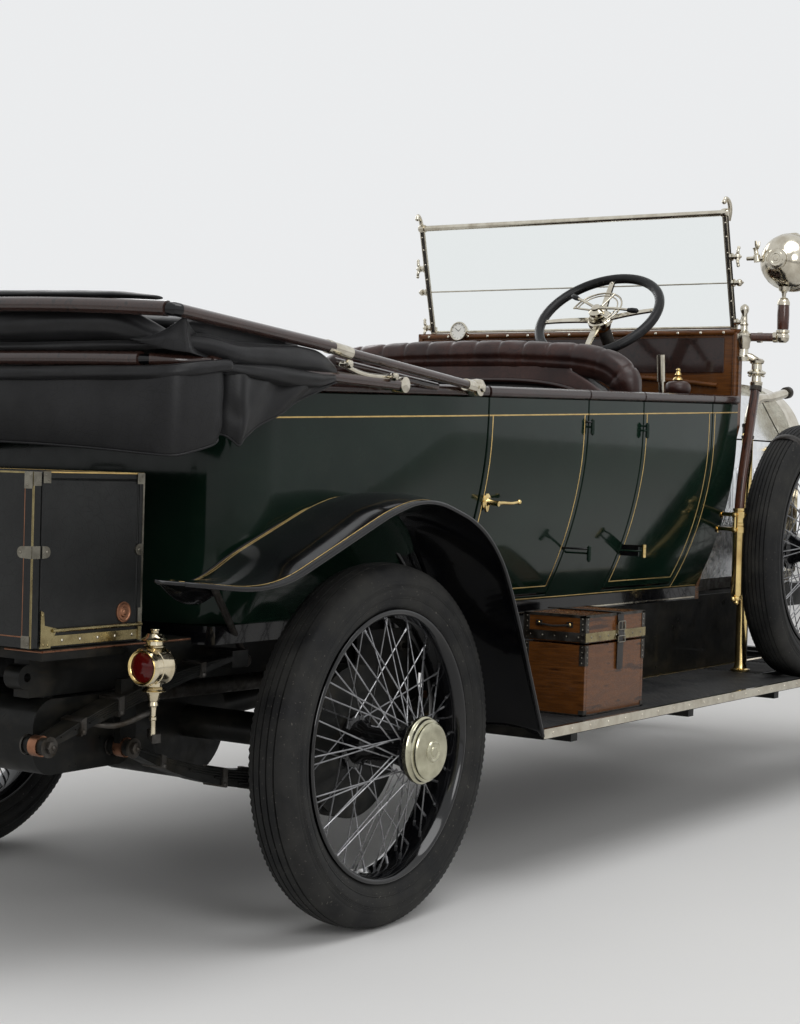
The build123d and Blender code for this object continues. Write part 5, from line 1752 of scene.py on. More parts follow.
REAR_FENDER_LINE = (
    # distance, height, corner radius
    (-1.012, 0.901, 0.0),
    (-0.606, 0.859, 0.490),
    (-0.169, 1.025, 0.680),
    (-0.006, 1.068, 0.380),
    (0.310, 0.976, 0.380),
    (0.439, 0.739, 3.200),
    (0.584, 0.425, 0.0),
)
FRONT_FENDER_LINE = (
    (3.040, 0.442, 0.0),
    (3.150, 0.640, 0.500),
    (3.330, 0.960, 0.260),
    (3.700, 1.010, 0.420),
    (3.990, 0.960, 0.300),
    (4.160, 0.800, 0.0),
)


@dataclass
class RunningBoards(Assembly):
    """Boards with a ribbed mat, edge strips and rivets, and the wheel well."""

    rear: float = 0.586
    front: float = 3.038
    inner: float = 0.432
    outer: float = 0.854
    top: float = 0.440
    thick: float = 0.028
    well_x: float = 2.600
    well_half: float = 0.190
    well_y: float = 0.752
    well_wide: float = 0.074
    sink: float = 0.018
    rib: float = 0.016

    def build(self) -> None:
        """Makes both boards."""
        for side, hand in SIDES:
            welled = side == RIGHT
            self.build_board(side, hand, welled)
            self.build_mat(side, hand, welled)
            self.build_trim(side, hand)

    def spans(self, welled: bool) -> list[tuple[float, float, float, float]]:
        """Rectangles of the top as rear, front, inner and outer edges.

        Args:
            welled: Whether the board has a well for the spare wheel.

        Returns:
            The rectangles.
        """
        if not welled:
            return [(self.rear, self.front, self.inner, self.outer)]
        low, high = self.well_x - self.well_half, self.well_x + self.well_half
        near, far = self.well_y - self.well_wide, self.well_y + self.well_wide
        return [
            (self.rear, low, self.inner, self.outer), (high, self.front, self.inner, self.outer),
            (low, high, self.inner, near), (low, high, far, self.outer),
        ]

    def build_board(self, side: int, hand: str, welled: bool) -> None:
        """The wooden board under the mat.

        Args:
            side: Side of the car, -1 for the right and 1 for the left.
            hand: The side's name.
            welled: Whether the board has a well for the spare wheel.
        """
        shape = Shape()
        floor = self.top - self.sink if welled else self.top - 0.004
        y0, y1 = sorted((side * self.inner, side * (self.outer - 0.002)))
        shape.block((along(self.rear), y0, self.top - self.thick), (along(self.front), y1, floor - 0.001))
        if welled:
            for rear, front, inner, outer in self.spans(True):
                y0, y1 = sorted((side * inner, side * (outer - 0.002)))
                shape.block((along(rear), y0, floor - 0.001), (along(front), y1, self.top - 0.003))
        stands = ["running_boards"] if side == RIGHT else []
        self.dress(f"board_{hand}", shape, [Finishes.chassis], "car", stands)

    def build_mat(self, side: int, hand: str, welled: bool) -> None:
        """The ribbed rubber mat.

        Args:
            side: Side of the car, -1 for the right and 1 for the left.
            hand: The side's name.
            welled: Whether the board has a well for the spare wheel.
        """
        shape = Shape()
        for rear, front, inner, outer in self.spans(welled):
            y0, y1 = inner + 0.006, outer - 0.012
            if y1 - y0 < 0.01:
                continue
            many = max(int((y1 - y0) / self.rib), 1)
            section = []
            for k in range(many):
                start = mixed(y0, y1, k / many)
                step = (y1 - y0) / many
                for share, lift in (
                    (0.0, -0.0035), (0.12, -0.0006), (0.30, 0.0), (0.62, 0.0), (0.80, -0.0006),
                    (0.92, -0.0035),
                ):
                    section.append((start + step * share, self.top - 0.0004 + lift))
            section.append((y1, self.top - 0.0039))
            rows = []
            for x in np.linspace(rear + 0.004, front - 0.004, 6):
                rows.append([(along(float(x)), side * y, z) for y, z in section])
            shape.grid(rows)
        self.dress(f"board_mat_{hand}", shape, [Finishes.mat], "car", thick=0.002, smooth=30)

    def build_trim(self, side: int, hand: str) -> None:
        """Nickel edge strip with rivets and an inner brass strip.

        Args:
            side: Side of the car, -1 for the right and 1 for the left.
            hand: The side's name.
        """
        shape = Shape()
        y = side * (self.outer - 0.002)
        y0, y1 = sorted((y, side * self.outer))
        shape.block((along(self.rear), y0, self.top - 0.026), (along(self.front), y1, self.top - 0.0005))
        y0, y1 = sorted((side * (self.outer - 0.013), side * self.outer))
        shape.block((along(self.rear), y0, self.top - 0.0012), (along(self.front), y1, self.top))
        strip = (self.inner + 0.002, self.inner + 0.026)
        rear, front = self.rear + 0.01, self.front - 0.01
        y0, y1 = sorted((side * strip[0], side * strip[1]))
        shape.block((along(rear), y0, self.top - 0.0012), (along(front), y1, self.top + 0.0004), 1)
        for x in np.arange(self.rear + 0.05, self.front - 0.03, 0.105):
            place = (along(float(x)), side * self.outer, self.top - 0.013)
            shape.knob(place, 0.0042, (0, side, 0), 0.5)
        self.dress(f"board_trim_{hand}", shape, [Finishes.nickel, Finishes.brass], "car", bevel=0.0004)


# Boxes carried on the car


def box(shape: Shape, low: Sequence[float], high: Sequence[float], mark: int = 0) -> None:
    """A block drawn between sorted corners."""
    pairs = [sorted(p) for p in zip(low, high)]
    shape.block([p[0] for p in pairs], [p[1] for p in pairs], mark)


@dataclass
class Toolbox(Assembly):
    """Mahogany tool box with a strap, corners, a brass band and its lid."""

    rear: float = 0.900
    front: float = 1.262
    inner: float = 0.600
    outer: float = 0.800
    foot: float = 0.4403
    seam: float = 0.643
    gap: float = 0.006
    top: float = 0.723
    wall: float = 0.014

    def build(self) -> None:
        """Makes the box, lid and fittings."""
        low, high = (along(self.rear), -self.outer), (along(self.front), -self.inner)
        rim = self.seam - self.gap / 2
        self.shell("toolbox_case", (*low, self.foot), (*high, rim), True, "car", "toolbox")
        self.shell(
            "toolbox_lid_case", (*low, self.seam + self.gap / 2), (*high, self.top), False, "toolbox_lid",
            "toolbox_lid",
        )
        self.fittings("toolbox_fittings", low, high, self.foot, rim, "car")
        self.fittings("toolbox_lid_fittings", low, high, self.seam + self.gap / 2, self.top, "toolbox_lid")
        self.strap(low, high)
        self.handle(low)

    def shell(self, name: str, low: Point, high: Point, open_top: bool, body: str, node: str) -> None:
        """Five wooden walls of the box or its lid.

        Args:
            name: The piece's name.
            low: Corner at the rear, outside and foot.
            high: Corner at the front, inside and top.
            open_top: Whether the walls are open above, and otherwise below.
            body: The body that it rides on.
            node: The construction node that it replaces.
        """
        shape, w = Shape(), self.wall
        x0, y0, z0 = low
        x1, y1, z1 = high
        shape.block((x0, y0, z0), (x0 + w, y1, z1))
        shape.block((x1 - w, y0, z0), (x1, y1, z1))
        shape.block((x0 + w, y0, z0), (x1 - w, y0 + w, z1))
        shape.block((x0 + w, y1 - w, z0), (x1 - w, y1, z1))
        z2, z3 = (z0, z0 + w) if open_top else (z1 - w, z1)
        shape.block((x0 + w, y0 + w, z2), (x1 - w, y1 - w, z3))
        self.dress(name, shape, [Finishes.mahogany], body, [node], bevel=0.0015)

    def fittings(
        self, name: str, low: tuple[float, float], high: tuple[float, float], foot: float, top: float,
        body: str
    ) -> None:
        """Black corner irons and edges, and the band along the lid's foot.

        Args:
            name: The piece's name.
            low: Rear outer corner in plan.
            high: Front inner corner in plan.
            foot: Height of the foot.
            top: Height of the top.
            body: The body that it rides on.
        """
        shape = Shape()
        lid = body == "toolbox_lid"
        thin = 0.0018
        x0, x1 = low[0], high[0]
        corners = [
            (x, y, 1 if x == x0 else -1, 1 if y == low[1] else -1) for x in (x0, x1)
            for y in (low[1], high[1])
        ]
        for x, y, ix, iy in corners:
            reach = foot if lid else top - 0.058
            box(shape, (x - ix * thin, y - iy * thin, reach), (x + ix * 0.018, y, top), 0)
            box(shape, (x - ix * thin, y, reach), (x, y + iy * 0.018, top), 0)
            for z in np.arange(reach + 0.008, top - 0.004, 0.015):
                shape.knob((x + ix * 0.010, y - iy * thin, float(z)), 0.0026, (0, -iy, 0), 0.6, 1)
                shape.knob((x - ix * thin, y + iy * 0.010, float(z)), 0.0026, (-ix, 0, 0), 0.6, 1)
            if not lid:
                box(shape, (x - ix * thin, y - iy * thin, foot), (x + ix * 0.016, y, foot + 0.016), 0)
                box(shape, (x - ix * thin, y, foot), (x, y + iy * 0.016, foot + 0.016), 0)
        edge = 0.006
        z0, z1 = (top - edge, top + thin) if lid else (foot, foot + 0.004)
        for y, iy in ((low[1], 1), (high[1], -1)):
            box(shape, (x0 - thin, y - iy * thin, z0), (x1 + thin, y + iy * (edge if lid else 0), z1), 0)
        for x, ix in ((x0, 1), (x1, -1)):
            box(shape, (x - ix * thin, low[1], z0), (x + ix * (edge if lid else 0), high[1], z1), 0)
        if lid:
            z0, z1 = foot + 0.003, foot + 0.029
            box(shape, (x0 - thin * 1.8, low[1] - thin * 1.8, z0), (x1 + thin * 1.8, low[1], z1), 2)
            for x, ix in ((x0, 1), (x1, -1)):
                box(shape, (x - ix * thin * 1.6, low[1], z0), (x, high[1], z1), 0)
                for k in range(5):
                    shape.knob(
                        (x - ix * thin * 1.6, mixed(low[1] + 0.022, high[1] - 0.022, k / 4), (z0 + z1) / 2),
                        0.003, (-ix, 0, 0), 0.6, 1,
                    )
            for k in range(7):
                shape.knob(
                    (mixed(x0 + 0.03, x1 - 0.03, k / 6), low[1] - thin * 1.8, (z0 + z1) / 2), 0.0032,
                    (0, -1, 0), 0.6, 1,
                )
        self.dress(name, shape, [Finishes.iron, Finishes.plate, Finishes.dull_brass], body, bevel=0.0006)

    def strap(self, low: tuple[float, float], high: tuple[float, float]) -> None:
        """The strap over the lid with its buckle and keeper.

        Args:
            low: Rear outer corner in plan.
            high: Front inner corner in plan.
        """
        shape = Shape()
        x, y = mixed(low[0], high[0], 0.56), low[1]
        section = [
            (high[1] + 0.030, self.top + 0.002), (y + 0.006, self.top + 0.0022),
            (y - 0.0030, self.top - 0.004), (y - 0.0052, 0.676), (y - 0.0075, 0.660), (y - 0.0052, 0.645),
            (y - 0.0045, 0.600), (y - 0.0040, 0.572), (y - 0.0035, 0.560),
        ]
        line = curve([(x, b, c) for b, c in section], 6)
        rows = []
        for i, p in enumerate(line):
            way = (line[min(i + 1, len(line) - 1)] - line[max(i - 1, 0)]).normalized()
            out = Vector((0, -way.z, way.y))
            half = 0.0180 * math.sqrt(max(1 - max(i / (len(line) - 1) - 0.93, 0) ** 2 / 0.07**2, 0.02))
            rows.append([
                p + Vector((half * c, 0, 0)) + out * 0.0016 * s
                for c, s in ((-1, -0.6), (-0.9, 1), (0.9, 1), (1, -0.6), (0, -1))
            ])
        shape.grid(rows, wrap=True, caps=True)
        self.dress("toolbox_strap", shape, [Finishes.strap], "toolbox_lid", smooth=50)
        metal = Shape()
        for z0, z1 in ((0.676, 0.700), (0.640, 0.658)):
            frame_line = [
                (x - 0.021, y - 0.009, z0), (x + 0.021, y - 0.009, z0), (x + 0.021, y - 0.009, z1),
                (x - 0.021, y - 0.009, z1),
            ]
            ring = []
            for k, p in enumerate(frame_line):
                q = Vector(frame_line[(k + 1) % 4])
                ring += [Vector(p).lerp(q, t) for t in (0.1, 0.5, 0.9)]
            metal.tube(ring, 0.0020, 8, ring=True)
        metal.tube([(x, y - 0.0095, 0.676), (x, y - 0.0105, 0.688), (x, y - 0.0095, 0.701)], 0.0014, 8)
        for end in (-1, 1):
            box(metal, (x + end * 0.0165, y - 0.0080, 0.664), (x + end * 0.0195, y, 0.690), 0)
        self.dress("toolbox_buckle", metal, [Finishes.plate], "toolbox_lid", smooth=40)

    def handle(self, low: tuple[float, float]) -> None:
        """The leather handle on the lid's rear end, with its studs.

        Args:
            low: Rear outer corner in plan.
        """
        shape = Shape()
        x, y, z = low[0] - 0.002, mixed(-self.outer, -self.inner, 0.5), 0.696
        path = curve(
            [
                (x - 0.001, y - 0.052, z), (x - 0.006, y - 0.038, z - 0.002), (x - 0.013, y, z - 0.005),
                (x - 0.006, y + 0.038, z - 0.002), (x - 0.001, y + 0.052, z),
            ],
            8,
        )
        shape.tube(path, 0.0060, 10, 0, squeeze=0.5)
        for end in (-1, 1):
            shape.knob((x - 0.002, y + end * 0.050, z), 0.0055, (-1, 0, 0), 0.8, 1)
            box(shape, (x - 0.002, y + end * 0.040, z - 0.008), (x + 0.0005, y + end * 0.060, z + 0.008), 0)
        self.dress("toolbox_handle", shape, [Finishes.strap, Finishes.brass], "toolbox_lid", smooth=50)


@dataclass
class Trunk(Assembly):
    """Leather-cloth trunk with its drop door, edge lines, corner plates and rack."""

    front: float = -0.637
    rear: float = -0.954
    half: float = 0.500
    foot: float = 0.724
    top: float = 1.100
    wall: float = 0.016
    door_rear: float = -0.982
    door_front: float = -0.960
    thin: float = 0.0018

    def build(self) -> None:
        """Makes the case, door, trims and rack."""
        self.build_case()
        self.build_door()
        self.carry("luggage_rack", Finishes.chassis, 0.002)
        self.build_rack_trim()

    def build_case(self) -> None:
        """Five covered walls, open to the rear."""
        shape, w = Shape(), self.wall
        x0, x1 = along(self.rear), along(self.front)
        shape.block((x0, -self.half, self.foot), (x1, self.half, self.foot + w))
        shape.block((x0, -self.half, self.top - w), (x1, self.half, self.top))
        shape.block((x1 - w, -self.half, self.foot + w), (x1, self.half, self.top - w))
        for side in (-1, 1):
            box(shape, (x0, side * (self.half - w), self.foot + w), (x1 - w, side * self.half, self.top - w))
        self.dress("trunk_case", shape, [Finishes.trunk], "car", ["trunk"], bevel=0.004)
        trim, brass = Shape(), Shape()
        t = self.thin
        for side in (-1, 1):
            y = side * self.half
            box(trim, (x0, y, self.top - 0.0022), (x1, y + side * t * 0.7, self.top + t * 0.5), 1)
            box(trim, (x1 - 0.014, y, self.foot), (x1 + t * 0.6, y + side * t * 0.8, self.top), 2)
            box(trim, (x1 - 0.0035, y, self.foot), (x1 + t, y + side * t * 1.4, self.top), 0)
            for x, inward in ((x0, 1), (x1, -1)):
                box(
                    trim, (x, y, self.top - 0.024),
                    (x + inward * 0.022, y + side * t * 1.5, self.top + t * 0.4), 0,
                )
                for a, b in ((0.007, 0.007), (0.015, 0.017)):
                    trim.knob(
                        (x + inward * a, y + side * t * 1.5, self.top - b), 0.0022, (0, side, 0), 0.6, 0
                    )
            self.lozenge(trim, x1, y, side, -1)
            self.lozenge(trim, x0, y, side, 1)
            box(trim, (x1 - 0.012, y, 0.766), (x1 - 0.002, y + side * t * 1.6, 0.800), 0)
            self.side_strip(brass, x0, x1, y, side)
            rose = [
                (0.0, 0.0235), (0.0025, 0.0230), (0.0030, 0.0195), (0.0012, 0.0175), (0.0012, 0.0115),
                (0.0040, 0.0100), (0.0045, 0.0055), (0.0065, 0.0040), (0.0070, 0.0),
            ]
            brass.lathe(rose, (along(-0.694), y + side * 0.0002, 0.792), (0, side, 0), 32, 2)
        box(trim, (x1 - 0.004, -self.half, self.top), (x1 + t * 0.5, self.half, self.top + t * 0.6), 1)
        for y in (-0.25, 0.25):
            handle = [(x0 + 0.05, y - 0.06, self.top), (x0 + 0.05, y - 0.05, self.top + 0.011),
                      (x0 + 0.05, y + 0.05, self.top + 0.011), (x0 + 0.05, y + 0.06, self.top)]
            trim.tube(curve(handle, 6), 0.0045, 8, 0)
            for end in (-0.058, 0.058):
                trim.knob((x0 + 0.05, y + end, self.top), 0.010, (0, 0, 1), 0.5, 0)
        self.dress("trunk_trim", trim, [Finishes.plate, Finishes.line, Finishes.trunk], "car", bevel=0.0005)
        finishes = [Finishes.dull_brass, Finishes.nickel, Finishes.copper]
        self.dress("trunk_side_strips", brass, finishes, "car", bevel=0.0005)

    def lozenge(self, shape: Shape, x: float, y: float, side: int, way: int) -> None:
        """A clasp plate with a round end and its screw, on a side face.

        Args:
            shape: The mesh to draw in.
            x: Place of its straight end along the car.
            y: Place of the face across the car.
            side: Direction in which the face looks.
            way: Direction of the round end along the car.
        """
        t = self.thin * 1.9
        rows = []
        for lift in (0.0, t):
            outline = [(x, y + side * lift, 0.930 - 0.0135), (x, y + side * lift, 0.930 + 0.0135)]
            for k in range(9):
                a = math.pi / 2 - math.pi * k / 8
                outline.append(
                    (x + way * (0.012 + 0.0125 * math.cos(a)), y + side * lift, 0.930 + 0.0125 * math.sin(a))
                )
            rows.append(outline)
        shape.grid(rows, wrap=True, caps=True)
        shape.knob((x + way * 0.014, y + side * t, 0.930), 0.0036, (0, side, 0), 0.7, 0)

    def side_strip(self, shape: Shape, x0: float, x1: float, y: float, side: int) -> None:
        """Riveted strip and rod along a side's foot, between corner castings.

        Args:
            shape: The mesh to draw in.
            x0: The trunk's rear end.
            x1: The trunk's front end.
            y: Place of the face across the car.
            side: Direction in which the face looks.
        """
        t = 0.0022
        z0, z1 = self.foot + 0.006, self.foot + 0.028
        box(shape, (x0 + 0.030, y, z0), (x1 - 0.010, y + side * t, z1), 0)
        for k in range(5):
            shape.knob(
                (mixed(x0 + 0.066, x1 - 0.030, k / 4), y + side * t, (z0 + z1) / 2), 0.0036, (0, side, 0),
                0.7, 1,
            )
        rod_y, rod_z = y + side * 0.005, z1 + 0.011
        shape.tube([(x0 + 0.034, rod_y, rod_z), (x1 - 0.002, rod_y, rod_z)], 0.0042, 12)
        plate = [
            (0.0, z0 - 0.004), (0.030, z0 - 0.004), (0.034, z0 + 0.012), (0.046, rod_z - 0.004),
            (0.050, rod_z + 0.004), (0.034, rod_z + 0.007), (0.012, rod_z + 0.012), (0.009, rod_z + 0.040),
            (0.0, rod_z + 0.044),
        ]
        rows = [[(x0 + a, y + side * lift, b) for a, b in plate] for lift in (0.0, 0.0042)]
        shape.grid(rows, wrap=True, caps=True)
        for a, b in ((0.008, z0 + 0.004), (0.022, z0 + 0.003), (0.005, rod_z + 0.034)):
            shape.knob((x0 + a, y + side * 0.0042, b), 0.0032, (0, side, 0), 0.7, 0)
        box(shape, (x1 - 0.012, y, z0 - 0.002), (x1 - 0.002, y + side * 0.0046, rod_z + 0.006), 0)
        shape.knob((x1 - 0.007, y + side * 0.0046, z0 + 0.006), 0.0032, (0, side, 0), 0.7, 0)

    def build_door(self) -> None:
        """The rear drop door with its edge bands, lines and corner plates."""
        x0, x1 = along(self.door_rear), along(self.door_front)
        foot, t = self.foot + 0.004, self.thin
        panel = Shape()
        panel.block((x0 + t, -self.half, foot), (x1, self.half, self.top))
        self.dress("trunk_door_panel", panel, [Finishes.trunk], "trunk_door", ["trunk_door"], bevel=0.0015)
        trim = Shape()
        face = x0 + t
        for side in (-1, 1):
            y = side * self.half
            box(trim, (face, y, foot), (face - t * 0.6, y - side * 0.024, self.top), 2)
            box(trim, (face, y - side * 0.023, foot), (face - t * 0.7, y - side * 0.025, self.top), 3)
            box(trim, (x0, y - side * 0.0022, foot), (x0 + 0.003, y + side * t, self.top), 1)
            box(trim, (x0, y, foot), (x1, y + side * t * 0.7, self.top), 2)
            box(trim, (x0, y, self.top - 0.036), (x0 + t, y - side * 0.026, self.top), 0)
            box(trim, (x0, y, self.top - 0.030), (x1, y + side * t * 1.4, self.top), 0)
            box(trim, (x0, y, foot), (x0 + t, y - side * 0.026, foot + 0.026), 0)
            for a, b in (
                (0.008, self.top - 0.008), (0.018, self.top - 0.028), (0.008, foot + 0.008),
                (0.018, foot + 0.018),
            ):
                trim.knob((x0, y - side * a, b), 0.0026, (-1, 0, 0), 0.6, 0)
            rows = []
            for lift in (x0 + t * 0.5, x0 - 0.0006):
                outline = [(lift, y, 0.930 - 0.0135), (lift, y, 0.930 + 0.0135)]
                for k in range(9):
                    a = math.pi / 2 - math.pi * k / 8
                    outline.append(
                        (lift, y - side * (0.030 + 0.0125 * math.cos(a)), 0.930 + 0.0125 * math.sin(a))
                    )
                rows.append(outline)
            trim.grid(rows, wrap=True, caps=True)
            box(trim, (x0, y, 0.9165), (x1, y + side * t * 1.9, 0.9435), 0)
            trim.knob((x0 - 0.0006, y - side * 0.034, 0.930), 0.0036, (-1, 0, 0), 0.7, 0)
        box(trim, (face, -self.half, self.top - 0.004), (face - t * 0.7, self.half, self.top), 1)
        box(
            trim, (face, -self.half + 0.025, foot + 0.022),
            (face - t * 0.7, self.half - 0.025, foot + 0.0245), 3,
        )
        for y in (-0.20, 0.20):
            box(trim, (x0, y - 0.022, self.top - 0.050), (x0 + t, y + 0.022, self.top), 0)
            trim.knob((x0, y, self.top - 0.038), 0.0065, (-1, 0, 0), 0.8, 0)
            box(trim, (x0, y - 0.012, self.top - 0.030), (x0 - 0.0006, y + 0.012, self.top - 0.004), 0)
        finishes = [Finishes.plate, Finishes.dull_brass, Finishes.trunk, Finishes.copper]
        self.dress("trunk_door_plates", trim, finishes, "trunk_door", bevel=0.0005)

    def build_rack_trim(self) -> None:
        """The copper bead round the rack's edge."""
        shape = Shape()
        z = self.foot - 0.004
        x0 = along(self.rear)
        y = self.half + 0.010
        for side in (-1, 1):
            shape.tube([(x0, side * y, z), (along(-0.475), side * y, z)], 0.0025, 8)
        for low, high in ((-y, -0.40), (-0.30, 0.30), (0.40, y)):
            shape.tube([(x0, low, z), (x0, high, z)], 0.0025, 8)
        self.dress("rack_bead", shape, [Finishes.copper], "car")


# Folded hood


@dataclass
class Hood(Assembly):
    """The folded hood: wooden bows, ferrules, folded cloth and hanging curtain."""

    bow_y: float = 0.684
    bow_r: float = 0.017
    arch: float = 0.022
    upper: Sequence[tuple[float, float]] = ((-0.771, 1.472), (-0.191, 1.410), (0.470, 1.345))
    lower: Sequence[tuple[float, float]] = ((-0.740, 1.355), (0.109, 1.335))

    def build(self) -> None:
        """Makes the bows and the cloth."""
        self.build_bows()
        self.build_ferrules()
        self.build_cloth()

    def build_bows(self) -> None:
        """Steam-bent wooden bows: arched rear bars, side arms and their dark sockets."""
        wood, sockets = Shape(), Shape()
        (x0, z0), (x1, z1) = self.upper[0], self.upper[1]
        arch = [
            (y, z0 + 0.004 - self.arch * (y / self.bow_y) ** 2)
            for y in np.linspace(-self.bow_y, self.bow_y, 15)
        ]
        wood.tube([(along(x0), y * 0.985, z) for y, z in arch], self.bow_r, 18)
        corner = arch[0][1]
        for side in (RIGHT, LEFT):
            y = side * self.bow_y
            sockets.tube([
                (along(x0 + 0.003), side * 0.672, corner), (along(x0 + 0.006), side * 0.686, corner - 0.001),
                (along(x0 + 0.022), side * 0.689, corner - 0.002),
            ], [0.0145, 0.0155, 0.0145], 16)
            wood.tube(
                [(along(x0 + 0.014), y, corner - 0.001), (along(x1), y, z1)], self.bow_r, 18, squeeze=0.85
            )
        (x0, z0), (x1, z1) = self.lower
        low = z0 - 0.006
        wood.tube(
            [(along(x0), y, z0 - 0.006 * (y / 0.575) ** 2) for y in np.linspace(-0.575, 0.575, 11)],
            self.bow_r, 18,
        )
        for side in (RIGHT, LEFT):
            sockets.tube(
                [(along(x0), side * 0.570, low), (along(x0 + 0.012), side * 0.596, low)], 0.0115, 14
            )
            wood.tube(curve([
                (along(x0 + 0.008), side * 0.592, low), (along(-0.690), side * 0.645, low - 0.001),
                (along(-0.630), side * 0.672, 1.348), (along(-0.560), side * 0.678, 1.347),
                (along(x1), side * self.bow_y, z1),
            ], 5), 0.0145, 16)
        self.dress("hood_bow_wood", wood, [Finishes.bow], "car", ["hood_bows"], smooth=45)
        self.dress("hood_bow_sockets", sockets, [Finishes.fender], "car", smooth=45)
        second = Shape()
        (x1, z1), (x2, z2) = self.upper[1], self.upper[2]
        for side in (RIGHT, LEFT):
            y = side * self.bow_y
            second.tube(
                [(along(x1 + 0.06), y, z1 - 0.008), (along(x2 - 0.05), y, z2 + 0.006)], 0.0145, 14,
                squeeze=0.8,
            )
            second.tube([
                (along(x1 + 0.05), y - side * 0.030, z1 - 0.030),
                (along(x2 - 0.16), y - side * 0.026, z2 - 0.004),
            ], 0.010, 12)
        self.dress("hood_arms", second, [Finishes.bow], "car", smooth=45)

    def build_ferrules(self) -> None:
        """Nickel ferrules, pivots and knobs of the bows."""
        shape = Shape()
        (x1, z1), (x2, z2) = self.upper[1], self.upper[2]
        for side in (RIGHT, LEFT):
            y = side * self.bow_y
            shape.tube(
                curve(
                    [
                        (along(x1 - 0.02), y, z1 + 0.001), (along(x1 + 0.02), y, z1 - 0.003),
                        (along(x1 + 0.075), y, z1 - 0.010),
                    ],
                    4,
                ),
                [0.0165] * 3 + [0.015] * 3 + [0.0155] * 3, 14,
            )
            shape.tube([(along(x2 - 0.06), y, z2 + 0.006), (along(x2), y, z2)], 0.016, 14)
            shape.lathe(
                [
                    (-0.018, 0.0), (-0.018, 0.022), (0.0, 0.024), (0.014, 0.022), (0.018, 0.012),
                    (0.024, 0.010), (0.028, 0.0),
                ],
                (along(x2), y - side * 0.002, z2), (0, side, 0), 24,
            )
            for x, z in ((-0.150, 1.372), (0.045, 1.352)):
                shape.lathe(
                    [
                        (0.0, 0.007), (0.012, 0.006), (0.016, 0.010), (0.024, 0.011), (0.031, 0.008),
                        (0.034, 0.0),
                    ],
                    (along(x), y, z), (0, side, 0), 16,
                )
            shape.tube(
                curve(
                    [
                        (along(-0.150), y, 1.372), (along(-0.06), y + side * 0.004, 1.352),
                        (along(0.05), y + side * 0.004, 1.349), (along(0.109), y, 1.338),
                    ],
                    6,
                ),
                0.0065, 10,
            )
            shape.lathe(
                [(-0.022, 0.0), (-0.022, 0.020), (0.014, 0.020), (0.018, 0.0)], (along(0.109), y, 1.335),
                (0, side, 0), 22,
            )
            foot_y = side * BODY.plan(0.109)
            shape.tube([(along(0.109), foot_y, 1.335), (along(0.109), y, 1.335)], 0.014, 14)
            foot_y = side * (BODY.half + 0.003)
            shape.tube([(along(x2), foot_y, z2), (along(x2), y, z2)], 0.014, 14)
        self.dress("hood_ferrules", shape, [Finishes.nickel], "car", smooth=40)

    def build_cloth(self) -> None:
        """The folded cloth between the bows, and the curtain under them."""
        rear = np.linspace(-0.60, 0.60, 13)
        self.roll(
            "hood_stack", [(-0.452, y, 1.399) for y in np.linspace(-0.664, 0.664, 9)],
            [(0.040, 0.235)] + [(0.052, 0.262)] * 7 + [(0.040, 0.235)], 3.0, 0.005, ["hood_cloth"], -0.115,
        )
        self.roll(
            "hood_top_fold", [(-0.716, y, 1.499 - 0.015 * (y / 0.6) ** 2) for y in rear],
            [(0.004, 0.020)] + [(0.011, 0.052)] * 4 + [(0.0135, 0.054)] * 3 + [(0.011, 0.052)] * 4 + [
                (0.004, 0.020)
            ],
            7.0, 0.002,
        )
        self.roll(
            "hood_rear_fold",
            [(-0.716, -0.640, 1.392)] + [(-0.720, y, 1.431 - 0.009 * (y / 0.6) ** 2) for y in rear[1:-1]] + [
                (-0.716, 0.640, 1.392)
            ],
            [(0.016, 0.024)] + [(0.036, 0.038)] * 11 + [(0.016, 0.024)], 11.0, 0.0040,
        )
        self.roll(
            "hood_lower_fold",
            [(-0.726, -0.640, 1.378)] + [(-0.728, y, 1.3795) for y in rear[1:-1]] + [(-0.726, 0.640, 1.378)],
            [(0.005, 0.016)] + [(0.0115, 0.026)] * 11 + [(0.005, 0.016)], 19.0, 0.002,
        )
        for side, hand in SIDES:
            self.side_cloth(side, hand)
        self.curtain()

    def side_cloth(self, side: int, hand: str) -> None:
        """Folds on one side, with the peak pinched up at the rear bow's corner.

        Args:
            side: Side of the car, -1 for the right and 1 for the left.
            hand: The side's name.
        """
        y = side * 0.674
        self.roll(f"hood_side_fold_{hand}", [
            (-0.724, side * 0.640, 1.390), (-0.640, side * 0.664, 1.386), (-0.560, y, 1.371),
            (-0.470, y, 1.369), (-0.370, y, 1.370), (-0.270, y, 1.370), (-0.215, y, 1.364),
            (-0.172, y, 1.352),
        ], [
            (0.018, 0.020), (0.022, 0.026), (0.028, 0.033), (0.031, 0.034), (0.033, 0.035), (0.034, 0.034),
            (0.029, 0.030), (0.015, 0.018),
        ], 31.0, 0.0042)
        self.roll(
            f"hood_side_roll_{hand}",
            [
                (-0.595, side * 0.680, 1.338), (-0.530, side * 0.686, 1.336), (-0.440, side * 0.688, 1.333),
                (-0.340, side * 0.687, 1.329), (-0.250, side * 0.686, 1.329), (-0.182, side * 0.686, 1.337),
            ],
            [(0.012, 0.018), (0.018, 0.024), (0.022, 0.026), (0.023, 0.026), (0.020, 0.023), (0.011, 0.012)],
            43.0, 0.0048,
        )
        pinch = Vector((-0.762, side * 0.560, 1.392))
        peak = Vector((-0.722, side * 0.682, 1.444))
        foot = Vector((-0.708, side * 0.686, 1.364))
        shape = Shape()
        rows = []
        for i in range(15):
            t = i / 14
            top = pinch.lerp(peak, t) + Vector((0, 0, -0.012 * math.sin(math.pi * t)))
            bulge = math.sin(math.pi * t)
            base = pinch.lerp(foot, t) + Vector((-0.010 * bulge, side * 0.004 * bulge, -0.006 * bulge))
            row = []
            for k in range(11):
                u = k / 10
                p = base.lerp(top, u)
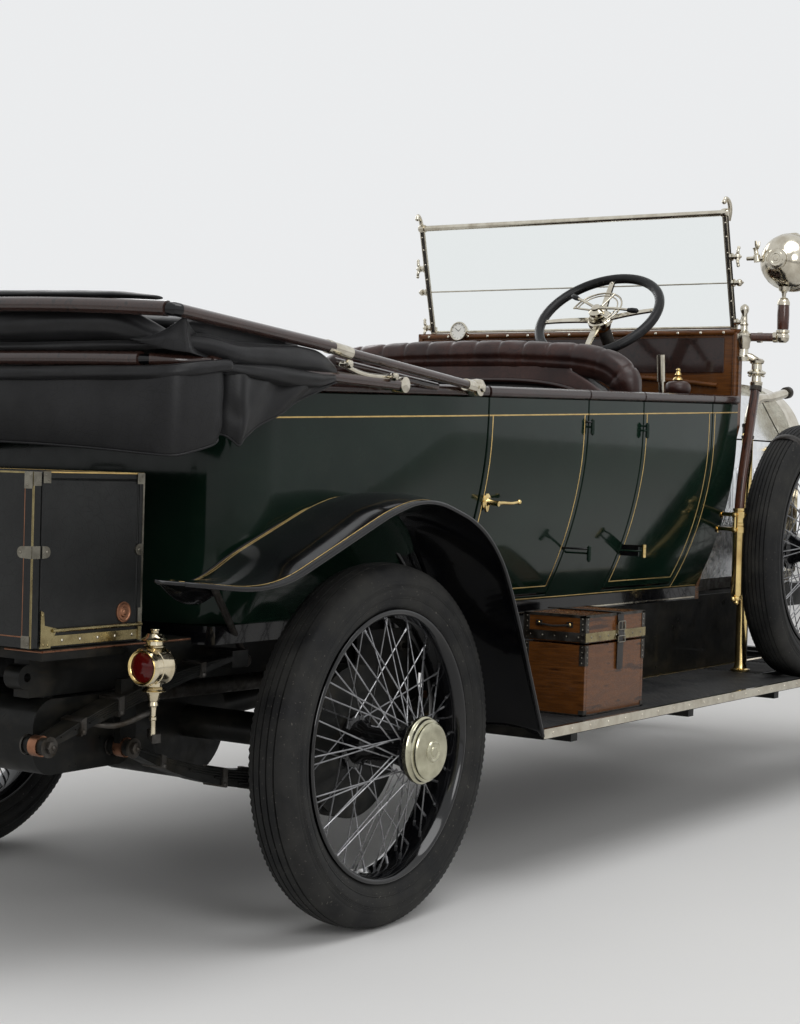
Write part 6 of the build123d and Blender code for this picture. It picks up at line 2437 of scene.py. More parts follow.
                ripple = 1 + 0.3 * wrinkle((t * 3, u * 2, 0), 1.5, 5.0)
                swell = 0.014 * math.sin(math.pi * u) * math.sin(math.pi * min(t * 1.1, 1)) * ripple
                row.append((along(p.x - swell * 0.6), p.y + side * swell * 0.5, p.z))
            rows.append(row)
        for i in range(1, 12):
            t = i / 11
            dip = math.sin(math.pi * t)
            top = peak.lerp(Vector((-0.570, side * 0.690, 1.398)), t) + Vector(
                (0, -side * 0.020 * dip, -0.020 * dip)
            )
            base = foot.lerp(Vector((-0.560, side * 0.700, 1.350)), t) + Vector(
                (0, -side * 0.012 * dip, 0.0)
            )
            row = []
            for k in range(11):
                u = k / 10
                p = base.lerp(top, u)
                row.append((along(p.x), p.y - side * 0.014 * dip * math.sin(math.pi * u), p.z))
            rows.append(row)
        shape.grid(rows)
        made = self.dress(
            f"hood_peak_{hand}", shape, [Finishes.hood], "car", smooth=70, thick=0.0026, subdivide=1
        )

    def roll(
        self, name: str, path: Sequence[Point], sizes: Sequence[tuple[float, float]], seed: float,
        crease: float, stands_for: Sequence[str] = (), slope: float = 0.0,
    ) -> None:
        """A long soft fold of cloth.

        Args:
            name: Piece name.
            path: Points of its middle.
            sizes: Half height and half depth at each point.
            seed: Variation of its creases.
            crease: Depth of its creases.
            stands_for: Construction nodes that it replaces.
            slope: Rise of its section per metre forward.
        """
        line = resample_path(curve(path, 8), 0.012)
        many = len(line)
        marks = np.linspace(0, 1, len(sizes))
        rows = []
        for i, p in enumerate(line):
            share = i / (many - 1)
            tall = float(np.interp(share, marks, [a for a, _ in sizes]))
            deep = float(np.interp(share, marks, [b for _, b in sizes]))
            way = (line[min(i + 1, many - 1)] - line[max(i - 1, 0)]).normalized()
            across = Vector((way.y, -way.x, 0)).normalized()
            across.z = slope * across.x
            end = min(min(i, many - 1 - i) / 3, 1.0)
            row = []
            for k in range(32):
                angle = math.tau * k / 32
                c, s = math.cos(angle), math.sin(angle)
                run = share * many * 0.012
                fold = wrinkle((run * 1.6, c * 0.8, s * 0.8 + deep), 2.6, seed)
                fine = wrinkle((run * 7.0, c * 1.5, s * 1.5), 1.9, seed + 9)
                grow = (crease * fold + crease * 0.35 * fine) * end
                row.append(
                    Vector((along(p.x), p.y, p.z)) + across * (c * (deep + grow)) + Vector(
                        (0, 0, s * (tall + grow))
                    )
                )
            rows.append(row)
        shape = Shape()
        shape.grid(rows, wrap=True, caps=True)
        made = self.dress(name, shape, [Finishes.hood], "car", stands_for, smooth=80, subdivide=1)

    def curtain(self) -> None:
        """The rear curtain under a rolled edge, with its hanging corner pockets."""
        side_line = [
            (-0.180, 0.688, 1.330, 1.322), (-0.275, 0.692, 1.322, 1.290), (-0.378, 0.694, 1.318, 1.248),
            (-0.458, 0.696, 1.316, 1.216), (-0.510, 0.700, 1.320, 1.190), (-0.544, 0.704, 1.328, 1.168),
            (-0.566, 0.684, 1.330, 1.184), (-0.578, 0.664, 1.332, 1.192), (-0.590, 0.682, 1.332, 1.176),
            (-0.620, 0.688, 1.332, 1.166), (-0.672, 0.684, 1.329, 1.153), (-0.720, 0.674, 1.324, 1.143),
            (-0.745, 0.646, 1.322, 1.142),
        ]
        rear_line = [
            (-0.753, y, 1.320, 1.164 - 0.020 * (abs(y) / 0.6) ** 2) for y in np.linspace(0.59, -0.59, 13)
        ]
        stations = [(x, -y, a, b) for x, y, a, b in side_line]
        stations += [(x, -y, a, b) for x, y, a, b in rear_line]
        stations += [(x, y, a, b) for x, y, a, b in reversed(side_line)]
        tops = curve([(x, y, a) for x, y, a, _ in stations], 7)
        feet = curve([(x, y, b) for x, y, _, b in stations], 7)
        many, levels = len(tops), 14
        rows = []
        for i, (a, b) in enumerate(zip(tops, feet)):
            way = (tops[min(i + 1, many - 1)] - tops[max(i - 1, 0)]).normalized()
            out = Vector((way.y, -way.x, 0))
            if out.dot(Vector((a.x + 0.35, a.y, 0))) < 0:
                out = -out
            pocket = math.exp(-((a.x + 0.560) / 0.045) ** 2)
            forward = min(max((a.x + 0.52) / 0.10, 0.0), 1.0)
            row = []
            for k in range(levels + 1):
                t = k / levels
                p = a.lerp(b, t)
                p.x = along(p.x)
                belly = 0.006 * math.sin(math.pi * t) - 0.010 * t
                folds = 0.010 * pocket * wrinkle((a.x * 22, a.y, t * 2.0), 1.6, 3.0) * t
                folds += 0.011 * forward * math.sin(a.x * 36 + t * 3.4) * (1 - t * 0.5)
                folds += 0.0012 * wrinkle((a.x * 3, a.y * 3, t), 2.0, 8.0) * math.sin(math.pi * t)
                row.append(p + out * (belly + folds))
            rows.append(row)
        shape = Shape()
        shape.grid(rows)
        made = self.dress(
            "hood_curtain", shape, [Finishes.hood], "car", smooth=80, thick=0.0024, subdivide=1
        )
        binding = Shape()
        binding.tube([r[-1] for r in rows], 0.0026, 8)
        self.dress("hood_curtain_binding", binding, [Finishes.hood], "car")
        edge = [
            (-0.578, -0.694, 1.344), (-0.606, -0.691, 1.342), (-0.650, -0.685, 1.336),
            (-0.698, -0.675, 1.329), (-0.738, -0.640, 1.321),
        ]
        rear = [(-0.750, y, 1.318) for y in np.linspace(-0.55, 0.55, 9)]
        path = edge + rear + [(x, -y, z) for x, y, z in reversed(edge)]
        sizes = [(0.0135, 0.0125)] + [(0.0165, 0.015)] * (len(path) - 2) + [(0.0135, 0.0125)]
        self.roll("hood_curtain_roll", path, sizes, 57.0, 0.002)


# Seats


@dataclass
class Seats(Assembly):
    """Leather cushions, backs and the pleated roll over the front seat."""

    voxel: float = 0.014
    pressure: float = 4.0
    frames: int = 20
    roll_line: Sequence[tuple[float, float]] = (
        (0.603, 1.388), (0.585, 1.432), (0.536, 1.468), (0.430, 1.492), (0.220, 1.504), (0.0, 1.507),
    )

    def build(self) -> None:
        """Makes all the seats."""
        self.build_roll()
        self.build_front_back()
        self.cushion("front_cushion", (1.575, 1.976), 0.532, (1.022, 1.150), ["front_seat"], 0.018)
        self.cushion("rear_cushion", (-0.235, 0.266), 0.532, (1.022, 1.150), ["rear_seat"], 0.018)
        self.build_rear_back()
        self.build_boxes()

    def build_roll(self) -> None:
        """The pleated roll along the top of the front seat's back."""
        x = along(1.506)
        half = [(x, -y, z) for y, z in self.roll_line]
        route = [
            (x, -0.606, 1.352), *half, *[(p[0], -p[1], p[2]) for p in reversed(half[:-1])], (x, 0.606, 1.352)
        ]
        line = resample_path(curve(route, 14), 0.006)
        many, pleat = len(line), 15
        rows = []
        for i, p in enumerate(line):
            ahead, back = line[min(i + 1, many - 1)], line[max(i - 1, 0)]
            way = (ahead - back).normalized()
            up = Vector((1, 0, 0)).cross(way).normalized()
            up = up if up.z > 0 or abs(up.z) < 0.2 and up.y * p.y > 0 else -up
            share = i / (many - 1) * pleat
            near = abs(share - round(share))
            pinch = 0.0046 * math.exp(-((near / 0.030) ** 2)) + 0.0018 * math.exp(-((near / 0.13) ** 2))
            end = min(min(i, many - 1 - i) / 10, 1.0)
            row = []
            for k in range(54):
                angle = math.tau * k / 54
                wave = 0.0022 * wrinkle((p.y * 8, angle, share), 1.6, 2.0)
                wave -= 0.0048 * math.exp(-((angle - 4.42) / 0.09) ** 2) * end
                r = (0.0415 - pinch * (0.6 + 0.4 * math.cos(angle)) + wave) * (0.45 + 0.55 * math.sqrt(end))
                long = 1.0 if math.cos(angle) > 0 else 1.0 + 0.55 * end
                row.append(
                    p + Vector((1, 0, 0)) * math.sin(angle) * r * 1.02 + up * math.cos(angle) * r * long
                )
            rows.append(row)
        shape = Shape()
        shape.grid(rows, wrap=True, caps=True)
        made = self.dress("seat_roll_leather", shape, [Finishes.leather], "car", ["seat_roll"], smooth=75)

    def back_half(self, z: float) -> float:
        """Half width of the front seat's back at a height.

        Args:
            z: Height.

        Returns:
            Half the width.
        """
        if z < 1.290:
            return 0.572
        share = min((z - 1.290) / 0.154, 1.0)
        return 0.572 - 0.160 * share**2.2

    def moulding(self, y: float) -> float:
        """Height of the wood strip behind the front seat."""
        return 1.418 - 0.105 * (abs(y) / 0.572) ** 4

    def build_front_back(self) -> None:
        """The front seat's padded back: pleats in front, plain panel and wood strip behind."""
        rows, pleats = [], 11
        for i in range(31):
            z = mixed(1.165, 1.455, i / 30)
            row = []
            for j in range(pleats * 12 + 1):
                share = j / (pleats * 12)
                half = min(self.back_half(z), 0.5505)
                y = mixed(-half, half, share)
                pad = abs(math.sin(math.pi * share * pleats)) ** 0.5
                fall = math.sin(math.pi * min(max(i / 30, 0.03), 0.97)) ** 0.3
                row.append((along(1.546) + (0.024 * pad * fall), y, z))
            rows.append(row)
        shape = Shape()
        shape.grid(rows)
        for mark, low, high in ((1, lambda y: 1.010, self.moulding), (0, self.moulding, lambda y: 1.4620)):
            rear = []
            for i in range(19):
                row = []
                for j in range(41):
                    y = mixed(-0.572, 0.572, j / 40)
                    for _ in range(3):
                        z = mixed(low(y), high(y), i / 18)
                        half = self.back_half(z)
                        y = mixed(-half, half, j / 40)
                    share = (z - 1.010) / 0.452
                    dome = 0.010 * math.cos(math.pi * y / (2 * half)) * math.sin(math.pi * share)
                    row.append((along(1.4740) - dome - 0.001 * wrinkle((y, z, 0), 9.0), y, z))
                rear.append(row)
            shape.grid(rear, mark=mark)
        finishes = [Finishes.leather, Finishes.black_hide]
        made = self.dress(
            "front_back_leather", shape, finishes, "car", ["front_seat"], smooth=60, thick=0.006
        )
        core = Shape()
        outline = [(self.back_half(z) - 0.004, z) for z in np.linspace(1.012, 1.455, 16)]
        ring = [(-y, z) for y, z in outline] + [(y, z) for y, z in reversed(outline)]
        core.hexa([(along(1.478), y, z) for y, z in ring], [(along(1.544), y, z) for y, z in ring])
        self.dress("front_back_core", core, [Finishes.black_hide], "car", bevel=0.006)
        strip = Shape()
        spots = [(along(1.4625), y, self.moulding(y)) for y in np.linspace(-0.568, 0.568, 15)]
        strip.tube(curve(spots, 5), 0.0085, 12)
        self.dress("front_back_moulding", strip, [Finishes.rail], "car")

    def build_rear_back(self) -> None:
        """The rear seat's pleated back."""
        rows, pleats = [], 9
        for i in range(31):
            z = mixed(1.165, 1.305, i / 30)
            half = 0.500 - 0.055 * max((z - 1.24) / 0.06, 0) ** 2 if z > 1.24 else 0.500
            row = []
            for j in range(pleats * 12 + 1):
                share = j / (pleats * 12)
                y = mixed(-half, half, share)
                pad = abs(math.sin(math.pi * share * pleats)) ** 0.5
                fall = math.sin(math.pi * min(max(i / 30, 0.02), 0.98)) ** 0.35
                row.append((along(-0.262) + 0.024 * pad * fall, y, z + 0.006 * pad * (i / 30)))
            rows.append(row)
        shape = Shape()
        shape.grid(rows)
        top = rows[-1]
        shape.grid(
            [
                top, [(along(-0.340), p[1], p[2] + 0.006) for p in top],
                [(along(-0.344), p[1], 1.15) for p in top],
            ]
        )
        made = self.dress(
            "rear_back_leather", shape, [Finishes.leather], "car", ["rear_seat"], smooth=60, thick=0.005
        )

    def build_boxes(self) -> None:
        """The seat boxes under the cushions."""
        shape = Shape()
        for x0, x1 in ((1.463, 1.950), (-0.344, 0.240)):
            shape.block((along(x0), -0.460, 0.7455), (along(x1), 0.460, 1.010))
            shape.block((along(x0 + 0.07), -0.536, 1.010), (along(x1 + 0.026), 0.536, 1.024))
        self.dress("seat_boxes", shape, [Finishes.leather], "car", bevel=0.006)

    def cushion(
        self, name: str, reach: tuple[float, float], half: float, heights: tuple[float, float],
        stands_for: Sequence[str], cap: float,
    ) -> None:
        """A seat cushion, puffed as cloth under pressure, then given its seams.

        Args:
            name: The piece's name.
            reach: Where it starts and ends along the car.
            half: Half its width.
            heights: Height of its foot and of its top.
            stands_for: Construction nodes that it replaces.
            cap: The most that a point may swell.
        """
        shape = Shape()
        low, high = heights
        rows = []
        for z, inset in (
            (low, 0.010), (low + 0.02, 0.0), (high - 0.035, 0.0), (high - 0.012, 0.012),
            (high - 0.004, 0.030),
        ):
            rows.append(self.outline(reach, half, inset + 0.006, z))
        shape.grid(rows, wrap=True, caps=True)
        made = self.dress(name, shape, [Finishes.leather], "car", stands_for, smooth=75)
        self.puff(made, cap, low)
        self.sew(made, reach, half, high)

    def outline(self, reach: tuple[float, float], half: float, inset: float, z: float) -> list[Point]:
        """A cushion's outline with round corners at one height.

        Args:
            reach: Where it starts and ends along the car.
            half: Half its width.
            inset: Distance in from the edge.
            z: Height.

        Returns:
            Points of the outline.
        """
        x0, x1, y1 = along(reach[0]) + inset, along(reach[1]) - inset, half - inset
        made, r = [], 0.045
        for cx, cy, start in (
            (x1 - r, y1 - r, 0), (x0 + r, y1 - r, 90), (x0 + r, -y1 + r, 180), (x1 - r, -y1 + r, 270)
        ):
            for k in range(9):
                angle = math.radians(start + 90 * k / 8)
                made.append((cx + r * math.cos(angle), cy + r * math.sin(angle), z))
        return made

    def puff(self, made: bpy.types.Object, cap: float, floor: float) -> None:
        """Swells a closed mesh as cloth under pressure, keeping its foot where it lies.

        Args:
            made: The cushion.
            cap: Furthest that a point may move.
            floor: Height below which points stay.
        """
        scene = bpy.context.scene
        remesh = made.modifiers.new("voxels", "REMESH")
        remesh.mode, remesh.voxel_size = "VOXEL", self.voxel
        graph = bpy.context.evaluated_depsgraph_get()
        start = bpy.data.meshes.new_from_object(made.evaluated_get(graph))
        made.modifiers.clear()
        old, made.data = made.data, start
        rest = np.array([v.co for v in start.vertices])
        cloth = made.modifiers.new("cloth", "CLOTH")
        cloth.settings.use_pressure = True
        cloth.settings.uniform_pressure_force = self.pressure
        cloth.settings.effector_weights.gravity = 0.0
        cloth.settings.quality = 4
        cloth.settings.tension_stiffness = cloth.settings.compression_stiffness = 18.0
        for step in range(1, self.frames + 1):
            scene.frame_set(step)
        graph = bpy.context.evaluated_depsgraph_get()
        swollen = bpy.data.meshes.new_from_object(made.evaluated_get(graph))
        made.modifiers.clear()
        moved = np.array([v.co for v in swollen.vertices]) - rest
        length = np.linalg.norm(moved, axis=1, keepdims=True)
        moved *= np.minimum(1.0, cap / np.maximum(length, 1e-9))
        lying = np.clip((rest[:, 2:3] - floor - 0.004) / 0.05, 0.0, 1.0)
        moved *= lying
        swollen.vertices.foreach_set("co", (rest + moved).astype(np.float32).ravel())
        made.data = swollen
        scene.frame_set(1)
        swollen.materials.clear()
        swollen.materials.append(Finishes.leather.material())
        swollen.shade_smooth()
        bpy.data.meshes.remove(old)
        finer = made.modifiers.new("finer", "SUBSURF")
        finer.levels = finer.render_levels = 1

    def sew(self, made: bpy.types.Object, reach: tuple[float, float], half: float, high: float) -> None:
        """Presses sewn channels into a cushion's top.

        Args:
            made: The cushion.
            reach: Where it starts and ends along the car.
            half: Half its width.
            high: Height of its top.
        """
        mesh = made.data
        points = np.empty(len(mesh.vertices) * 3, np.float32)
        mesh.vertices.foreach_get("co", points)
        points = points.reshape(-1, 3)
        many = 9
        share = (points[:, 1] + half) / (2 * half) * many
        near = np.abs(share - np.round(share)) * 2 * half / many
        inside = (np.abs(points[:, 1]) < half - 0.05) & (points[:, 2] > high - 0.05)
        edge = np.clip((points[:, 0] - along(reach[0]) - 0.02) / 0.05, 0, 1)
        edge *= np.clip((along(reach[1]) - 0.035 - points[:, 0]) / 0.05, 0, 1)
        points[:, 2] -= inside * edge * 0.009 * np.exp(-((near / 0.009) ** 2))
        mesh.vertices.foreach_set("co", points.ravel())


def resample_path(line: Sequence[Vector], step: float) -> Path:
    """The same line with evenly spaced points.

    Args:
        line: Points of the line.
        step: Distance between two points.

    Returns:
        The new points.
    """
    points = np.array([tuple(p) for p in line])
    lengths = np.concatenate([[0.0], np.cumsum(np.linalg.norm(np.diff(points, axis=0), axis=1))])
    places = np.linspace(0.0, lengths[-1], max(int(lengths[-1] / step), 2) + 1)
    return [Vector([float(np.interp(s, lengths, points[:, k])) for k in range(3)]) for s in places]


# Lamps


@dataclass
class TailLamp(Assembly):
    """Rear lamp: nickel drum with a ruby lens, stepped chimney, flange and stem."""

    rear: float = -0.710
    y: float = -0.572
    z: float = 0.675
    radius: float = 0.041

    def build(self) -> None:
        """Makes the lamp and its bracket."""
        r = self.radius
        centre = (along(self.rear), self.y, self.z)
        drum = Shape()
        drum.lathe([
            (0.0030, r * 0.86), (0.0, r * 0.90), (0.0, r * 0.98), (0.004, r * 1.04), (0.012, r * 1.04),
            (0.013, r * 0.95), (0.030, r * 0.95), (0.031, r * 0.99), (0.034, r * 0.99), (0.035, r * 0.95),
            (0.060, r * 0.95), (0.064, r), (0.068, r * 0.98), (0.078, r * 0.82), (0.084, r * 0.50),
            (0.086, 0.0),
        ], centre, (1, 0, 0), 48)
        x = along(self.rear + 0.042)
        stack = [
            (0.030, 0.012), (0.040, 0.018), (0.044, 0.024), (0.046, 0.0245), (0.048, 0.020), (0.056, 0.019),
            (0.058, 0.028), (0.060, 0.0295), (0.062, 0.027), (0.065, 0.0215), (0.073, 0.017),
            (0.075, 0.0085), (0.079, 0.0085), (0.081, 0.0105), (0.083, 0.0100), (0.086, 0.0040),
            (0.0865, 0.0),
        ]
        drum.lathe(stack, (x, self.y, self.z), (0, 0, 1), 32)
        foot = [
            (0.034, 0.018), (0.044, 0.017), (0.050, 0.026), (0.053, 0.0275), (0.056, 0.026), (0.057, 0.018),
            (0.064, 0.015), (0.074, 0.013), (0.078, 0.0100), (0.086, 0.0115), (0.090, 0.0080),
        ]
        drum.lathe(
            [
                *foot, (0.110, 0.0065), (0.112, 0.0085), (0.118, 0.0085), (0.120, 0.0065), (0.152, 0.0070),
                (0.154, 0.0),
            ],
            (x, self.y, self.z), (0, 0, -1), 28,
        )
        self.dress("tail_lamp_case", drum, [Finishes.lamp], "car", ["tail_lamp"], smooth=35)
        ring = Shape()
        ring.lathe(
            [
                (0.002, r * 0.80), (-0.001, r * 0.84), (-0.002, r * 0.93), (0.002, r), (0.006, r * 1.01),
                (0.007, r * 0.90),
            ],
            centre, (1, 0, 0), 48,
        )
        ring.lathe(
            [(0.0575, 0.0290), (0.0590, 0.0302), (0.0605, 0.0290)], (x, self.y, self.z), (0, 0, 1), 32
        )
        ring.lathe(
            [(0.0515, 0.0270), (0.0530, 0.0284), (0.0545, 0.0270)], (x, self.y, self.z), (0, 0, -1), 32
        )
        self.dress("tail_lamp_rings", ring, [Finishes.brass], "car", smooth=50)
        lens = Shape()
        lens.lathe(
            [(0.004, r * 0.82), (0.001, r * 0.60), (-0.001, r * 0.30), (-0.0015, 0.0)], centre, (1, 0, 0), 40
        )
        lens.lathe([(0.010, r * 0.80), (0.0105, 0.0)], centre, (1, 0, 0), 40)
        self.dress("tail_lamp_lens", lens, [Finishes.ruby], "car", smooth=80)
        arm = Shape()
        foot = self.z - 0.150
        arm.tube(curve([
            (x, self.y, foot + 0.052), (x - 0.004, self.y + 0.024, foot + 0.040),
            (x - 0.050, -0.500, foot + 0.016), (x - 0.110, -0.440, foot + 0.030),
        ], 6), 0.0068, 12)
        plate = ((-0.012, -0.010), (0.060, 0.070), (0.080, 0.060), (0.014, -0.012))
        arm.hexa(
            [(x + a, self.y + b, foot - 0.020) for a, b in plate],
            [(x + a, self.y + b, foot) for a, b in plate]
        )
        self.dress("tail_lamp_bracket", arm, [Finishes.iron], "car", bevel=0.001, smooth=50)


@dataclass
class SearchLamp(Assembly):
    """Search lamp with its bowl, swivel, wooden grip and arm."""

    rear: float = 2.170
    y: float = -0.788
    z: float = 1.860
    stem_x: float = 2.252

    def build(self) -> None:
        """Makes the lamp and what carries it."""
        bowl = Shape()
        centre = (along(self.rear), self.y, self.z)
        outside = [
            (0.0, 0.0), (0.0, 0.007), (0.0025, 0.009), (0.0025, 0.015), (0.0005, 0.017), (0.0005, 0.024),
            (0.003, 0.026), (0.004, 0.032), (0.009, 0.034), (0.020, 0.0335), (0.022, 0.036), (0.026, 0.038),
            (0.034, 0.052), (0.044, 0.066), (0.058, 0.079), (0.076, 0.088), (0.098, 0.0925), (0.128, 0.0935),
            (0.146, 0.0935), (0.148, 0.0965), (0.152, 0.0980), (0.166, 0.0980), (0.172, 0.0965),
            (0.175, 0.0920), (0.174, 0.0880), (0.166, 0.0870), (0.160, 0.0865), (0.120, 0.0790),
            (0.080, 0.0600), (0.056, 0.0340), (0.050, 0.0),
        ]
        bowl.lathe(outside, centre, (1, 0, 0), 64)
        z = self.z + 0.094
        bowl.block(
            (along(self.rear + 0.148), self.y - 0.009, z),
            (along(self.rear + 0.170), self.y + 0.009, z + 0.008),
        )
        for k in range(3):
            bowl.lathe(
                [(-0.002, 0.0945), (0.0, 0.0955), (0.002, 0.0945)],
                (along(self.rear + 0.104 + 0.012 * k), self.y, self.z), (1, 0, 0), 64,
            )
        self.dress("search_lamp_bowl", bowl, [Finishes.nickel], "car", ["search_lamp"], smooth=35)
        lens = Shape()
        lens.lathe([(0.166, 0.0875), (0.170, 0.060), (0.172, 0.0)], centre, (1, 0, 0), 48)
        self.dress("search_lamp_lens", lens, [Finishes.glass], "car", smooth=80)
        burner = Shape()
        burner.lathe(
            [
                (0.050, 0.0), (0.050, 0.012), (0.070, 0.010), (0.072, 0.006), (0.078, 0.010), (0.092, 0.011),
                (0.104, 0.006), (0.108, 0.0),
            ],
            centre, (1, 0, 0), 20,
        )
        self.dress("search_lamp_burner", burner, [Finishes.brass], "car")
        x = along(self.stem_x)
        stem = Shape()
        stem.lathe([
            (-0.088, 0.020), (-0.100, 0.018), (-0.104, 0.012), (-0.110, 0.0075), (-0.124, 0.007),
            (-0.126, 0.013), (-0.130, 0.016), (-0.136, 0.019), (-0.140, 0.021), (-0.150, 0.021),
            (-0.152, 0.0),
        ], (x, self.y, self.z), (0, 0, 1), 28)
        stem.lathe([
            (0.0, 0.0), (0.0, 0.012), (0.006, 0.020), (0.014, 0.0225), (0.024, 0.0225), (0.032, 0.0175),
            (0.034, 0.0225), (0.042, 0.0225), (0.044, 0.0),
        ], (x, self.y, 1.5835), (0, 0, 1), 28)
        for gap in (0.0, 0.058):
            stem.lathe(
                [(-0.007, 0.0), (-0.007, 0.018), (0.007, 0.018), (0.007, 0.0)],
                (x, self.y + 0.024 + gap, 1.602), (0, 1, 0), 22,
            )
        post_y, post_z = -0.664, 1.868
        stem.tube(
            [(x - 0.030, self.y + 0.010, self.z), (x - 0.032, -0.700, post_z), (x - 0.034, post_y, post_z)],
            0.0070, 14,
        )
        stem.lathe(
            [
                (-0.012, 0.0), (-0.012, 0.012), (0.010, 0.012), (0.014, 0.008), (0.030, 0.007),
                (0.036, 0.010), (0.040, 0.0),
            ],
            (x - 0.033, -0.700, post_z), (0, 0.2, 1), 20,
        )
        for turn in (-1, 1):
            stem.tube(
                [
                    (x - 0.033, -0.700, post_z + 0.034), (x - 0.033 + turn * 0.012, -0.700, post_z + 0.044),
                    (x - 0.033 + turn * 0.016, -0.700, post_z + 0.058),
                ],
                [0.005, 0.0045, 0.0035], 10,
            )
        self.dress("search_lamp_stem", stem, [Finishes.nickel], "car", smooth=35)
        grip = Shape()
        grip.lathe(
            [
                (0.0, 0.0), (0.0, 0.0185), (0.004, 0.0195), (0.050, 0.0205), (0.084, 0.0195),
                (0.090, 0.0180), (0.090, 0.0),
            ],
            (x, self.y, 1.6275), (0, 0, 1), 28,
        )
        grip.tube(
            [(x, self.y + 0.018, 1.602), (x - 0.012, -0.728, 1.602), (x - 0.030, -0.672, 1.602)], 0.0145, 20
        )
        self.dress("search_lamp_grip", grip, [Finishes.upright], "car", smooth=50)


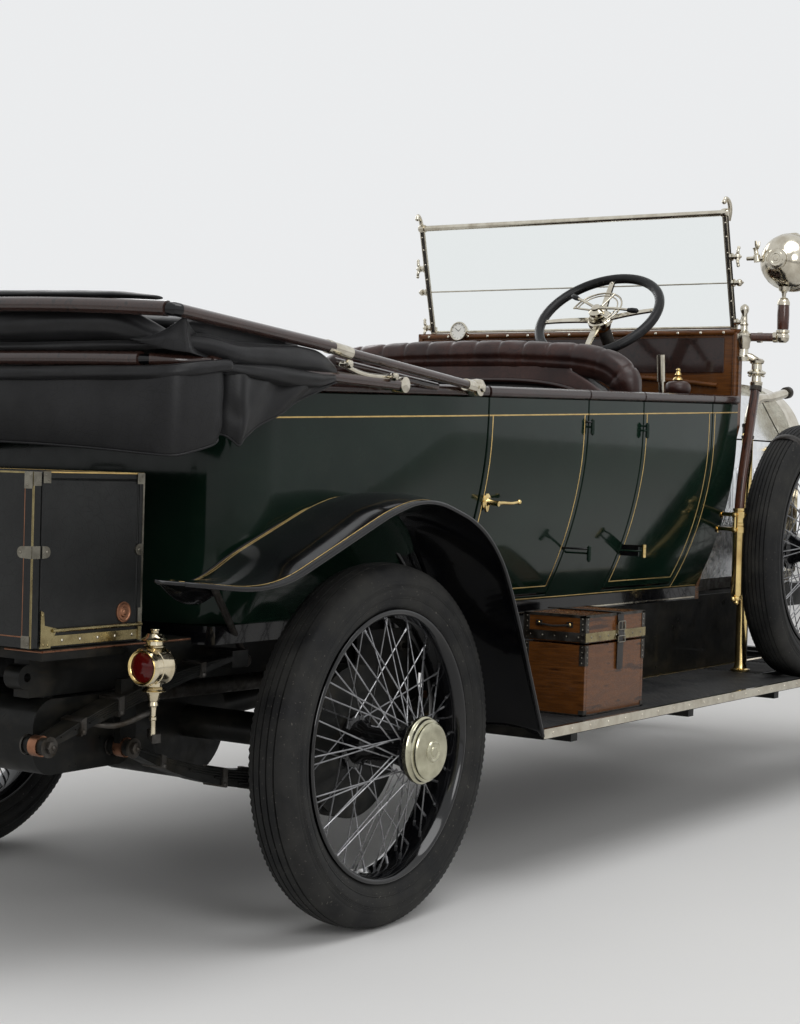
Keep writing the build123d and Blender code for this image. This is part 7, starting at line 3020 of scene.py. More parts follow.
@dataclass
class Pillar(Assembly):
    """Post of the search lamp: brass socket, bent wooden post and nickel head."""

    y: float = -0.704
    foot_x: float = 2.131
    foot_z: float = 0.711
    collar_z: float = 1.020
    wood: Sequence[tuple[float, float]] = (
        (2.131, 1.005), (2.137, 1.060), (2.150, 1.130), (2.172, 1.215), (2.200, 1.310), (2.222, 1.385),
        (2.237, 1.447),
    )

    def build(self) -> None:
        """Makes the post."""
        x = along(self.foot_x)
        tube = Shape()
        height = self.collar_z - self.foot_z
        tube.lathe([
            (-0.016, 0.0), (-0.015, 0.006), (-0.010, 0.0095), (-0.002, 0.0085), (0.0, 0.013), (0.006, 0.015),
            (0.012, 0.013), (0.014, 0.0170), (0.020, 0.0185), (height - 0.060, 0.0185),
            (height - 0.058, 0.0205), (height - 0.050, 0.0205), (height - 0.048, 0.0185),
            (height - 0.010, 0.0185), (height - 0.008, 0.0205), (height, 0.0205), (height, 0.0150),
        ], (x, self.y, self.foot_z), (0, 0, 1), 36)
        tube.tube(
            [(x - 0.026, self.y, self.foot_z + 0.004), (x + 0.026, self.y, self.foot_z + 0.004)], 0.006, 12
        )
        for end in (-0.026, 0.026):
            tube.knob((x + end, self.y, self.foot_z + 0.004), 0.0085, (0, 0, 1), 2.0)
        for z in (0.948, 0.998):
            tube.lathe(
                [(-0.010, 0.018), (-0.010, 0.0225), (0.010, 0.0225), (0.010, 0.018)], (x, self.y, z),
                (0, 0, 1), 30,
            )
            foot = -BODY.section(z) + 0.002
            tube.tube(
                [(x, self.y + 0.016, z), (x + 0.004, self.y + 0.030, z), (x + 0.048, foot, z)], 0.0070, 14
            )
            tube.lathe([
                (0.0, 0.014), (0.004, 0.014), (0.006, 0.010), (0.006, 0.0),
            ], (x + 0.048, foot + 0.001, z), (0, -1, 0), 20)
            for end in (-0.040, 0.040):
                tube.tube([(x, self.y - 0.004, z), (x + end, self.y - 0.002, z)], 0.0052, 12)
                tube.lathe(
                    [(-0.004, 0.0), (-0.004, 0.0085), (0.004, 0.0085), (0.006, 0.004), (0.006, 0.0)],
                    (x + end, self.y - 0.002, z), (1 if end > 0 else -1, 0, 0), 6,
                )
        tube.tube([(x - 0.036, self.y - 0.002, 0.948), (x - 0.036, self.y - 0.002, 0.998)], 0.0042, 10)
        self.dress("pillar_socket", tube, [Finishes.brass], "car", ["brass_pillar"], smooth=35)
        post = Shape()
        rows = []
        line = resample_path(curve([(along(px), self.y, pz) for px, pz in self.wood], 8), 0.012)
        for i, p in enumerate(line):
            way = (line[min(i + 1, len(line) - 1)] - line[max(i - 1, 0)]).normalized()
            up = Vector((0, 1, 0))
            ahead = way.cross(up).normalized()
            row = []
            for k in range(28):
                a = math.tau * k / 28
                c, s = math.cos(a), math.sin(a)
                bulge = 1.0 / max(abs(c) ** 3.2 + abs(s) ** 3.2, 1e-6) ** (1 / 3.2)
                row.append(p + ahead * (c * bulge * 0.0140) + up * (s * bulge * 0.0150))
            rows.append(row)
        post.grid(rows, wrap=True, caps=True)
        self.dress("pillar_post", post, [Finishes.upright], "car", smooth=50)
        head = Shape()
        top = (along(2.237), self.y, 1.440)
        head.lathe([
            (-0.004, 0.0), (-0.004, 0.020), (0.004, 0.022), (0.010, 0.022), (0.012, 0.017), (0.030, 0.016),
            (0.034, 0.026), (0.038, 0.032), (0.044, 0.032), (0.048, 0.024), (0.052, 0.018), (0.070, 0.018),
            (0.074, 0.024), (0.082, 0.026), (0.088, 0.020), (0.092, 0.0),
        ], top, (0, 0, 1), 32)
        for k in range(6):
            a = math.tau * k / 6 + 0.3
            head.knob(
                (top[0] + 0.026 * math.cos(a), top[1] + 0.026 * math.sin(a), top[2] + 0.032), 0.0050,
                (0, 0, -1), 1.0,
            )
        body = (along(2.213), -0.664, 1.530)
        head.lathe([
            (-0.010, 0.0), (-0.010, 0.021), (0.004, 0.023), (0.010, 0.018), (0.030, 0.017), (0.036, 0.021),
            (0.052, 0.022), (0.060, 0.026), (0.082, 0.026), (0.088, 0.018), (0.094, 0.013), (0.110, 0.012),
            (0.114, 0.015), (0.120, 0.011), (0.150, 0.0095), (0.156, 0.013), (0.166, 0.0155), (0.176, 0.013),
            (0.182, 0.006), (0.184, 0.0),
        ], body, (0, 0, 1), 32)
        head.tube(
            [
                (top[0], top[1], top[2] + 0.080), (top[0] - 0.012, top[1] + 0.020, top[2] + 0.094),
                (body[0], body[1], body[2] + 0.006),
            ],
            0.014, 16,
        )
        head.tube([(along(2.213), -0.664, 1.602), (along(2.213), -0.626, 1.604)], 0.011, 16)
        head.tube([(along(2.213), -0.664, 1.558), (along(2.222), -0.626, 1.556)], 0.009, 16)
        for z in (1.556, 1.604):
            head.lathe(
                [(-0.006, 0.0), (-0.006, 0.017), (0.004, 0.017), (0.008, 0.010), (0.008, 0.0)],
                (along(2.218), -0.640, z), (0, -1, 0), 6,
            )
        self.dress("pillar_head", head, [Finishes.nickel], "car", smooth=35)
        collars = Shape()
        collars.lathe(
            [(-0.008, 0.0155), (-0.008, 0.0205), (0.008, 0.0205), (0.008, 0.0155)],
            (along(2.2345), self.y, 1.428), (0.25, 0, 1), 26,
        )
        self.dress("pillar_collar", collars, [Finishes.iron], "car", smooth=35)


@dataclass
class CrookTube(Assembly):
    """Bent tube from the running board over the bonnet's side."""

    y: float = -0.590
    route: Sequence[tuple[float, float]] = (
        (2.440, 0.441), (2.440, 0.800), (2.440, 1.100), (2.441, 1.290), (2.452, 1.345), (2.482, 1.388),
        (2.530, 1.405), (2.620, 1.412), (2.780, 1.438),
    )

    def build(self) -> None:
        """Makes the tube, collar and foot."""
        tube = Shape()
        line = curve([(along(x), self.y, z) for x, z in self.route], 8)
        upper = [p for p in line if p.z > 1.285]
        tube.tube(upper, 0.0165, 22)
        self.dress("crook_upper", tube, [Finishes.nickel], "car", ["crook_tube"], smooth=60)
        lower = Shape()
        x = along(2.440)
        lower.lathe(
            [
                (0.0, 0.0), (0.0, 0.034), (0.006, 0.034), (0.010, 0.024), (0.026, 0.020), (0.838, 0.0195),
                (0.842, 0.0),
            ],
            (x, self.y, 0.4405), (0, 0, 1), 28,
        )
        self.dress("crook_lower", lower, [Finishes.brass], "car", smooth=40)
        collar = Shape()
        collar.lathe([
            (-0.030, 0.0), (-0.030, 0.0215), (-0.020, 0.0225), (-0.018, 0.0195), (0.010, 0.0195),
            (0.012, 0.0215), (0.022, 0.0215), (0.024, 0.0170),
        ], (x, self.y, 1.290), (0, 0, 1), 28)
        collar.lathe(
            [(-0.012, 0.0), (-0.012, 0.0215), (0.014, 0.0215), (0.018, 0.014), (0.018, 0.0)],
            (along(2.774), self.y, 1.4372), (1, 0, 0.14), 24,
        )
        self.dress("crook_collars", collar, [Finishes.iron], "car", smooth=35)


# Screen, dash and steering


class Bar(Enum):
    """Height on the screen's slope and radius of its cross bars."""

    TOP = (1.0, 0.0105)
    MIDDLE = (0.395, 0.0030)
    FOOT = (0.006, 0.0065)


@dataclass
class Screen(Assembly):
    """Two-pane windscreen: nickel bars, dark posts with fittings, and knobs."""

    foot_x: float = 2.243
    foot_z: float = 1.635
    top_x: float = 2.143
    top_z: float = 2.0165
    half: float = 0.614

    def at(self, share: float, y: float, out: float = 0.0) -> Vector:
        """Place on the screen's slope.

        Args:
            share: Height from foot to top, from 0 to 1.
            y: Distance to the left of the middle.
            out: Distance behind the slope's face.

        Returns:
            The point.
        """
        way = Vector((self.top_x - self.foot_x, 0, self.top_z - self.foot_z)).normalized()
        back = Vector((-way.z, 0, way.x))
        place = Vector((
            along(mixed(self.foot_x, self.top_x, share)), y, mixed(self.foot_z, self.top_z, share),
        ))
        return place + back * out

    def build(self) -> None:
        """Makes bars, posts, panes and fittings."""
        bars = Shape()
        for bar in Bar:
            share, radius = bar.value
            reach = self.half - (0.0 if bar is Bar.TOP else 0.010)
            bars.tube(
                [self.at(share, -reach), self.at(share, reach)], radius, 18,
                squeeze=1.0 if bar is Bar.TOP else 0.8,
            )
        self.dress("screen_bars", bars, [Finishes.nickel], "car", ["windscreen_frame"], smooth=50)
        posts, trims = Shape(), Shape()
        for side in (RIGHT, LEFT):
            y = side * self.half
            posts.tube([self.at(-0.02, y), self.at(0.99, y)], 0.0095, 16, squeeze=0.8)
            trims.tube(
                [self.at(-0.02, y - side * 0.0095, 0.004), self.at(0.985, y - side * 0.0095, 0.004)], 0.0026,
                8,
            )
            trims.tube(
                [self.at(-0.02, y + side * 0.0060, 0.0085), self.at(0.985, y + side * 0.0060, 0.0085)],
                0.0016, 8,
            )
            for share in (0.10, 0.24, 0.52, 0.66, 0.80, 0.92):
                trims.knob(self.at(share, y, 0.0078), 0.0034, (-1, 0, 0.2), 0.7)
            self.fittings(trims, side)
        self.dress("screen_posts", posts, [Finishes.iron], "car", smooth=50)
        self.dress("screen_trims", trims, [Finishes.nickel], "car", smooth=45)
        panes = Shape()
        for low, high in ((0.012, 0.388), (0.402, 0.985)):
            reach = self.half - 0.011
            corners = ((low, -reach), (low, reach), (high, reach), (high, -reach))
            base, top = ([self.at(share, y, out) for share, y in corners] for out in (-0.00225, 0.00225))
            panes.hexa(base, top)
        self.dress("screen_panes", panes, [Finishes.glass], "car", ["windscreen_glass"])

    def fittings(self, shape: Shape, side: int) -> None:
        """Curled top knobs, wing nuts and foot brackets of one post.

        Args:
            shape: The mesh to draw in.
            side: Side of the car, -1 for the right and 1 for the left.
        """
        y = side * self.half
        curl = [
            self.at(0.93, y + side * 0.004, -0.008), self.at(1.00, y + side * 0.010, -0.014),
            self.at(1.07, y + side * 0.012, -0.012),
            self.at(1.115, y + side * 0.010, -0.002), self.at(1.125, y + side * 0.008, 0.010),
            self.at(1.100, y + side * 0.006, 0.018),
        ]
        line = curve(curl, 6)
        many = len(line)
        shape.tube(line, [mixed(0.0085, 0.0060, i / many) for i in range(many)], 12)
        shape.knob(line[-1], 0.0085, (0, 0, 1), 2.0)
        shape.lathe(
            [
                (-0.012, 0.0), (-0.012, 0.0145), (-0.004, 0.0160), (0.004, 0.0160), (0.012, 0.0120),
                (0.014, 0.0),
            ],
            self.at(1.0, y), (0, side, 0), 24,
        )
        for share in (0.395, 0.62, 0.05):
            centre = self.at(share, y + side * 0.012)
            shape.lathe([
                (-0.006, 0.0), (-0.006, 0.0135), (0.002, 0.0135), (0.004, 0.0090), (0.012, 0.0075),
                (0.014, 0.0115), (0.022, 0.0125), (0.028, 0.0090), (0.030, 0.0040), (0.034, 0.0035),
                (0.036, 0.0),
            ], centre, (0, side, 0), 20)
            wings = centre + Vector((0, side * 0.021, 0))
            if share == 0.395:
                continue
            for turn in (-1, 1):
                ear = curve(
                    [
                        wings, wings + Vector((-0.006, side * 0.002, turn * 0.016)),
                        wings + Vector((-0.004, side * 0.004, turn * 0.030)),
                    ],
                    4,
                )
                shape.tube(ear, [mixed(0.0062, 0.0048, i / len(ear)) for i in range(len(ear))], 10)
                shape.knob(ear[-1], 0.0062, (0, 0, 1), 2.0)
        foot = self.at(-0.02, y)
        shape.tube(
            [
                foot + Vector((0, 0, 0.030)), foot + Vector((0.002, 0, -0.004)),
                foot + Vector((0.010, 0, -0.030)),
            ],
            0.0115, 14,
        )
        shape.lathe(
            [(0.0, 0.0185), (0.005, 0.0185), (0.008, 0.012), (0.008, 0.0)],
            foot + Vector((0.012, -side * 0.008, -0.036)), (0, side, 0.3), 20,
        )


@dataclass
class Dash(Assembly):
    """Mahogany dash with its top strip, screws, dark panel, gauge and horn nozzle."""

    rear: float = 2.200
    half: float = 0.655
    top: float = 1.628

    def build(self) -> None:
        """Makes the dash and what stands on it."""
        self.carry("dash", Finishes.mahogany, 0.0025)
        strip, screws = Shape(), Shape()
        x = along(self.rear)
        strip.tube(
            [
                (x - 0.002, -self.half + 0.016, self.top - 0.012),
                (x - 0.002, self.half - 0.016, self.top - 0.012),
            ],
            0.0105, 14, squeeze=0.9,
        )
        for side in (-1, 1):
            strip.tube(
                [
                    (x - 0.001, side * (self.half - 0.014), 1.36),
                    (x - 0.001, side * (self.half - 0.014), self.top - 0.012),
                ],
                0.0095, 12,
            )
        strip.tube(
            curve(
                [
                    (x - 0.006, -0.58, 1.436), (x - 0.010, -0.30, 1.462), (x - 0.010, 0.0, 1.470),
                    (x - 0.010, 0.30, 1.462), (x - 0.006, 0.58, 1.436),
                ],
                8,
            ),
            0.0085, 12,
        )
        self.dress("dash_strips", strip, [Finishes.mahogany], "car", smooth=50)
        for k in range(15):
            screws.knob(
                (x - 0.0125, mixed(-0.60, 0.60, k / 14), self.top - 0.012), 0.0052, (-1, 0, 0.1), 0.55
            )
        self.dress("dash_screws", screws, [Finishes.nickel], "car")
        panel = Shape()
        panel.block((x - 0.0035, -0.600, 1.480), (x, 0.600, self.top - 0.028))
        self.dress("dash_panel", panel, [Finishes.rail], "car", bevel=0.0015)
        self.gauge("clock", (x - 0.018, 0.462, 1.634), 0.036, (-1, 0, 0.12))
        self.gauge("pressure_gauge", (x - 0.0035, 0.18, 1.545), 0.034, (-1, 0, 0))
        self.gauge("oil_gauge", (x - 0.0035, 0.06, 1.545), 0.026, (-1, 0, 0))
        self.horn()

    def gauge(self, name: str, centre: Point, radius: float, axis: Point) -> None:
        """A round gauge with a plain white dial, marks and a hand.

        Args:
            name: The piece's name.
            centre: Middle of its back.
            radius: Radius of its rim.
            axis: Direction of its axis.
        """
        case = Shape()
        r = radius
        case.lathe([
            (-0.020, 0.0), (-0.020, r * 0.80), (-0.004, r * 0.94), (0.002, r), (0.008, r), (0.011, r * 0.95),
            (0.011, r * 0.88), (0.007, r * 0.85),
        ], centre, axis, 40)
        self.dress(name + "_case", case, [Finishes.nickel], "car", smooth=40)
        face = Shape()
        face.lathe([(0.0060, r * 0.88), (0.0062, 0.0)], centre, axis, 40, 0)
        way = Vector(axis).normalized()
        up = Vector((0, 0, 1)) - way * way.z
        across = way.cross(up).normalized()
        up.normalize()
        base = Vector(centre) + way * 0.0064
        for k in range(12):
            a = math.tau * k / 12
            ray = up * math.cos(a) + across * math.sin(a)
            rim = way.cross(ray)
            inner, outer = base + ray * r * 0.66, base + ray * r * 0.80
            face.add(
                [inner - rim * 0.0008, inner + rim * 0.0008, outer + rim * 0.0008, outer - rim * 0.0008],
                [(0, 1, 2, 3)], 1,
            )
        for turn, reach in ((0.9, 0.62), (-0.7, 0.44)):
            ray = up * math.cos(turn) + across * math.sin(turn)
            rim = way.cross(ray)
            a, b = base + way * 0.0004, base + way * 0.0004 + ray * r * reach
            face.add(
                [a - rim * 0.0014, a + rim * 0.0014, b + rim * 0.0004, b - rim * 0.0004], [(0, 1, 2, 3)], 1
            )
        self.dress(name + "_dial", face, [Finishes.dial, Finishes.iron], "car")

    def horn(self) -> None:
        """Small bulb horn inside the front cabin's right side."""
        shape = Shape()
        base = (along(1.880), -0.585, 1.375)
        shape.lathe([
            (0.0, 0.0), (0.0, 0.014), (0.010, 0.015), (0.012, 0.030), (0.022, 0.040), (0.036, 0.043),
            (0.050, 0.040), (0.058, 0.030), (0.060, 0.016), (0.060, 0.0),
        ], base, (0, 0, 1), 28, 0)
        shape.lathe([
            (0.060, 0.014), (0.064, 0.018), (0.070, 0.014), (0.074, 0.0085), (0.080, 0.012), (0.084, 0.0090),
            (0.092, 0.0060), (0.096, 0.0085), (0.102, 0.0040), (0.103, 0.0),
        ], base, (0, 0, 1), 24, 1)
        shape.tube(
            [
                (base[0], base[1], base[2] + 0.004), (base[0] + 0.004, -0.610, 1.355),
                (base[0] + 0.004, -0.624, 1.352),
            ],
            0.008, 12, 1,
        )
        self.dress("horn", shape, [Finishes.leather, Finishes.brass], "car", smooth=50)


@dataclass
class Steering(Assembly):
    """Steering wheel with flat spokes, its column, quadrant and levers."""

    centre: Point = (1.850, -0.300, 1.650)
    tilt: float = math.radians(48.0)
    radius: float = 0.210
    grip: float = 0.0163

    def frame(self) -> tuple[Vector, Vector, Vector, Vector]:
        """Centre, column axis, and the wheel plane's up and left directions."""
        axis = Vector((-math.cos(self.tilt), 0, math.sin(self.tilt)))
        left = Vector((0, 1, 0))
        return Vector((along(self.centre[0]), *self.centre[1:])), axis, left.cross(axis), left

    def build(self) -> None:
        """Makes the wheel on its own body, and the quadrant on the car."""
        centre, axis, up, left = self.frame()
        rim = Shape()
        line = [
            centre + (up * math.cos(a) + left * math.sin(a)) * self.radius
            for a in (math.tau * k / 96 for k in range(96))
        ]
        rim.tube(line, self.grip, 20, ring=True)
        self.dress("steering_rim", rim, [Finishes.grip], "steering_wheel", ["steering_wheel"], smooth=80)
        spokes = Shape()
        for k in range(4):
            a = math.tau * k / 4 + 0.14
            ray = up * math.cos(a) + left * math.sin(a)
            wide = axis.cross(ray)
            rows = []
            for t in np.linspace(0.020, self.radius - 0.004, 12):
                share = float(t) / self.radius
                drop = -0.018 * (1 - share) ** 2
                half = mixed(0.0150, 0.0095, share)
                here = centre + ray * float(t) + axis * drop
                rows.append([
                    here + wide * half * c + axis * 0.0035 * s
                    for c, s in ((-1, -0.4), (-0.8, 1), (0.8, 1), (1, -0.4), (0.8, -1), (-0.8, -1))
                ])
            spokes.grid(rows, wrap=True, caps=True)
            spokes.knob(centre + ray * (self.radius - 0.024) + axis * 0.0035, 0.0042, axis, 0.8)
        spokes.lathe([
            (-0.050, 0.0), (-0.050, 0.026), (-0.030, 0.036), (-0.024, 0.043), (-0.010, 0.043),
            (-0.006, 0.037), (0.0, 0.036), (0.0, 0.0),
        ], centre, axis, 36)
        for k in range(6):
            a = math.tau * k / 6
            spokes.knob(
                centre + (up * math.cos(a) + left * math.sin(a)) * 0.032 + axis * -0.004, 0.0042, axis, 1.0
            )
        self.dress("steering_spokes", spokes, [Finishes.nickel], "steering_wheel", smooth=40)
        self.quadrant(centre, axis, up, left)
        self.carry("steering_column", Finishes.iron, 0.001)

    def quadrant(self, centre: Vector, axis: Vector, up: Vector, left: Vector) -> None:
        """The fixed quadrant over the wheel's middle with two levers and a nut.

        Args:
            centre: The wheel's middle.
            axis: Direction of the column, upward.
            up: Direction in the wheel's plane toward its top.
            left: Direction in the wheel's plane toward the left.
        """
        shape = Shape()
        lift = centre + axis * 0.030
        shape.lathe([
            (0.004, 0.0), (0.004, 0.020), (0.012, 0.022), (0.016, 0.028), (0.026, 0.029), (0.030, 0.022),
            (0.034, 0.016), (0.040, 0.015), (0.042, 0.009), (0.042, 0.0),
        ], centre, axis, 32, 0)
        for reach, thick in ((0.088, 0.0032), (0.074, 0.0024)):
            arc = [
                lift + (up * math.cos(a) + left * math.sin(a)) * reach for a in np.linspace(-2.3, 1.5, 40)
            ]
            shape.tube(arc, thick, 8)
        for a in (-2.25, -0.4, 1.45):
            ray = up * math.cos(a) + left * math.sin(a)
            shape.tube([lift - axis * 0.006 + ray * 0.018, lift + ray * 0.090], 0.0036, 10)
        self.dress("quadrant", shape, [Finishes.nickel], "car", smooth=45)
        levers = Shape()
        for a, reach in ((-1.72, 0.150), (1.05, 0.118)):
            ray = up * math.cos(a) + left * math.sin(a)
            base = lift + axis * 0.004
            path = [base, base + ray * reach * 0.5 + axis * 0.006, base + ray * reach + axis * 0.004]
            levers.tube(curve(path, 5), 0.0048, 10, 0)
            levers.lathe(
                [
                    (-0.022, 0.0), (-0.020, 0.0070), (-0.004, 0.0090), (0.014, 0.0085), (0.020, 0.0040),
                    (0.021, 0.0),
                ],
                base + ray * reach + axis * 0.004, ray, 16, 1,
            )
        self.dress("quadrant_levers", levers, [Finishes.nickel, Finishes.grip], "car", smooth=50)


# Front of the car


@dataclass
class Front(Assembly):
    """Bonnet, radiator and headlamps."""

    lamp_y: float = 0.372
    lamp_z: float = 0.985
    lamp_rear: float = 3.640

    def build(self) -> None:
        """Makes the front."""
        for node, bevel in (("bonnet_right", 0.0008), ("bonnet_left", 0.0008), ("bonnet_sides", 0.0008)):
            self.carry(node, Finishes.bonnet, bevel)
        self.carry("bonnet_hinge", Finishes.nickel)
        self.carry("radiator_shell", Finishes.nickel, 0.003)
        self.carry("radiator_core", Finishes.core)
        self.catches()
        self.bead()
        self.headlamps()

    @staticmethod
    def bonnet_half(x: float) -> float:
        """Half the bonnet's width at a distance."""
        return mixed(0.372, 0.300, (x - 2.29) / 1.215)

    def catches(self) -> None:
        """Side louvres, catches and handles of the bonnet."""
        for side, hand in SIDES:
            shape, slats = Shape(), Shape()
            for x in (2.42, 3.38):
                half = self.bonnet_half(x)
                y = side * (half + 0.001)
                place = Vector((along(x), y, 1.235))
                shape.lathe(
                    [
                        (-0.002, 0.0), (-0.002, 0.016), (0.003, 0.016), (0.006, 0.009), (0.016, 0.007),
                        (0.018, 0.0),
                    ],
                    place, (0, side, 0), 20,
                )
                shape.tube(
                    curve(
                        [
                            place + Vector((0, side * 0.013, 0)),
                            place + Vector((0.004, side * 0.017, -0.022)),
                            place + Vector((0.0, side * 0.015, -0.045)),
                        ],
                        5,
                    ),
                    0.0048, 10,
                )
                shape.knob(place + Vector((0.0, side * 0.015, -0.045)), 0.0068, (0, 0, 1), 2.0)
            for k in range(14):
                x = mixed(2.62, 3.22, k / 13)
                half = self.bonnet_half(x)
                rows = []
                for z in np.linspace(0.94, 1.16, 10):
                    row = []
                    fade = math.sin(math.pi * (float(z) - 0.94) / 0.22) ** 0.3 if 0.94 < z < 1.16 else 0.0
                    for dx, dy in (
                        (-0.013, 0.0), (-0.006, 0.002), (0.004, 0.0065), (0.0065, 0.0055), (0.0068, 0.0)
                    ):
                        row.append((along(x + dx), side * (half + 0.0006 + dy * fade), float(z)))
                    rows.append(row)
                slats.grid(rows)
            self.dress(f"bonnet_catches_{hand}", shape, [Finishes.brass], "car", smooth=50)
            self.dress(f"bonnet_louvres_{hand}", slats, [Finishes.bonnet], "car", thick=0.0006)

    def bead(self) -> None:
        """Nickel bead round the radiator's honeycomb."""
        shape = Shape()
        x = along(3.6150)
        corners = ((-0.258, 0.750), (0.258, 0.750), (0.258, 1.310), (-0.258, 1.310))
        line = []
        for k, (y, z) in enumerate(corners):
            after = corners[(k + 1) % 4]
            line += [(x - 0.0005, mixed(y, after[0], t / 10), mixed(z, after[1], t / 10)) for t in range(10)]
        shape.tube(line, 0.0040, 8, ring=True)
        self.dress("radiator_bead", shape, [Finishes.nickel], "car", smooth=50)

    def headlamps(self) -> None:
        """Two large headlamps with lens, reflector and burner."""
        for side, hand in SIDES:
            centre = (along(self.lamp_rear), side * self.lamp_y, self.lamp_z)
            case, lens = Shape(), Shape()
            case.lathe([
                (0.0, 0.0), (0.0, 0.020), (0.004, 0.030), (0.006, 0.054), (0.014, 0.059), (0.046, 0.060),
                (0.060, 0.066), (0.070, 0.088), (0.084, 0.104), (0.100, 0.1095), (0.200, 0.110),
                (0.205, 0.116), (0.215, 0.116), (0.220, 0.112), (0.250, 0.114), (0.255, 0.128),
                (0.262, 0.131), (0.278, 0.131), (0.284, 0.127), (0.285, 0.119), (0.276, 0.117),
                (0.262, 0.114), (0.200, 0.100), (0.130, 0.078), (0.090, 0.046), (0.076, 0.0),
            ], centre, (1, 0, 0), 56)
            case.lathe(
                [
                    (0.096, 0.046), (0.122, 0.044), (0.126, 0.052), (0.132, 0.053), (0.136, 0.046),
                    (0.150, 0.044), (0.156, 0.030), (0.160, 0.0),
                ],
                (centre[0] + 0.120, centre[1], centre[2]), (0, 0, 1), 32,
            )
            case.lathe(
                [(0.100, 0.030), (0.118, 0.028), (0.122, 0.022), (0.140, 0.020), (0.142, 0.0)],
                (centre[0] + 0.130, centre[1], centre[2]), (0, 0, -1), 24,
            )
            stands = ["headlamps"] if side == RIGHT else []
            self.dress(f"headlamp_{hand}", case, [Finishes.nickel], "car", stands, smooth=35)
            lens.lathe([(0.272, 0.1165), (0.2795, 0.080), (0.283, 0.0)], centre, (1, 0, 0), 48)
            self.dress(f"headlamp_lens_{hand}", lens, [Finishes.glass], "car", smooth=80)
            burner, fork = Shape(), Shape()
            burner.lathe(
                [
                    (0.078, 0.0), (0.078, 0.016), (0.110, 0.013), (0.114, 0.008), (0.128, 0.007),
                    (0.132, 0.012), (0.150, 0.013), (0.166, 0.007), (0.170, 0.0),
                ],
                centre, (1, 0, 0), 20,
            )
            self.dress(f"headlamp_burner_{hand}", burner, [Finishes.brass], "car")
            x = centre[0] + 0.140
            fork.tube(curve([
                (x, centre[1] - 0.118, centre[2]), (x, centre[1] - 0.118, centre[2] - 0.060),
                (x, centre[1] - 0.080, centre[2] - 0.124), (x, centre[1], centre[2] - 0.146),
                (x, centre[1] + 0.080, centre[2] - 0.124), (x, centre[1] + 0.118, centre[2] - 0.060),
                (x, centre[1] + 0.118, centre[2]),
            ], 7), 0.0080, 12)
            for end in (-1, 1):
                fork.lathe(
                    [(-0.010, 0.0), (-0.010, 0.014), (0.008, 0.014), (0.012, 0.008), (0.012, 0.0)],
                    (x, centre[1] + end * 0.118, centre[2]), (0, end, 0), 20,
                )
            fork.lathe(
                [
                    (0.0, 0.018), (0.020, 0.016), (0.040, 0.013), (0.110, 0.013), (0.116, 0.022),
                    (0.122, 0.030), (0.134, 0.032), (0.1445, 0.032), (0.1445, 0.0),
                ],
                (x, centre[1], centre[2] - 0.140), (0, 0, -1), 24,
            )
            fork.block(
                (x - 0.034, min(side * 0.325, side * 0.404), 0.7005),
                (x + 0.034, max(side * 0.325, side * 0.404), 0.7120),
            )
            self.dress(f"headlamp_fork_{hand}", fork, [Finishes.iron], "car", smooth=45)


@dataclass
class SpareStrap(Assembly):
    """Leather strap that holds the spare wheel in its well."""

    x: float = 2.600
    y: float = -0.752
    z: float = 0.8698

    def build(self) -> None:
        """Makes the strap round the tyre's section."""
        shape = Shape()
        angle = math.radians(118)
        middle = Vector((along(self.x) + 0.380 * math.cos(angle), self.y, self.z + 0.380 * math.sin(angle)))
        out = Vector((math.cos(angle), 0, math.sin(angle)))
        path = []
        for k in range(40):
            a = math.tau * k / 40
            path.append(middle + out * (0.0725 * math.cos(a)) + Vector((0, 0.0725 * math.sin(a), 0)))
        along_tyre = Vector((-math.sin(angle), 0, math.cos(angle)))
        shape.band(path, lambda i: along_tyre, lambda i: path[i] - middle, 0.030, 0.0035, ring=True)
        self.dress("spare_strap", shape, [Finishes.strap], "car", smooth=50)


# Springs and stays under the car


@dataclass
class Pack:
    """One leaf spring: its three points along the car, its thickness and its clips."""

    points: Sequence[tuple[float, float]]
    thick: float
    y: float
    clips: Sequence[float]
    leaves: int = 6

    def top(self, x: float) -> float:
        """Height of the spring's top face.

        Args:
            x: Distance ahead of the rear axle.

        Returns:
            The height.
        """
        (a, p), (b, q), (c, r) = self.points
        return (
            p * (x - b) * (x - c) / ((a - b) * (a - c)) + q * (x - a) * (x - c) / ((b - a) * (b - c))
            + r * (x - a) * (x - b) / ((c - a) * (c - b))
        )

    def depth(self, x: float) -> float:
        """Thickness of the pack."""
        (a, _), (b, _), (c, _) = self.points
        share = (x - a) / (b - a) if x < b else (c - x) / (c - b)
        return mixed(0.012, self.thick, 1 - (1 - min(max(share, 0.0), 1.0)) ** 2)


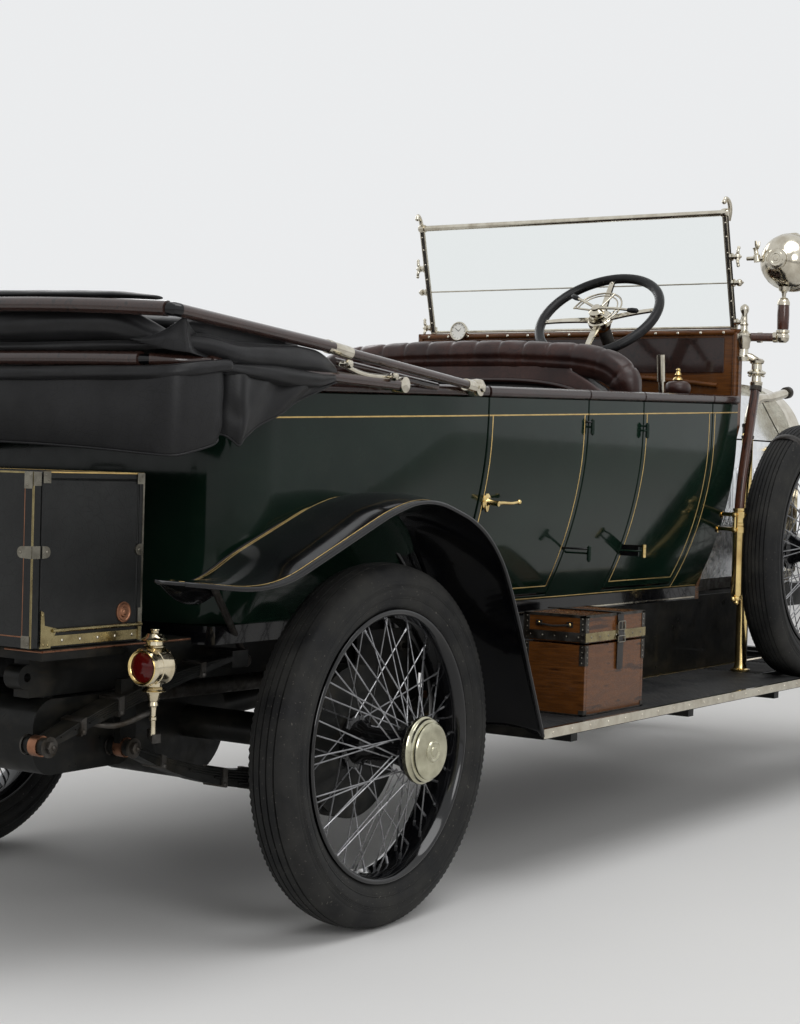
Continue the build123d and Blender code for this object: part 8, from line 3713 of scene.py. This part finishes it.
@dataclass
class Underside(Assembly):
    """Leaves, clips, shackle ends and stays that the construction leaves plain."""

    half: float = 0.025
    packs: Sequence[Pack] = (
        Pack(
            ((-0.640, 0.484), (0.0, 0.376), (0.580, 0.496)), 0.046, 0.478,
            (-0.552, -0.330, -0.200, 0.200, 0.360, 0.500),
        ),
        Pack(((-0.930, 0.520), (-0.620, 0.622), (-0.308, 0.668)), 0.034, 0.478, (-0.820, -0.700, -0.420)),
        Pack(((3.250, 0.517), (3.645, 0.456), (4.045, 0.503)), 0.038, 0.325, (3.330, 3.450, 3.840, 3.960)),
    )
    bosses: Sequence[tuple[float, float, float]] = (
        (-0.660, 0.486, 0.478), (-0.926, 0.516, 0.478), (0.600, 0.494, 0.478), (4.068, 0.508, 0.325),
    )

    def build(self) -> None:
        """Makes the details of both sides."""
        for side, hand in SIDES:
            leaves, clips, collars = Shape(), Shape(), Shape()
            for pack in self.packs:
                self.leaf_edges(leaves, pack, side)
                for x in pack.clips:
                    self.clip(clips, pack, side, x)
            for x, z, y in self.bosses:
                self.boss(clips, collars, x, z, y, side)
            self.axle_bolts(clips, side)
            self.stays(clips, side)
            self.dress(f"spring_leaves_{hand}", leaves, [Finishes.chassis], "car", smooth=60)
            self.dress(f"spring_clips_{hand}", clips, [Finishes.iron], "car", smooth=40)
            self.dress(f"shackle_collars_{hand}", collars, [Finishes.copper], "car", smooth=40)
            # A black sheet inboard of the rear wheel arch: painted shade for the dark space behind the
            # wheel.
            shade_sheet = Shape()
            y = side * 0.442
            outline = (
                (0.290, 0.600), (0.330, 0.480), (0.400, 0.446), (0.592, 0.446), (0.592, 0.6995),
                (0.290, 0.6995),
            )
            shade_sheet.hexa(
                [(along(a), y - side * 0.0015, b) for a, b in outline],
                [(along(a), y + side * 0.0015, b) for a, b in outline],
            )
            self.dress(f"arch_shade_sheet_{hand}", shade_sheet, [Finishes.chassis], "car")

    def leaf_edges(self, shape: Shape, pack: Pack, side: int) -> None:
        """Rounded edges of the leaves on both faces of a pack.

        Args:
            shape: The mesh to draw in.
            pack: The spring.
            side: Side of the car, -1 for the right and 1 for the left.
        """
        start, middle, end = (p[0] for p in pack.points)
        for k in range(pack.leaves):
            trim = 0.86 * k / pack.leaves
            xs = np.linspace(mixed(start, middle, trim), mixed(end, middle, trim), 22)
            for face in (-1, 1):
                line = [
                    (along(float(x)), side * (pack.y + face * self.half),
                     pack.top(float(x)) - pack.depth(float(x)) * (k + 0.5) / pack.leaves) for x in xs
                ]
                shape.tube(line, pack.thick / pack.leaves * 0.44, 8)

    def clip(self, shape: Shape, pack: Pack, side: int, x: float) -> None:
        """A rebound clip round a pack with its bolt.

        Args:
            shape: The mesh to draw in.
            pack: The spring.
            side: Side of the car, -1 for the right and 1 for the left.
            x: Distance ahead of the rear axle.
        """
        top, low = pack.top(x) + 0.004, pack.top(x) - pack.depth(x) - 0.006
        slope = (pack.top(x + 0.01) - pack.top(x - 0.01)) / 0.02
        rows = []
        for dx in (-0.008, 0.008):
            rise = slope * dx
            row = [
                (along(x + dx), side * (pack.y + a * (self.half + 0.006)), b + rise)
                for a, b in ((-1, low), (-1, top), (1, top), (1, low))
            ]
            rows.append(row)
        shape.grid(rows, wrap=True, caps=True)
        shape.knob((along(x), side * (pack.y + self.half + 0.006), low + 0.006), 0.0065, (0, side, 0), 0.8)

    def boss(self, irons: Shape, collars: Shape, x: float, z: float, y: float, side: int) -> None:
        """A shackle end with its washers, nuts and bronze collar.

        Args:
            irons: Mesh of the iron parts.
            collars: Mesh of the bronze parts.
            x: Distance ahead of the rear axle.
            z: Height.
            y: Distance from the car's middle.
            side: Side of the car, -1 for the right and 1 for the left.
        """
        centre = (along(x), side * y, z)
        collars.lathe(
            [(-0.012, 0.0195), (-0.012, 0.0225), (0.012, 0.0225), (0.012, 0.0195)], centre, (0, 1, 0), 28,
            ring=True,
        )
        for face in (-1, 1):
            end = (along(x), side * y + face * 0.0295, z)
            irons.lathe([(0.0, 0.0225), (0.005, 0.0225), (0.005, 0.0)], end, (0, face, 0), 28)
            irons.lathe(
                [(0.004, 0.0), (0.004, 0.0145), (0.013, 0.0145), (0.015, 0.0115), (0.015, 0.0)], end,
                (0, face, 0), 6,
            )
            irons.knob((along(x), side * y + face * 0.0440, z), 0.0060, (0, face, 0), 1.0)

    def axle_bolts(self, shape: Shape, side: int) -> None:
        """U bolts that hold the rear spring on its seat.

        Args:
            shape: The mesh to draw in.
            side: Side of the car, -1 for the right and 1 for the left.
        """
        y = side * 0.478
        for x in (-0.055, 0.055):
            for face in (-1, 1):
                place = (along(x), y + face * 0.0240, 0.318)
                shape.lathe(
                    [
                        (0.0, 0.0), (0.0, 0.0110), (0.010, 0.0110), (0.010, 0.0065), (0.024, 0.0060),
                        (0.024, 0.0),
                    ],
                    place, (0, 0, -1), 6,
                )

    def stays(self, shape: Shape, side: int) -> None:
        """The rear fender's stay, from the frame to the fender's underside.

        Args:
            shape: The mesh to draw in.
            side: Side of the car, -1 for the right and 1 for the left.
        """
        for low, high in (
            ((-0.182, 0.445, 0.645), (-0.535, 0.625, 0.8495)), ((0.500, 0.445, 0.640), (0.500, 0.640, 0.640))
        ):
            one = Vector((along(low[0]), side * low[1], low[2]))
            two = Vector((along(high[0]), side * high[1], high[2]))
            shape.tube([one, one.lerp(two, 0.06), one.lerp(two, 0.94), two], 0.0085, 12)
            shape.knob(one, 0.017, (0, side, 0), 0.5)
            shape.knob(two, 0.016, (0, 0, -1), 0.5)


# Camera, light and floor


class Studio:
    """The camera of the picture, soft studio light and a pale floor."""

    LENS = 68.13
    PLACE = (-5.487, -3.400, 1.139)
    TURN, TILT, ROLL = math.radians(33.96), math.radians(-1.44), math.radians(1.63)

    def camera(self) -> None:
        """Adds the camera and makes it the scene's own."""
        data = bpy.data.cameras.new("view")
        data.sensor_fit, data.sensor_height, data.lens = "VERTICAL", 36.0, self.LENS
        data.clip_start, data.clip_end = 0.1, 200.0
        camera = bpy.data.objects.new("view", data)
        bpy.context.scene.collection.objects.link(camera)
        ahead = Vector((
            math.cos(self.TURN) * math.cos(self.TILT), math.sin(self.TURN) * math.cos(self.TILT),
            math.sin(self.TILT),
        ))
        right = ahead.cross(Vector((0, 0, 1))).normalized()
        up = right.cross(ahead)
        c, s = math.cos(self.ROLL), math.sin(self.ROLL)
        across, upward = right * c + up * s, up * c - right * s
        turned = Matrix((across, upward, -ahead)).transposed().to_4x4()
        camera.matrix_world = Matrix.Translation(self.PLACE) @ turned
        bpy.context.scene.camera = camera

    def world(self) -> None:
        """A pale surround that lights softly."""
        world = bpy.data.worlds.new("studio")
        bpy.context.scene.world = world
        world.use_nodes = True
        tree = world.node_tree
        tree.nodes.clear()
        path = tree.nodes.new("ShaderNodeLightPath")
        glimpsed = None
        for ray in ("Is Camera Ray", "Is Glossy Ray", "Is Transmission Ray"):
            if glimpsed is None:
                glimpsed = path.outputs[ray]
                continue
            top = tree.nodes.new("ShaderNodeMath")
            top.operation = "MAXIMUM"
            tree.links.new(glimpsed, top.inputs[0])
            tree.links.new(path.outputs[ray], top.inputs[1])
            glimpsed = top.outputs[0]
        lamp, seen = (tree.nodes.new("ShaderNodeBackground") for _ in range(2))
        lamp.inputs["Color"].default_value = (1.0, 0.99, 0.97, 1.0)
        lamp.inputs["Strength"].default_value = 0.50
        seen.inputs["Color"].default_value = (0.83, 0.84, 0.85, 1.0)
        seen.inputs["Strength"].default_value = 1.0
        mix = tree.nodes.new("ShaderNodeMixShader")
        out = tree.nodes.new("ShaderNodeOutputWorld")
        tree.links.new(glimpsed, mix.inputs[0])
        tree.links.new(lamp.outputs[0], mix.inputs[1])
        tree.links.new(seen.outputs[0], mix.inputs[2])
        tree.links.new(mix.outputs[0], out.inputs["Surface"])

    def lights(self) -> None:
        """Large soft lamps over and beside the car."""
        for name, place, target, size, power in (
            ("over", (-1.5, -2.5, 6.5), (0.0, 0.0, 0.6), 4.5, 150.0),
            ("beside", (-5.5, -6.5, 3.6), (-0.6, 0.0, 0.8), 3.4, 120.0),
            ("behind", (3.5, 6.0, 4.5), (0.0, 0.0, 0.8), 4.0, 80.0),
        ):
            data = bpy.data.lights.new(name, "AREA")
            data.shape, data.size, data.energy = "DISK", size, power
            lamp = bpy.data.objects.new(name, data)
            bpy.context.scene.collection.objects.link(lamp)
            lamp.location = place
            lamp.rotation_euler = (Vector(target) - Vector(place)).to_track_quat("-Z", "Y").to_euler()

    def floor(self) -> None:
        """A wide pale floor under the tyres."""
        shape = Shape()
        shape.grid([[(x, y, -0.0005) for y in (-30.0, 30.0)] for x in (-30.0, 30.0)])
        mesh = bpy.data.meshes.new("floor")
        mesh.from_pydata([tuple(p) for p in shape.points], [], shape.faces)
        graph = Graph("studio_floor")
        graph.set(Roughness=0.85)
        tone = graph.ramp(graph.noise(0.6, 3.0), (0.3, (0.80, 0.80, 0.80)), (0.7, (0.83, 0.83, 0.825)))
        graph.join(tone, "Base Color")
        mesh.materials.append(graph.material)
        ground = bpy.data.objects.new("studio_floor", mesh)
        bpy.context.scene.collection.objects.link(ground)


class Plain(Assembly):
    """Pieces whose construction shape is right and only take a finish."""

    NODES = {
        "leaf_springs": (Finishes.chassis, 0.001), "chassis_frame": (Finishes.chassis, 0.002),
        "front_axle": (Finishes.chassis, 0.002), "rear_axle": (Finishes.chassis, 0.002),
        "knuckle_right": (Finishes.chassis, 0.0015), "knuckle_left": (Finishes.chassis, 0.0015),
        "exhaust": (Finishes.iron, 0.002), "engine": (Finishes.engine, 0.003),
        "fuel_tank": (Finishes.chassis, 0.003), "levers_and_pedals": (Finishes.nickel, 0.001),
    }

    def build(self) -> None:
        """Gives each its finish."""
        for node, (finish, bevel) in self.NODES.items():
            self.carry(node, finish, bevel)


def main() -> None:
    """Makes the studio and dresses the whole car."""
    logging.basicConfig(level=logging.INFO, format="%(name)s: %(message)s")
    studio = Studio()
    studio.camera()
    studio.world()
    studio.lights()
    studio.floor()
    build_wheels()
    Tub().build()
    for side, hand in SIDES:
        stands = ["rear_fenders"] if side == RIGHT else []
        Fender(f"rear_fender_{hand}", side, REAR_FENDER_LINE, 0.590).build(stands)
        stands = ["front_fenders"] if side == RIGHT else []
        Fender(
            f"front_fender_{hand}", side, FRONT_FENDER_LINE, 0.556, valance=0.04, tapered=False
        ).build(stands)
    RunningBoards().build()
    Toolbox().build()
    Trunk().build()
    Hood().build()
    Seats().build()
    TailLamp().build()
    SearchLamp().build()
    Pillar().build()
    CrookTube().build()
    Screen().build()
    Dash().build()
    Steering().build()
    Front().build()
    SpareStrap().build()
    Underside().build()
    Plain().build()
    bpy.context.scene.view_settings.view_transform = "Standard"


if __name__ == "__main__":
    main()
